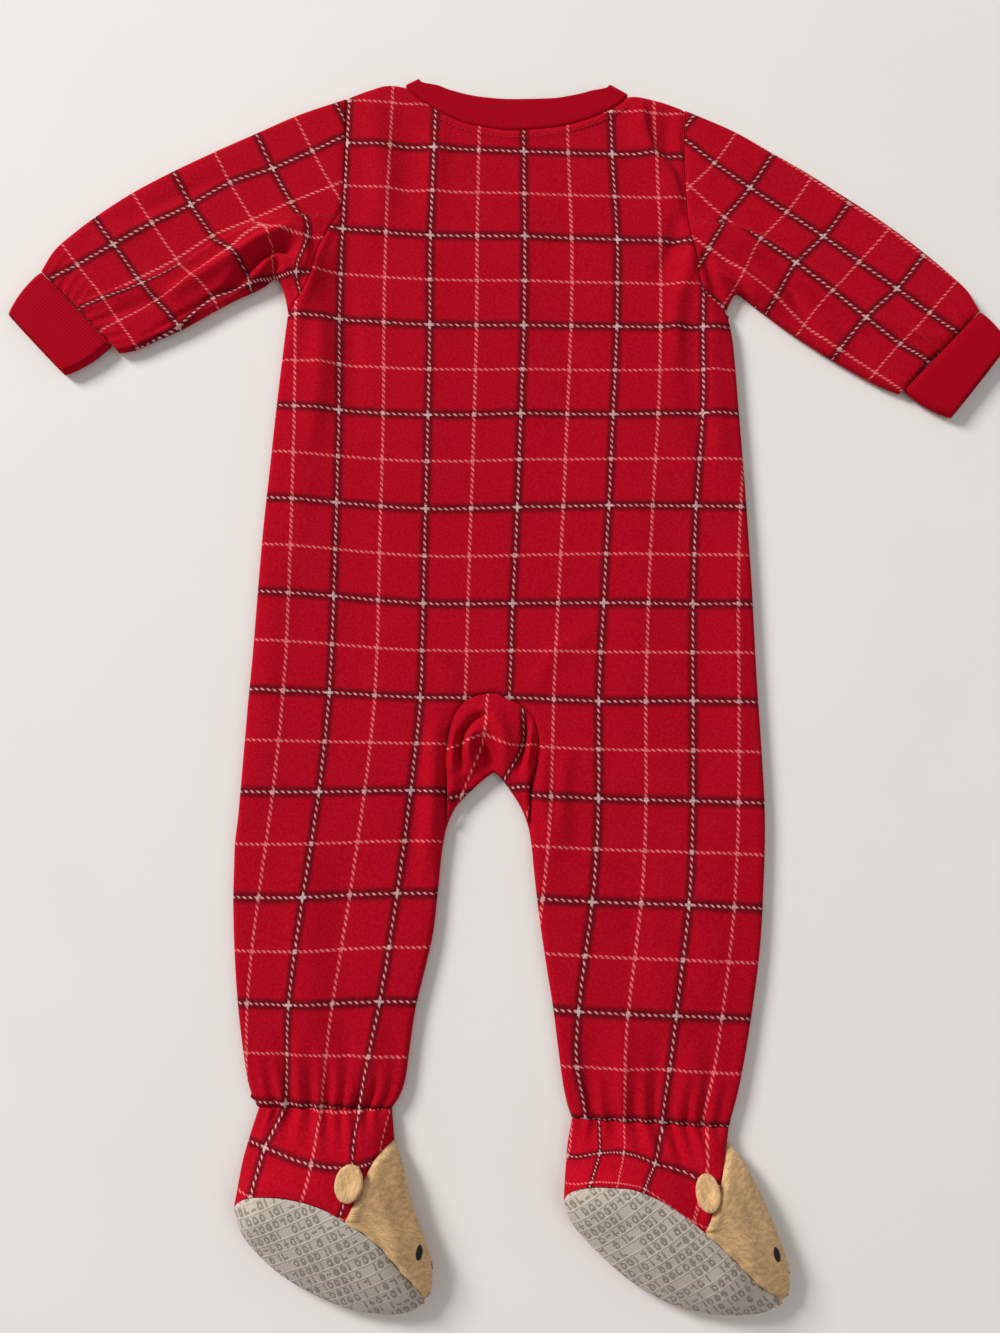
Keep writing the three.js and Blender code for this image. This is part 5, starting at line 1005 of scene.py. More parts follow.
def back_piece(step):
    """The back: torso, then both legs. Rows run across it at levels, each from edge to edge. Height
    is the roll at the folds plus ridges, gathers at the ankles and a furrow at each seam."""
    folds = [*shoulder_lines(), *side_lines(), arch_line()]
    n = int(118 / step)
    level = torso_levels(CROTCH_Y, step)
    left, middle, right = torso_left(level), torso_middle(level), torso_right(level)
    x = np.hstack([spread(left, middle, n, True, False), spread(middle, right, n, False, True)[:, 1:]])
    y = torso_y(level, x, BACK_NECKLINE, 230)

    def surface(x, y, extra=0.0, ankle_d=None):
        lift = crease_lift(x, y) + fold_lift(x, y, FOLDS["body"]) + extra
        z, _ = cloth_height(x, y, folds, 1, lift)
        neck = curve(BACK_NECKLINE[:, 0], BACK_NECKLINE[:, 1])
        inside = (x > NECK[0] - 1) & (x < NECK[1] + 1)
        below = neck(x) - y
        z = z + np.where(inside, 0.5 * ease((6.2 - below) / 1.2) - seam_dip(below, 0.9, 1.3), 0)
        hem = np.where(x < 0, x - torso_left(y), torso_right(y) - x)
        z = z - np.where((y > 212) & (hem < 12), seam_dip(hem, 0.8, 1.7), 0)
        if ankle_d is not None:
            z = z - seam_dip(ankle_d, 0.15, 1.4)
        return np.stack([x, y, np.maximum(z, SEAM)], axis=-1)

    blocks = [block(surface(x, y), Layout.plaid(x, y))]
    for side in ("left", "right"):
        level = leg_rows(side, step)
        span = leg_span(level, side, leg_inner[side])
        columns = spread(*span, n, side == "left", side == "right")
        rolled = spread(*span, n - len(ROLL) + 1, True, True)
        x = mix(columns, rolled, ease((CROTCH_Y - level) / 14)[:, None])
        y = leg_y(level, side, x, leg_inner[side](level)[:, None])
        t = (x - span[0][:, None]) / (span[1] - span[0])[:, None]
        above = (level - ANKLE[side])[:, None]
        near = ease(1 - above / 40)
        extra = gather(t, near, 0.45) * (1 + 0.5 * near)
        blocks.append(block(surface(x, y, extra, np.broadcast_to(above, x.shape)), Layout.plaid(x, y)))
    return blocks


def front_pieces(step):
    """The two fronts, flat on the surface, parted by the zip: the right one takes the inner half of
    the left leg too."""
    folds = [*shoulder_lines(), *side_lines(), fork_line()]
    made = {}

    def surface(x, y):
        z, _ = cloth_height(x, y, folds, -1)
        return np.stack([x, y, np.maximum(z, 0)], axis=-1)

    high = torso_levels(CROTCH_Y, step)
    zip_at = lambda level, way: zip_edge(np.minimum(level, 296), way)
    n = int(110 / step)
    x = spread(torso_left(high), zip_at(high, -1), n, True, False)
    y = torso_y(high, x, FRONT_NECKLINE, 180)
    low = np.linspace(CROTCH_Y, ANKLE["left"], int(220 / step))
    outer = leg_span(low, "left", leg_inner["left"])[0]
    xl = spread(outer, zip_at(low, -1), n, True, False)
    yl = leg_y(low, "left", xl, leg_inner["left"](low)[:, None])
    x, y = np.vstack([x, xl[1:]]), np.vstack([y, yl[1:]])
    made["left"] = [block(surface(x, y), Layout.plaid(x, y))]

    down = np.linspace(CROTCH_Y, FORK[1], int(43 / step) + 2)[1:]
    level = np.concatenate([high, down])
    right = np.concatenate([torso_right(high), leg_outer["right"](down)])
    split = np.interp(level, [FORK[1], 60, 340], [FORK[0], 25, 40])
    x = np.hstack([spread(zip_at(level, 1), split, n // 2, False, False),
                   spread(split, right, n, False, True)[:, 1:]])
    y = torso_y(level, x, FRONT_NECKLINE, 180)
    made["right"] = [block(surface(x, y), Layout.plaid(x, y))]
    for side in ("left", "right"):
        low = np.concatenate([FORK[1] - np.array([0, 0.2, 0.5, 1, 1.7, 2.6, 4, 6, 8.5]),
                              np.arange(FORK[1] - 8.5 - step, ANKLE[side] + 1, -step), [ANKLE[side]]])
        start, end = leg_span(low, side, fork_inner(side))
        if side == "left":
            plain = spread(zip_at(low, 1), end, n // 2, False, False)
            rolled = spread(zip_at(low, 1), end, n // 2 - len(ROLL) + 1, False, True)
        else:
            plain = spread(start, end, n, False, True)
            rolled = spread(start, end, n - len(ROLL) + 1, True, True)
        x = mix(plain, rolled, ease((FORK[1] - low) / 14)[:, None])
        y = leg_y(low, side, x, fork_inner(side)(low)[:, None])
        made["right"].append(block(surface(x, y), Layout.plaid(x, y)))
    return made


def gusset_piece():
    """The bunched gusset: rows from the arch's edge to the fold between the legs. Two lobes with a
    deep furrow between them, each a soft round ridge, and a curl at the left."""
    left = np.concatenate([[-84, -76, -70, -64], np.linspace(-58, -17.5, 30)])
    right = np.concatenate([np.linspace(-19, -58, 30), [-64, -70, -76, -84]])
    arch = np.vstack([np.stack([leg_inner["left"](left), left], -1), [(torso_middle(CROTCH_Y), CROTCH_Y)],
                      np.stack([leg_inner["right"](right), right], -1)])
    share = ease(np.minimum(np.arange(len(arch)), np.arange(len(arch))[::-1]) / 9)[:, None]
    outer = along(mix(aside(arch, -SEAM_CLEAR), aside(arch, 0.6), share))
    fork = np.vstack([line_of(fork_edge["left"], -86.5, FORK[1], 24), line_of(fork_edge["right"], FORK[1], -86.5, 24)[1:]])
    inner = along(fork)
    q = np.linspace(0, 1, 120)[:, None]
    t = np.concatenate([np.linspace(0, 0.9, 40), 1 - 0.1 * np.cos(np.linspace(0, np.pi / 2, 9))[1:]])[None, :]
    a, b = outer(q[:, 0])[:, None, :], inner(q[:, 0])[:, None, :]
    p = mix(a, b, t[..., None])
    width = np.linalg.norm(a - b, axis=-1)
    roll = np.minimum(1, (1 - t) * width / 3)
    room = np.clip(width / 25, 0, 1)
    ridge = 2.6 * np.sin(np.pi * np.minimum(1, t * 1.15)) * room
    x, y = p[..., 0], p[..., 1]
    z = 4.3 + 1.7 * np.sqrt(1 - (1 - roll) ** 2) + ridge + 1.5 * fold_lift(x, y, FOLDS["gusset"]) * room
    points = np.stack([x, y, np.maximum(z, 3.4)], axis=-1)
    return [block(points, thin_plate(GUSSET_PLAID)(x, y))]


def sleeve_surface(side):
    """The sleeve laid flat: a sheet between its upper fold, its under fold, the armhole and the wrist."""
    edge = torso_left if side == "left" else torso_right
    way = -1 if side == "left" else 1
    level = np.concatenate([[SHOULDER_Y], np.arange(336, UNDERARM_Y, -4), [UNDERARM_Y]])
    neckline = curve(BACK_NECKLINE[:, 0], BACK_NECKLINE[:, 1])
    drop = neckline(TORSO[0, 1] if side == "left" else TORSO[0, 3]) - SHOULDER_Y
    fade = np.clip((level - 230) / (SHOULDER_Y - 230), 0, 1) ** 1.5
    seam = np.stack([edge(level), level + drop * fade], axis=-1)
    armhole_line = aside(seam, way * SEAM_CLEAR)
    start = curve((SHOULDER_Y - level) / (SHOULDER_Y - UNDERARM_Y), armhole_line[:, 0])
    start_y = curve((SHOULDER_Y - level) / (SHOULDER_Y - UNDERARM_Y), armhole_line[:, 1])
    over = along(np.vstack([armhole_line[:1], SLEEVE[side]["over"]]))
    under = along(np.vstack([armhole_line[-1:], SLEEVE[side]["under"]]))

    def sheet(s, w):
        s, w = s[..., None], w[..., None]
        a, b = over(s[..., 0]), under(s[..., 0])
        armhole = np.stack([start(w[..., 0]), start_y(w[..., 0])], axis=-1)
        wrist = mix(over(1.0), under(1.0), w)
        p = a * (1 - w) + b * w + armhole * (1 - s) + wrist * s
        corner = armhole_line[0] * (1 - s) * (1 - w) + armhole_line[-1] * (1 - s) * w
        return p - corner - over(1.0) * s * (1 - w) - under(1.0) * s * w

    def place(s, w):
        """The sheet, straight across its outermost twentieths, so that no row crosses a fold."""
        inner = np.clip(w, 0.05, 0.95)
        return mix(sheet(s, inner), sheet(s, np.round(w)), (np.abs(w - inner) / 0.05)[..., None])

    return place, over, under


def tube(place, s, w, middle, lift):
    """A flattened tube: over the top from the upper fold to the under fold and back beneath. Its
    height is a half circle near each fold and flat between. s by w, top then bottom."""
    grid_s, grid_w = np.meshgrid(s, w, indexing="ij")
    p = place(grid_s, grid_w)
    width = np.linalg.norm(p[:, -1] - p[:, 0], axis=-1)[:, None]
    d = np.minimum(grid_w, 1 - grid_w) * width
    cos = np.maximum(0, 1 - d / middle)
    sin = np.sqrt(1 - cos * cos)
    top = middle + middle * sin + lift(p[..., 0], p[..., 1], grid_s, d) * ease(d / 9)
    low = middle - middle * sin
    top = np.maximum(top, middle + 0.4 * sin)
    upper = np.concatenate([p, top[..., None]], axis=-1)
    lower = np.concatenate([p, low[..., None]], axis=-1)
    return upper, lower


EDGE_SHARES = np.array([0, 0.0015, 0.0055, 0.012, 0.02, 0.029])


def sleeve_piece(side, columns, rows):
    place, over, under = sleeve_surface(side)
    w = np.concatenate([EDGE_SHARES, np.linspace(0.029, 0.971, columns)[1:-1], 1 - EDGE_SHARES[::-1]])
    s = np.concatenate([[0, 0.006, 0.013, 0.021], np.linspace(0.03, 0.97, rows), [0.98, 0.988, 0.994, 1]])
    pleat = curve(PLEAT[side][:, 0], PLEAT[side][:, 1])
    length, step = 190.0, 1.7 if side == "left" else 1.0

    def lift(x, y, s, d):
        off = pleat(x) - y
        fold = step * np.exp(-np.maximum(off, 0) / 11) * ease(off / 1.4)
        near = ease(s / 0.1) * ease((1 - s) / 0.04)
        wrist = 0.35 * ease(1 - (1 - s) / 0.16) * np.sin(2 * np.pi * (6.3 * d / 40 + 0.1 * np.sin(d / 5)))
        return (crease_lift(x, y) + fold_lift(x, y, FOLDS[side]) + fold * near + wrist
                - seam_dip(s * length, 0.8, 1.7) - seam_dip((1 - s) * length, 1.4, 2.0))

    upper, lower = tube(place, s, w, TOP / 2, lift)
    above, below = (thin_plate(SLEEVE_PLAID[side][key]) for key in ("above", "below"))
    x, y = upper[..., 0], upper[..., 1]
    top_uv = np.where((y > pleat(x))[..., None], above(x, y), below(x, y))
    at_fold = above(x[:, :1], y[:, :1])
    low_uv = above(x, y)
    low_uv[..., 0] = 2 * at_fold[..., 0] - low_uv[..., 0]
    return [block(upper, top_uv), block(lower, low_uv)]


def cuff_piece(side):
    """The cuff: a flattened tube of rib from the wrist seam to the folded end, which rounds over.
    Its width swells between, because the seam draws the sleeve in."""
    row = SLEEVE[side]
    a, b = np.array(row["over"][-1], float), np.array(row["under"][-1], float)
    way = (b - a) / np.linalg.norm(b - a)
    out = np.array([way[1], -way[0]]) * (SEAM_CLEAR + 0.04) * (1 if side == "left" else -1)
    start = [a + way * row["cuff_inset"][0] + out, b - way * row["cuff_inset"][1] + out]
    end = [np.array(p, float) for p in row["cuff_end"]]

    def place(s, w):
        swell = 2.2 * np.sin(np.pi * np.clip(s, 0, 1)) ** 0.7
        first = mix(start[0], end[0], s[..., None]) - way * swell[..., None]
        last = mix(start[1], end[1], s[..., None]) + way * swell[..., None]
        return mix(first, last, w[..., None])

    w = np.concatenate([EDGE_SHARES * 1.8, np.linspace(0.0522, 0.9478, 60)[1:-1], 1 - EDGE_SHARES[::-1] * 1.8])
    s = np.concatenate([[0, 0.012, 0.03, 0.05], np.linspace(0.07, 0.93, 26), [0.955, 0.975, 0.99, 1]])
    run = np.linalg.norm(end[0] - start[0])
    middle = (TOP + 0.8) / 2
    upper, lower = tube(place, s, w, middle, lambda x, y, s, d: 0 * x)
    left = np.minimum((1 - s) * run, 1.6) / 1.6
    shrink = (0.62 + 0.38 * np.sqrt(1 - (1 - left) ** 2)) * (1 - 0.18 * np.exp(-(s * run / 1.6) ** 2))
    for surface in (upper, lower):
        surface[..., 2] = middle + (surface[..., 2] - middle) * shrink[:, None]
    axis = (end[0] + end[1] - start[0] - start[1]) / 2
    axis /= np.linalg.norm(axis)
    for surface, shift in ((upper, -1.1), (lower, 0.5)):
        surface[..., :2] += axis * (shift * ease((s - 0.6) / 0.4)[:, None] * np.sin(np.pi * w) ** 0.4)[..., None]
    across = np.linspace(0, 1, len(w))[None, :] * 50 + 0 * s[:, None]
    uv = np.stack([across, s[:, None] * run + 0 * across], axis=-1)
    return [block(upper, uv), block(lower, uv)]


def band_piece():
    """The neckband: one strip of folded rib from the zip round the neck to the zip again, turned
    over at both shoulders. Its section is a flat loop, round at the seam and at the fold."""
    steps = 22
    xs = np.linspace(NECK[0], NECK[1], steps + 1)
    back_y, front_y = (curve(t[:, 0], t[:, 1]) for t in (BACK_NECKLINE, FRONT_NECKLINE))
    back_seam, front_seam = (aside(np.stack([xs, y(xs)], -1), SEAM_CLEAR) for y in (back_y, front_y))
    back_edge, front_edge = along(BAND_BACK_EDGE), along(BAND_FRONT_EDGE)
    share_back, share_front = shares(back_seam), shares(front_seam)
    turn = (TOP - RIB) / 2
    half = RIB / 2
    loop = np.radians(np.arange(0, 180, 20))
    v = np.concatenate([np.linspace(0.08, 0.9, 12), 0.9 + 0.1 * np.sin(loop[1:-1]), np.linspace(0.9, 0.08, 12),
                        0.08 - 0.08 * np.sin(loop[1:-1]), [0.08]])
    n = np.concatenate([np.ones(12), np.cos(loop[1:-1]), -np.ones(12), -np.cos(loop[1:-1]), [1]])

    def section(seam, edge, angle, outward):
        normal = np.array([*(np.asarray(outward) * np.cos(angle)), np.sin(angle)])
        p = mix(np.append(seam, 0), np.append(edge, 0), v[:, None])
        p[:, :2] += np.asarray(outward) * turn * np.cos(angle)
        p[:, 2] = SEAM + turn * np.sin(angle)
        return p + normal * n[:, None] * half

    def front_rows(side):
        middle = zip_edge(296.0, -1) - 1.2 if side == "left" else zip_edge(296.0, 1) + 1.2
        keep = [i for i in range(steps + 1) if (i > 1 and xs[i] < middle - 2 if side == "left"
                                                else i < steps - 1 and xs[i] > middle + 2)]
        rows = [section(front_seam[i], front_edge(share_front[i]), -np.pi / 2, (0, 0)) for i in keep]
        y = float(front_y(middle))
        end = section(np.array([middle, y + SEAM_CLEAR]), np.array([middle, y + 21]), -np.pi / 2, (0, 0))
        return [*(rows if side == "left" else rows[::-1]), end]

    def fold_rows(side):
        seam = back_seam[0 if side == "left" else steps]
        peak = np.array(BAND_PEAK[side])
        way = (peak - seam) / np.linalg.norm(peak - seam)
        outward = np.array([-way[1], way[0]]) * (1 if side == "left" else -1)
        offset = turn + half
        start, end = seam - outward * offset + way * 2, peak - outward * offset
        rows = [section(start, end, a, outward) for a in np.radians([-90, -60, -30, 0, 30, 60, 90])]
        return rows if side == "left" else rows[::-1]

    backs = [section(back_seam[i], back_edge(share_back[i]), np.pi / 2, (0, 0)) for i in range(2, steps - 1)]
    rows = np.array([*front_rows("left")[::-1], *fold_rows("left"), *backs, *fold_rows("right"), *front_rows("right")])
    centre = rows.mean(1)
    moved = np.concatenate([[0], np.cumsum(np.linalg.norm(np.diff(rows[:, 5], axis=0), axis=1)
                                           + 0.2 * np.linalg.norm(np.diff(centre, axis=0), axis=1))])
    t = np.linspace(0, moved[-1], 300)
    flat = rows.reshape(len(rows), -1)
    dense = np.stack([curve(moved, column)(t) for column in flat.T], axis=-1).reshape(300, -1, 3)
    mid = dense.mean(1, keepdims=True)
    ends = [mix(mid, dense, f)[k] for k, f in ((0, 0.02), (0, 0.6), (-1, 0.6), (-1, 0.02))]
    dense = np.concatenate([[ends[0], ends[1]], dense, [ends[2], ends[3]]])
    run = np.concatenate([[0, 0], t, t[-1:], t[-1:]])
    uv = np.stack([np.broadcast_to(run[:, None], dense.shape[:2]), np.broadcast_to(v * 18, dense.shape[:2])], -1)
    return [block(dense, uv)]


def foot_surfaces(side):
    """Upper, sole and toe cap of a foot as functions: the upper is a tube between the ankle and the
    seams, the sole a crowned sheet between its seam and its rim, the cap a sheet over the toes."""
    f = FEET[side]

    def p3(*parts):
        rows = []
        for part in parts:
            for q in ([part] if np.ndim(part) == 1 else part):
                rows.append((*q, SEAM) if len(q) == 2 else tuple(q))
        return np.array(rows, float)

    rounds = [p3(f["ankle"][0], f["heel_side"], f["heel"]), p3(f["heel"], f["rim_heel"], f["rim_corner"]),
              p3(f["rim_corner"], f["rim_toe"], f["toe"]), p3(f["toe"], f["outline"][::-1], f["apex"]),
              p3(f["apex"], f["ankle"][1])]
    outline = [along(part)(np.linspace(0, 1, 31)) for part in rounds]

    def under(p):
        """Underside: rolls up to the outline, flat on the surface, with room over the hidden ear."""
        d, edge = nearest(outline, p[..., 0], p[..., 1])
        near = d < edge
        roll = np.where(near, edge - np.sqrt(np.maximum(edge ** 2 - (edge - d) ** 2, 0)), 0)
        far = np.hypot(p[..., 0] - f["ear_under"][0], p[..., 1] - f["ear_under"][1])
        room = EAR_UNDER["room"] * (1 - ease((far - EAR_UNDER["flat"]) / (EAR_UNDER["reach"] - EAR_UNDER["flat"])))
        q = p.copy()
        q[..., 2] = np.maximum(roll, room)
        return q

    heel_shares = [0, 0.06, 0.16, 0.3, 0.46, 0.63, 0.81, 1]
    toe_shares = [0, 0.18, 0.38, 0.58, 0.78, 0.92, 1]
    cap_shares = [0, 0.05, 0.2, 0.44, 0.7, 0.9, 1]
    cut = lambda points, at: along(points)(np.array(at))
    seam_heel = cut(p3(f["heel"], f["sole_seam"], f["sole_corner"]), heel_shares)
    seam_toe = cut(p3(f["sole_corner"], f["toe_seam"], f["toe"]), toe_shares)
    cap_top = cut(p3(f["sole_corner"], f["cap_edge"], f["apex"]), cap_shares)
    rim_heel = cut(p3(f["heel"], f["rim_heel"], f["rim_corner"]), heel_shares)
    rim_toe = cut(p3(f["rim_corner"], f["rim_toe"], f["toe"]), toe_shares)
    cap_low = cut(p3(f["rim_corner"], [(x, y, 0) for x, y in f["cap_under"]], f["apex"]), cap_shares)
    cap_low[1:-1] = under(cap_low[1:-1])

    a, b = p3(f["ankle"])
    heel_side, apex_side = along(p3(f["ankle"][0], f["heel_side"], f["heel"])), along(p3(f["ankle"][1], f["apex"]))
    top_end, low_end = along(np.vstack([seam_heel, cap_top[1:]])), along(np.vstack([rim_heel, cap_low[1:]]))

    def ankle(face, u):
        p = mix(a, b, u[..., None])
        d = np.minimum(u, 1 - u) * np.linalg.norm(b - a)
        cos = np.maximum(0, 1 - d / SEAM)
        lift = gather(u, 1.0) * ease(d / 9) if face > 0 else 0
        p[..., 2] = SEAM + face * SEAM * np.sqrt(1 - cos * cos) + lift
        return p

    def sheet(start, end, s, w):
        s1, w1 = s[..., None], w[..., None]
        p = heel_side(s) * (1 - w1) + apex_side(s) * w1 + start * (1 - s1) + end * s1
        return (p - a * (1 - s1) * (1 - w1) - b * (1 - s1) * w1
                - heel_side(1.0) * s1 * (1 - w1) - apex_side(1.0) * s1 * w1)

    def upper_top(s, w):
        p = sheet(ankle(1, w), top_end(w), s, w)
        swell = 3.2 * np.sin(np.pi * s) * np.sin(np.pi * w)
        wave = (gather(w, 1.0) - 0.7) * (ease(1 - s * 1.7) - (1 - s)) * np.sin(np.pi * np.clip(s, 0, 1)) ** 0.3
        p[..., 2] += swell + wave
        return p

    def upper_low(s, w):
        p = sheet(ankle(-1, w), low_end(w), s, w)
        inner = ((s > 0) & (s < 1))[..., None]
        return np.where(inner, under(p), p)

    seam = by_index(np.vstack([seam_heel, seam_toe[1:]]))
    rim = by_index(np.vstack([rim_heel, rim_toe[1:]]))
    cap_seam = by_index(np.vstack([cap_top[::-1], seam_toe[1:]]))
    cap_below = by_index(np.vstack([cap_low[::-1], rim_toe[1:]]))
    cap_outline = along(p3(f["apex"], f["outline"], f["toe"]))
    return {"upper_top": upper_top, "upper_low": upper_low, "seam": seam, "rim": rim, "cap_seam": cap_seam,
            "cap_below": cap_below, "cap_outline": cap_outline, "under": under}


def upper_piece(side, surfaces):
    """The plaid upper as one tube. Puckers run down from the ankle, and it tucks in at its seams."""
    s = np.concatenate([[0, 0.02, 0.045], np.linspace(0.08, 0.92, 40), [0.95, 0.975, 0.992, 1]])
    w = np.concatenate([[0, 0.004, 0.012, 0.024, 0.04], np.linspace(0.055, 0.945, 118), [0.96, 0.976, 0.988, 0.996, 1]])
    grid_s, grid_w = np.meshgrid(s, w, indexing="ij")
    top = surfaces["upper_top"](grid_s, grid_w)
    near = ease(1 - grid_s * 2.4) * np.sin(np.pi * grid_w) ** 0.5
    top[..., 2] += 0.25 * near * gather(grid_w, 1.0, 0.8) - seam_dip(grid_s * 40, 0.15, 1.4) * np.sin(np.pi * grid_w) ** 0.4
    inner = np.sin(np.pi * w) ** 0.4
    top[0, :, 1] += 0.6 * inner
    top[0, :, 2] -= 0.5 * inner
    top[..., 2] -= seam_dip((1 - grid_s) * 40, 1.5, 2.2) * np.sin(np.pi * grid_w) ** 0.4
    low = surfaces["upper_low"](grid_s, grid_w)
    plaid = thin_plate(FOOT_PLAID[side])
    uv = plaid(top[..., 0], top[..., 1])
    low_uv = plaid(low[..., 0], low[..., 1])
    low_uv[..., 0] = 2 * uv[:, :1, 0] - low_uv[..., 0]
    return [block(top, uv), block(low, low_uv, True)]


def sole_piece(side, surfaces):
    """The padded sole: between rim and seam it crowns as sin^0.8, and both edges round over."""
    q = np.concatenate([[0, 0.01, 0.025], np.linspace(0.045, 0.955, 70), [0.975, 0.99, 1]])
    v = np.concatenate([[0, 0.012, 0.03, 0.055, 0.085], np.linspace(0.12, 0.88, 36), [0.915, 0.945, 0.97, 0.988, 1]])
    grid_q, grid_v = np.meshgrid(q, v, indexing="ij")
    rim, seam = surfaces["rim"](grid_q), surfaces["seam"](grid_q)
    width = np.linalg.norm(seam - rim, axis=-1)
    p = mix(rim, seam, grid_v[..., None])
    crown = SOLE_CROWN * np.sin(np.pi * grid_v) ** 0.8 * np.minimum(1, width / 30)
    p[..., 2] += crown
    ends = np.clip(np.minimum(width / 20, 1), 0, 1)
    way = np.gradient(rim[:, 0], axis=0)
    way = way / np.maximum(np.linalg.norm(way, axis=-1, keepdims=True), 1e-9)
    p[..., 2] += 0.35 * np.sin(grid_q * 31) * np.sin(np.pi * grid_v) ** 4 * ends
    f = FEET[side]
    heel = np.array(f["heel"])
    turn = np.radians(f["row_turn"])
    run, up = np.array([np.cos(turn), np.sin(turn), 0]), np.array([-np.sin(turn), np.cos(turn), 0])
    uv = np.stack([(p - heel) @ run, (p - heel) @ up], axis=-1)
    return [block(p, uv)]


def cap_piece(side, surfaces):
    """The plush toe cap: from the seam over the toe's outline and back beneath, with small tucks
    where it meets the sole."""
    q = np.concatenate([[0, 0.02], np.linspace(0.05, 0.95, 60), [0.975, 1]])
    v = np.concatenate([[0, 0.02, 0.05, 0.09], np.linspace(0.14, 1, 34)])
    grid_q, grid_v = np.meshgrid(q, v, indexing="ij")
    edge = surfaces["cap_outline"](grid_q)
    start, end = surfaces["cap_seam"](grid_q), surfaces["cap_below"](grid_q)
    over = mix(start, edge, grid_v[..., None])
    over[..., 2] = edge[..., 2] + (start[..., 2] - edge[..., 2]) * np.cos(grid_v * np.pi / 2) ** 0.8
    width = np.linalg.norm(start - edge, axis=-1)
    tuck = 0.5 * np.sin(grid_q * 74) * np.exp(-(grid_v * width / 5) ** 2) * np.clip(width / 12, 0, 1)
    puff = 1.1 * np.exp(-((grid_v * width - 4) / 3.2) ** 2) * np.clip(width / 12, 0, 1)
    x, y = over[..., 0], over[..., 1]
    over[..., 2] += fold_lift(x, y, CAP_FOLDS[side]) * ease(grid_v * width / 5) * np.minimum(1, width / 12)
    over[..., 2] += tuck + puff - seam_dip(grid_v * width, 0.7, 1.2) * np.clip(width / 12, 0, 1)
    beneath = mix(edge, end, grid_v[..., None])
    inner = ((grid_v > 0) & (grid_v < 1))[..., None]
    beneath = np.where(inner, surfaces["under"](beneath), beneath)
    fade = np.minimum(np.linalg.norm(end - edge, axis=-1) / 6, 1)[..., None]
    beneath = np.where(inner, mix(mix(edge, end, grid_v[..., None]), beneath, fade), beneath)
    size = 40.0
    uv = np.stack([grid_q * size * 2, grid_v * width], axis=-1)
    low_uv = np.stack([grid_q * size * 2, width + grid_v * 20], axis=-1)
    return [block(over, uv), block(beneath, low_uv)]


def ear_piece(place, normal, half_width, half_length, thick, turn):
    """A padded round ear: a domed disc with a turned seam round its rim and a soft dent within it."""
    rings = np.array([(0.0, 0.1), (0.2, 0.14), (0.4, 0.26), (0.6, 0.43), (0.76, 0.5), (0.9, 0.44), (0.97, 0.3),
                      (1.0, 0.06), (1.0, -0.06), (0.97, -0.3), (0.9, -0.44), (0.78, -0.5), (0.5, -0.5), (0.0, -0.5)])
    angle = np.linspace(0, 2 * np.pi, 49)
    radius, height = rings[:, 0, None], rings[:, 1, None]
    x, y = radius * half_width * np.cos(angle), radius * half_length * np.sin(angle)
    z = height * thick + 0.12 * radius * np.sin(7 * angle + 2 * radius) * (height > 0)
    z[0], z[-1] = z[0].mean(), z[-1].mean()
    c, s = np.cos(np.radians(turn)), np.sin(np.radians(turn))
    local = np.stack([x * c - y * s, x * s + y * c, z], axis=-1)
    normal = np.asarray(normal, float) / np.linalg.norm(normal)
    side = np.cross((0, 0, 1), normal)
    if np.linalg.norm(side) > 1e-6:
        side = side / np.linalg.norm(side)
        cos, sin = normal[2], np.sqrt(1 - normal[2] ** 2)
        dot = (local @ side)[..., None] * side
        local = local * cos + np.cross(side, local) * sin + dot * (1 - cos)
    uv = np.stack([x, y], axis=-1)
    return [block(local + place, uv)]


def ear_place(upper_top, x, y):
    """Finds the point of the upper above a place in plan, and the way out of the cloth there."""
    s, w = 0.6, 0.75
    at = lambda s, w: upper_top(np.array([s]), np.array([w]))[0]
    for _ in range(60):
        p = at(s, w)
        ds, dw = at(s + 0.01, w) - p, at(s, w + 0.01) - p
        det = ds[0] * dw[1] - ds[1] * dw[0]
        ex, ey = x - p[0], y - p[1]
        s = float(np.clip(s + 0.005 * (ex * dw[1] - ey * dw[0]) / det, 0, 1))
        w = float(np.clip(w + 0.005 * (ds[0] * ey - ds[1] * ex) / det, 0, 1))
    p = at(s, w)
    normal = np.cross(at(s, w + 0.03) - p, at(max(0, s - 0.03), w) - p)
    normal /= np.linalg.norm(normal)
    return p, normal if normal[2] > 0 else -normal


EARS = {"left": ((-77, -270.3), 7.3, 9.3, -8, 1.0), "right": ((106.4, -275), 6.2, 9.4, 6, 0.5)}


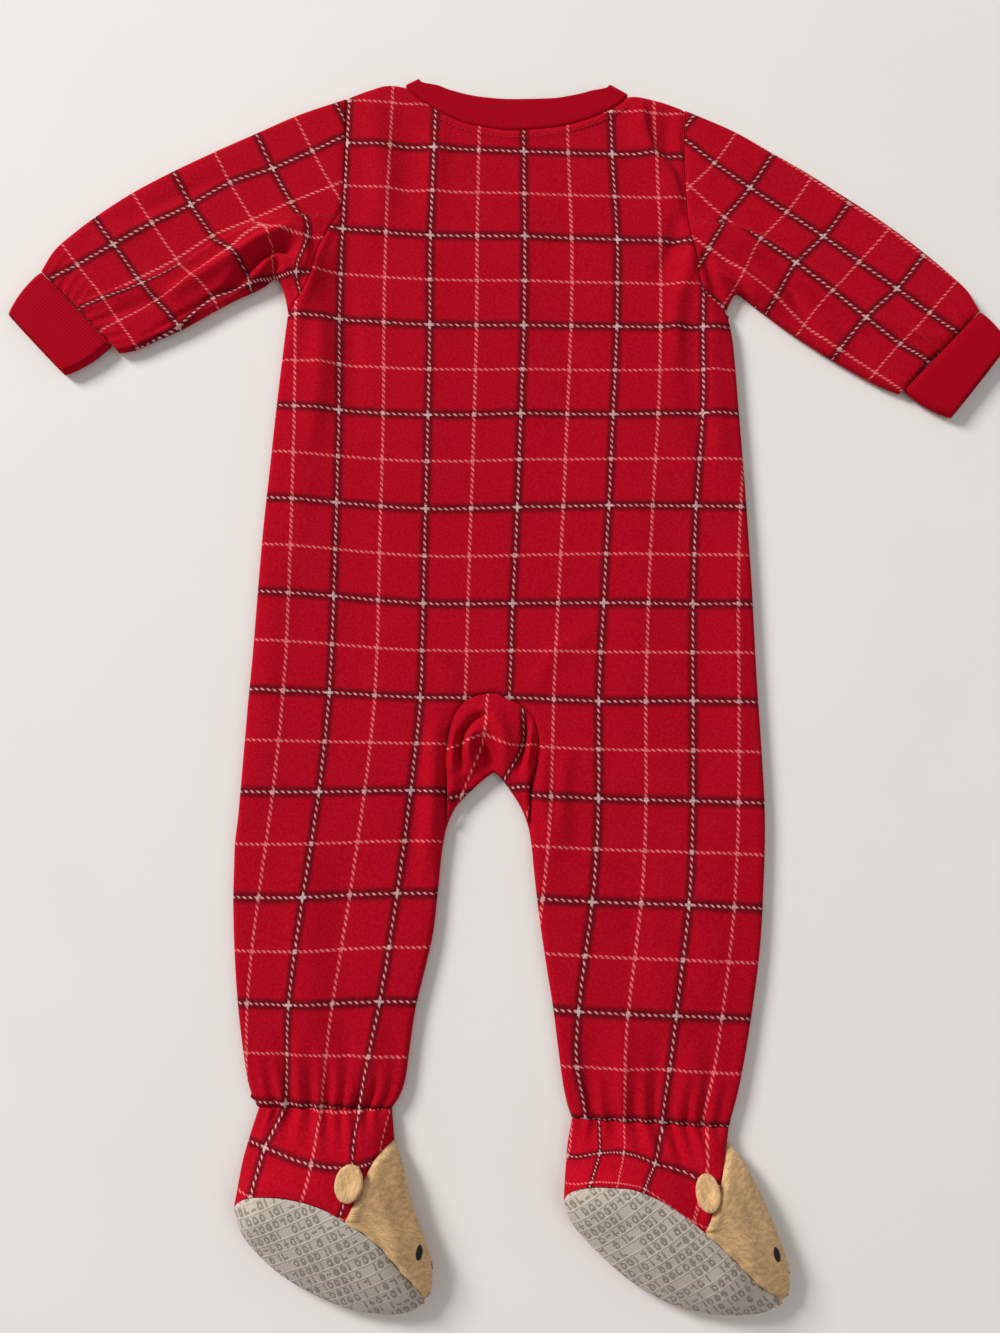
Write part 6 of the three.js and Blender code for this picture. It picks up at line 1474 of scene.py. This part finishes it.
def laid_on(surface, normals, centre, across, along_way, half_width, half_length, height, name, material):
    """An oval of satin stitches on a curved surface: a domed disc whose points lie on the surface's
    nearest points, each moved out along the surface's own normal."""
    rings = np.array([(0, 1), (0.3, 0.97), (0.6, 0.84), (0.82, 0.6), (0.95, 0.3), (1.0, -0.2)])
    angle = np.linspace(0, 2 * np.pi, 33)
    a, b = rings[:, :1] * half_width * np.cos(angle), rings[:, :1] * half_length * np.sin(angle)
    p = centre + a[..., None] * across + b[..., None] * along_way
    flat = p.reshape(-1, 3)
    cloud, ways = surface.reshape(-1, 3), normals.reshape(-1, 3)
    d = ((flat[:, None] - cloud[None]) ** 2).sum(-1)
    k = np.argsort(d, axis=1)[:, :4]
    near = np.take_along_axis(d, k, 1)
    weight = 1 / (near + 0.05)
    weight /= weight.sum(1, keepdims=True)
    foot = (cloud[k] * weight[..., None]).sum(1)
    way = (ways[k] * weight[..., None]).sum(1)
    way /= np.linalg.norm(way, axis=1, keepdims=True)
    out = ((flat - foot) * way).sum(1)[:, None]
    on = flat - out * way + way * (rings[:, 1].repeat(len(angle))[:, None] * height)
    points = on.reshape(len(rings), len(angle), 3)
    uv = np.stack([a, b], axis=-1)
    return make(name, [block(points, uv)], material, inside=tuple(centre - way.mean(0) * 20))


def grid_normals(p):
    """The way out of a grid surface at each of its points, in the sense of its rows and columns."""
    n = np.cross(np.gradient(p, axis=1), np.gradient(p, axis=0))
    return n / np.maximum(np.linalg.norm(n, axis=-1, keepdims=True), 1e-9)


def stitches(name, path, normals, gap, length, radius, material, body="root"):
    """A row of stitches: short rounded threads end to end along a path, half sunk in the cloth."""
    path, normals = np.asarray(path, float), np.asarray(normals, float)
    at = np.concatenate([[0], np.cumsum(np.linalg.norm(np.diff(path, axis=0), axis=1))])
    starts = np.arange(0.5, at[-1] - length, length + gap)
    mids = starts + length / 2
    centre = np.stack([np.interp(mids, at, c) for c in path.T], -1)
    ahead = np.stack([np.interp(mids + 0.4, at, c) for c in path.T], -1) - centre
    ahead /= np.linalg.norm(ahead, axis=1, keepdims=True)
    up = np.stack([np.interp(mids, at, c) for c in normals.T], -1)
    up /= np.linalg.norm(up, axis=1, keepdims=True)
    side = np.cross(up, ahead)
    rings = np.array([(-0.5, 0.15, -0.5), (-0.34, 0.9, 0.1), (0, 1, 0.25), (0.34, 0.9, 0.1), (0.5, 0.15, -0.5)])
    angle = np.linspace(0, 2 * np.pi, 7)[:-1]
    run, wide, high = rings[:, 0, None] * length, rings[:, 1, None] * radius, rings[:, 2, None] * radius
    a, b = wide * np.cos(angle), wide * np.sin(angle) + high
    shape = (centre[:, None, None] + run[None, ..., None] * ahead[:, None, None]
             + a[None, ..., None] * side[:, None, None] + b[None, ..., None] * up[:, None, None])
    count, rows, columns = shape.shape[:3]
    i = np.arange(rows * columns).reshape(rows, columns)
    j = np.roll(i, -1, axis=1)
    quads = np.stack([i[:-1], j[:-1], j[1:], i[1:]], -1).reshape(-1, 4)
    faces = (quads[None] + (np.arange(count) * rows * columns)[:, None, None]).reshape(-1, 4)
    mesh = bpy.data.meshes.new(name)
    caps = [list(range(5, -1, -1)), list(range((rows - 1) * 6, rows * 6))]
    polygons = faces.tolist() + [[v + k * rows * columns for v in cap] for k in range(count) for cap in caps]
    mesh.from_pydata(((shape.reshape(-1, 3) - MIDDLE) / 1000).tolist(), [], polygons)
    layer = mesh.uv_layers.new(name="plaid")
    loops = np.empty(len(mesh.loops), int)
    mesh.loops.foreach_get("vertex_index", loops)
    along_uv = np.broadcast_to(run * 0.6, (rows, columns)).ravel()
    layer.data.foreach_set("uv", np.stack([along_uv[loops % (rows * columns)], 0 * loops], -1).ravel())
    mesh.polygons.foreach_set("use_smooth", np.ones(len(mesh.polygons), bool))
    mesh.materials.append(material)
    piece = bpy.data.objects.new(name, mesh)
    bpy.context.scene.collection.objects.link(piece)
    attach(piece, body)
    return piece


# ---------------------------------------------------------------------------------------------
# Sizes and colours that can be changed
# ---------------------------------------------------------------------------------------------
class SleeperSizes(bpy.types.PropertyGroup):
    cell: FloatProperty(name="Mesh cell", description="Width of one cell of the cloth's mesh",
                        default=0.0021, min=0.0015, max=0.006, unit="LENGTH")
    back_wall: FloatProperty(name="Back wall", description="Thickness of the back's cloth",
                             default=0.0016, min=0.0008, max=0.0024, unit="LENGTH")
    front_wall: FloatProperty(name="Front wall", description="Thickness of the fronts' cloth",
                              default=0.0016, min=0.0008, max=0.0024, unit="LENGTH")
    rib_wall: FloatProperty(name="Cuff wall", description="Thickness of the cuffs' rib",
                            default=0.0014, min=0.0008, max=0.0026, unit="LENGTH")
    stitch: FloatProperty(name="Stitch length", description="Length of one topstitch",
                          default=0.0021, min=0.001, max=0.005, unit="LENGTH")
    sleeve_columns: IntProperty(name="Sleeve columns", description="Cells across a sleeve",
                                default=54, min=12, max=90)
    sleeve_rows: IntProperty(name="Sleeve rows", description="Cells along a sleeve",
                             default=84, min=20, max=120)


class SleeperColours(bpy.types.PropertyGroup):
    red: FloatVectorProperty(name="Red", description="Ground of the fleece", subtype="COLOR",
                             default=(0.415, 0.0006, 0.011), min=0, max=1)
    black: FloatVectorProperty(name="Black", description="Bands of the plaid", subtype="COLOR",
                               default=(0.022, 0.003, 0.006), min=0, max=1)
    white: FloatVectorProperty(name="White", description="Twisted thread on the bands", subtype="COLOR",
                               default=(0.70, 0.48, 0.46), min=0, max=1)
    pink: FloatVectorProperty(name="Pink", description="Thin threads between the bands", subtype="COLOR",
                              default=(0.80, 0.20, 0.20), min=0, max=1)
    tan: FloatVectorProperty(name="Tan", description="Plush of toe caps and ears", subtype="COLOR",
                             default=(0.80, 0.49, 0.235), min=0, max=1)
    sole: FloatVectorProperty(name="Sole", description="Knit of the soles", subtype="COLOR",
                              default=(0.585, 0.515, 0.44), min=0, max=1)
    mark: FloatVectorProperty(name="Grip marks", description="Grip marks on the soles", subtype="COLOR",
                              default=(0.19, 0.155, 0.125), min=0, max=1)


# ---------------------------------------------------------------------------------------------
# Operators
# ---------------------------------------------------------------------------------------------
def inner_of(points):
    """A point within a laid-out tube or sheet, a little above the surface."""
    p = points.reshape(-1, 3)
    return (p[:, 0].mean(), p[:, 1].mean(), SEAM)


class MakeBack(bpy.types.Operator):
    """The back of torso and legs in plaid fleece, gathered at the ankles"""
    bl_idname = "sleeper.back"
    bl_label = "Back"

    def execute(self, context):
        sizes = context.scene.sleeper_sizes
        blocks = back_piece(sizes.cell * 1000)
        piece = make("back_cloth", blocks, finishes()["fleece"], (0, 0, -200), sizes.back_wall * 1000, replaces=["back"])
        return {"FINISHED"}


class MakeFronts(bpy.types.Operator):
    """The two fronts, which lie on the surface on both sides of the zip"""
    bl_idname = "sleeper.fronts"
    bl_label = "Fronts"

    def execute(self, context):
        sizes = context.scene.sleeper_sizes
        made = front_pieces(sizes.cell * 1000 * 1.35)
        for side, flat, area in (("left", (0.153, 0.588), 0.0553), ("right", (0.238, 0.59), 0.0795)):
            piece = make(f"front_{side}_cloth", made[side], finishes()["fleece"], (0, 0, 200),
                         sizes.front_wall * 1000, replaces=[f"front_{side}"])
        return {"FINISHED"}


class MakeGusset(bpy.types.Operator):
    """The bunched gusset in the arch between the legs"""
    bl_idname = "sleeper.gusset"
    bl_label = "Crotch gusset"

    def execute(self, context):
        piece = make("gusset_cloth", gusset_piece(), finishes()["fleece"], (0, -40, -100), 0.9, replaces=["crotch_gusset"])
        return {"FINISHED"}


class MakeSleeves(bpy.types.Operator):
    """Both sleeves with their rib cuffs, each a tube laid flat"""
    bl_idname = "sleeper.sleeves"
    bl_label = "Sleeves and cuffs"

    def execute(self, context):
        sizes = context.scene.sleeper_sizes
        for side in ("left", "right"):
            blocks = sleeve_piece(side, sizes.sleeve_columns, sizes.sleeve_rows)
            piece = make(f"sleeve_{side}_cloth", blocks_turned(blocks), finishes()["fleece"], inner_of(blocks[0]["points"]),
                         1.5, replaces=[f"sleeve_{side}"])
            blocks = cuff_piece(side)
            piece = make(f"cuff_{side}_rib", blocks_turned(blocks), finishes()["rib"], inner_of(blocks[0]["points"]),
                         sizes.rib_wall * 1000, replaces=[f"cuff_{side}"])
        return {"FINISHED"}


class MakeNeckband(bpy.types.Operator):
    """The folded rib band round the neck; its topstitches come with the Stitching step"""
    bl_idname = "sleeper.neckband"
    bl_label = "Neckband"

    def execute(self, context):
        blocks = band_piece()
        piece = make("neckband_rib", blocks, finishes()["rib"], (8, 320, SEAM), 1.1, replaces=["neckband"])
        outward_rows(piece)
        return {"FINISHED"}


class MakeFeet(bpy.types.Operator):
    """Both feet: plaid upper, padded sole with grip marks, plush toe cap, ears and stitched eyes"""
    bl_idname = "sleeper.feet"
    bl_label = "Feet"

    def execute(self, context):
        look = finishes()
        for side in ("left", "right"):
            surfaces = foot_surfaces(side)
            f = FEET[side]
            middle = (np.array(f["heel"]) + np.array(f["toe"]) + np.array(f["apex"])) / 3
            middle = (middle[0], middle[1] + 12, 9)
            upper = upper_piece(side, surfaces)
            piece = make(f"foot_upper_{side}_cloth", upper, look["fleece"], middle, 1.2, replaces=[f"foot_upper_{side}"])
            sole = sole_piece(side, surfaces)
            piece = make(f"sole_{side}_knit", sole, look["sole"], middle, 1.8, replaces=[f"sole_{side}"])
            cap = cap_piece(side, surfaces)
            centre = cap[0]["points"].reshape(-1, 3).mean(0)
            piece = make(f"toe_cap_{side}_plush", cap, look["plush"], (centre[0], centre[1], 8), 1.4,
                         replaces=[f"toe_cap_{side}"])
            (x, y), half_width, half_length, turn, above = EARS[side]
            place, normal = ear_place(surfaces["upper_top"], x, y)
            place = place + normal * (1.7 + above)
            ear = make(f"ear_{side}_plush", ear_piece(place, normal, half_width, half_length, 3.4, turn), look["plush"],
                       place, replaces=[f"ear_{side}"])
            below = np.array([*f["ear_under"], EAR_UNDER["thick"] / 2])
            ear = make(f"ear_under_{side}_plush", ear_piece(below, (0, 0, -1), EAR_UNDER["radius"], EAR_UNDER["radius"],
                                                           EAR_UNDER["thick"], 0), look["plush"], below,
                       replaces=[f"ear_under_{side}"])
            over = np.vstack([cap[0]["points"], cap[1]["points"][1:]])
            ways = np.vstack([grid_normals(part["points"]) * sign for part, sign in zip(cap, (1, -1))])
            ways = np.delete(ways, len(cap[0]["points"]), axis=0)
            ways *= np.sign((ways * (over - np.array([centre[0], centre[1], 8]))).sum())
            for k, eye in enumerate(f["eyes"]):
                d = ((over - np.array(eye)) ** 2).sum(-1)
                i, j = np.unravel_index(d.argmin(), d.shape)
                centre, way = over[i, j], ways[i, j]
                line = np.cross(way, (0.35, 1, 0.0) if side == "left" else (-0.35, 1, 0))
                line = line / np.linalg.norm(line)
                laid_on(over, ways, centre, line, np.cross(way, line), 2.2, 3.9, 0.7, f"eye_{side}_{k}", look["eye"])
        return {"FINISHED"}


class MakeZip(bpy.types.Operator):
    """The zip beneath: woven tape, coil teeth, and the finish of slider and pull tab"""
    bl_idname = "sleeper.zip"
    bl_label = "Zip"

    def execute(self, context):
        look = finishes()
        y = np.linspace(ZIP_FROM, ZIP_TO, 240)
        slope = zip_x(y + 0.5) - zip_x(y - 0.5)
        side = np.stack([1 / np.hypot(1, slope), -slope / np.hypot(1, slope)], -1)
        section = np.array([(-9, 3.4), (0, 3.4), (9, 3.4), (9, 3.05), (9, 2.7), (5, 2.7), (2.7, 2.7), (2.5, 2.3), (0, 2.25),
                            (-2.5, 2.3), (-2.7, 2.7), (-5, 2.7), (-9, 2.7), (-9, 3.05), (-9, 3.4)])
        p = np.empty((len(y), len(section), 3))
        p[..., 0] = zip_x(y)[:, None] + side[:, :1] * section[:, 0]
        p[..., 1] = y[:, None] + side[:, 1:] * section[:, 0]
        p[..., 2] = section[:, 1]
        run = np.concatenate([[0], np.cumsum(np.hypot(np.diff(y), np.diff(zip_x(y))))])
        uv = np.stack([np.broadcast_to(section[:, 0], p.shape[:2]), np.broadcast_to(run[:, None], p.shape[:2])], -1)
        mid = p.mean(1, keepdims=True)
        p = np.concatenate([mix(mid, p, 0.02)[:1], p, mix(mid, p, 0.02)[-1:]])
        uv = np.concatenate([uv[:1], uv, uv[-1:]])
        tape = make("zip_tape", [block(p, uv)], look["tape"], (zip_x(20.0), 20, 3), replaces=["zip"])
        outward_rows(tape)
        for way, name in ((-1, "zip_coil_left"), (1, "zip_coil_right")):
            path = np.stack([zip_x(y) + side[:, 0] * way * 1.05, y + side[:, 1] * way * 1.05, 2.0 + 0 * y], -1)
            coil = stitches(name, path, np.tile((0, 0, -1.0), (len(y), 1)), 0.55, 0.85, 1.0, look["lacquer"])
        for node in ("zip_slider", "zip_pull"):
            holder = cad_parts[node]
            for index in range(len(holder.material_slots)):
                holder.material_slots[index].material = look["lacquer"]
        return {"FINISHED"}


class MakeStitching(bpy.types.Operator):
    """Topstitches beside the neckband's seam"""
    bl_idname = "sleeper.stitching"
    bl_label = "Stitching"

    def execute(self, context):
        look = finishes()
        length = context.scene.sleeper_sizes.stitch * 1000
        neck = curve(BACK_NECKLINE[:, 0], BACK_NECKLINE[:, 1])
        x = np.linspace(NECK[0] + 5, NECK[1] - 5, 160)
        line = aside(np.stack([x, neck(x)], -1), -4.6)
        z = TOP + 0.38 + crease_lift(line[:, 0], line[:, 1]) + fold_lift(line[:, 0], line[:, 1], FOLDS["body"])
        path = np.column_stack([line, z])
        stitches("neck_topstitch", path, np.tile((0, 0, 1.0), (len(x), 1)), 0.5, length, 0.28, look["thread"])
        return {"FINISHED"}


class MakeStage(bpy.types.Operator):
    """The pale surface, the soft lights and the camera"""
    bl_idname = "sleeper.stage"
    bl_label = "Stage"

    def execute(self, context):
        scene = context.scene
        mesh = bpy.data.meshes.new("surface")
        side, drop = 3.0, -0.0002
        mesh.from_pydata([(-side, -side, drop), (side, -side, drop), (side, side, drop), (-side, side, drop)], [], [(0, 1, 2, 3)])
        mesh.materials.append(floor_finish("surface", (0.80, 0.775, 0.75), (0.76, 0.735, 0.71)))
        ground = bpy.data.objects.new("surface", mesh)
        scene.collection.objects.link(ground)
        scene.view_settings.view_transform = "Standard"
        for name, place, size, power in (("light_key", (-3.6, 2.8, 2.5), 1.5, 318), ("light_fill", (3.0, -1.6, 3.6), 3.0, 36)):
            lamp = bpy.data.lights.new(name, "AREA")
            lamp.energy, lamp.size = power, size
            lamp.color = (1.0, 0.985, 0.965)
            item = bpy.data.objects.new(name, lamp)
            item.location = place
            way = -np.array(place)
            item.rotation_mode = "QUATERNION"
            from mathutils import Vector
            item.rotation_quaternion = Vector(way).to_track_quat("-Z", "Y")
            scene.collection.objects.link(item)
        world = bpy.data.worlds.new("room")
        world.use_nodes = True
        world.node_tree.nodes["Background"].inputs[0].default_value = (1.0, 0.99, 0.98, 1)
        world.node_tree.nodes["Background"].inputs[1].default_value = 0.34
        scene.world = world
        eye = bpy.data.cameras.new("camera")
        eye.lens, eye.sensor_width = 1200 * 36 / 1333, 36
        eye.clip_start, eye.clip_end = 0.01, 20
        camera = bpy.data.objects.new("camera", eye)
        tilt = np.radians(7.5)
        camera.location = (np.array([0, -672 * np.sin(tilt), 672 * np.cos(tilt)]) - MIDDLE) / 1000
        camera.rotation_euler = (tilt, 0, 0)
        scene.collection.objects.link(camera)
        scene.camera = camera
        return {"FINISHED"}


def blocks_turned(blocks):
    """A tube's top and bottom grids share both edges: the bottom one is read the other way round."""
    return [blocks[0], {**blocks[1], "flip": True}]


def outward_rows(piece):
    """Faces of a closed strip recalculated to point out."""
    shape = bmesh.new()
    shape.from_mesh(piece.data)
    bmesh.ops.holes_fill(shape, edges=[e for e in shape.edges if e.is_boundary], sides=0)
    bmesh.ops.recalc_face_normals(shape, faces=shape.faces)
    shape.to_mesh(piece.data)
    shape.free()


class SleeperPanel(bpy.types.Panel):
    bl_idname = "VIEW3D_PT_sleeper"
    bl_label = "Footed sleeper"
    bl_space_type = "VIEW_3D"
    bl_region_type = "UI"
    bl_category = "Sleeper"

    def draw(self, context):
        for group in (context.scene.sleeper_sizes, context.scene.sleeper_colours):
            box = self.layout.box()
            for name in group.__annotations__:
                box.prop(group, name)
        for operator in STEPS:
            self.layout.operator(operator.bl_idname)


STEPS = (MakeBack, MakeFronts, MakeGusset, MakeSleeves, MakeNeckband, MakeFeet, MakeZip, MakeStitching, MakeStage)
CLASSES = (SleeperSizes, SleeperColours, *STEPS, SleeperPanel)


def register():
    for cls in CLASSES:
        bpy.utils.register_class(cls)
    bpy.types.Scene.sleeper_sizes = PointerProperty(type=SleeperSizes)
    bpy.types.Scene.sleeper_colours = PointerProperty(type=SleeperColours)


def unregister():
    del bpy.types.Scene.sleeper_colours
    del bpy.types.Scene.sleeper_sizes
    for cls in reversed(CLASSES):
        bpy.utils.unregister_class(cls)


def main():
    """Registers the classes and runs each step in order."""
    register()
    for name in ("back", "fronts", "gusset", "sleeves", "neckband", "feet", "zip", "stitching", "stage"):
        getattr(bpy.ops.sleeper, name)()


if __name__ == "__main__":
    main()
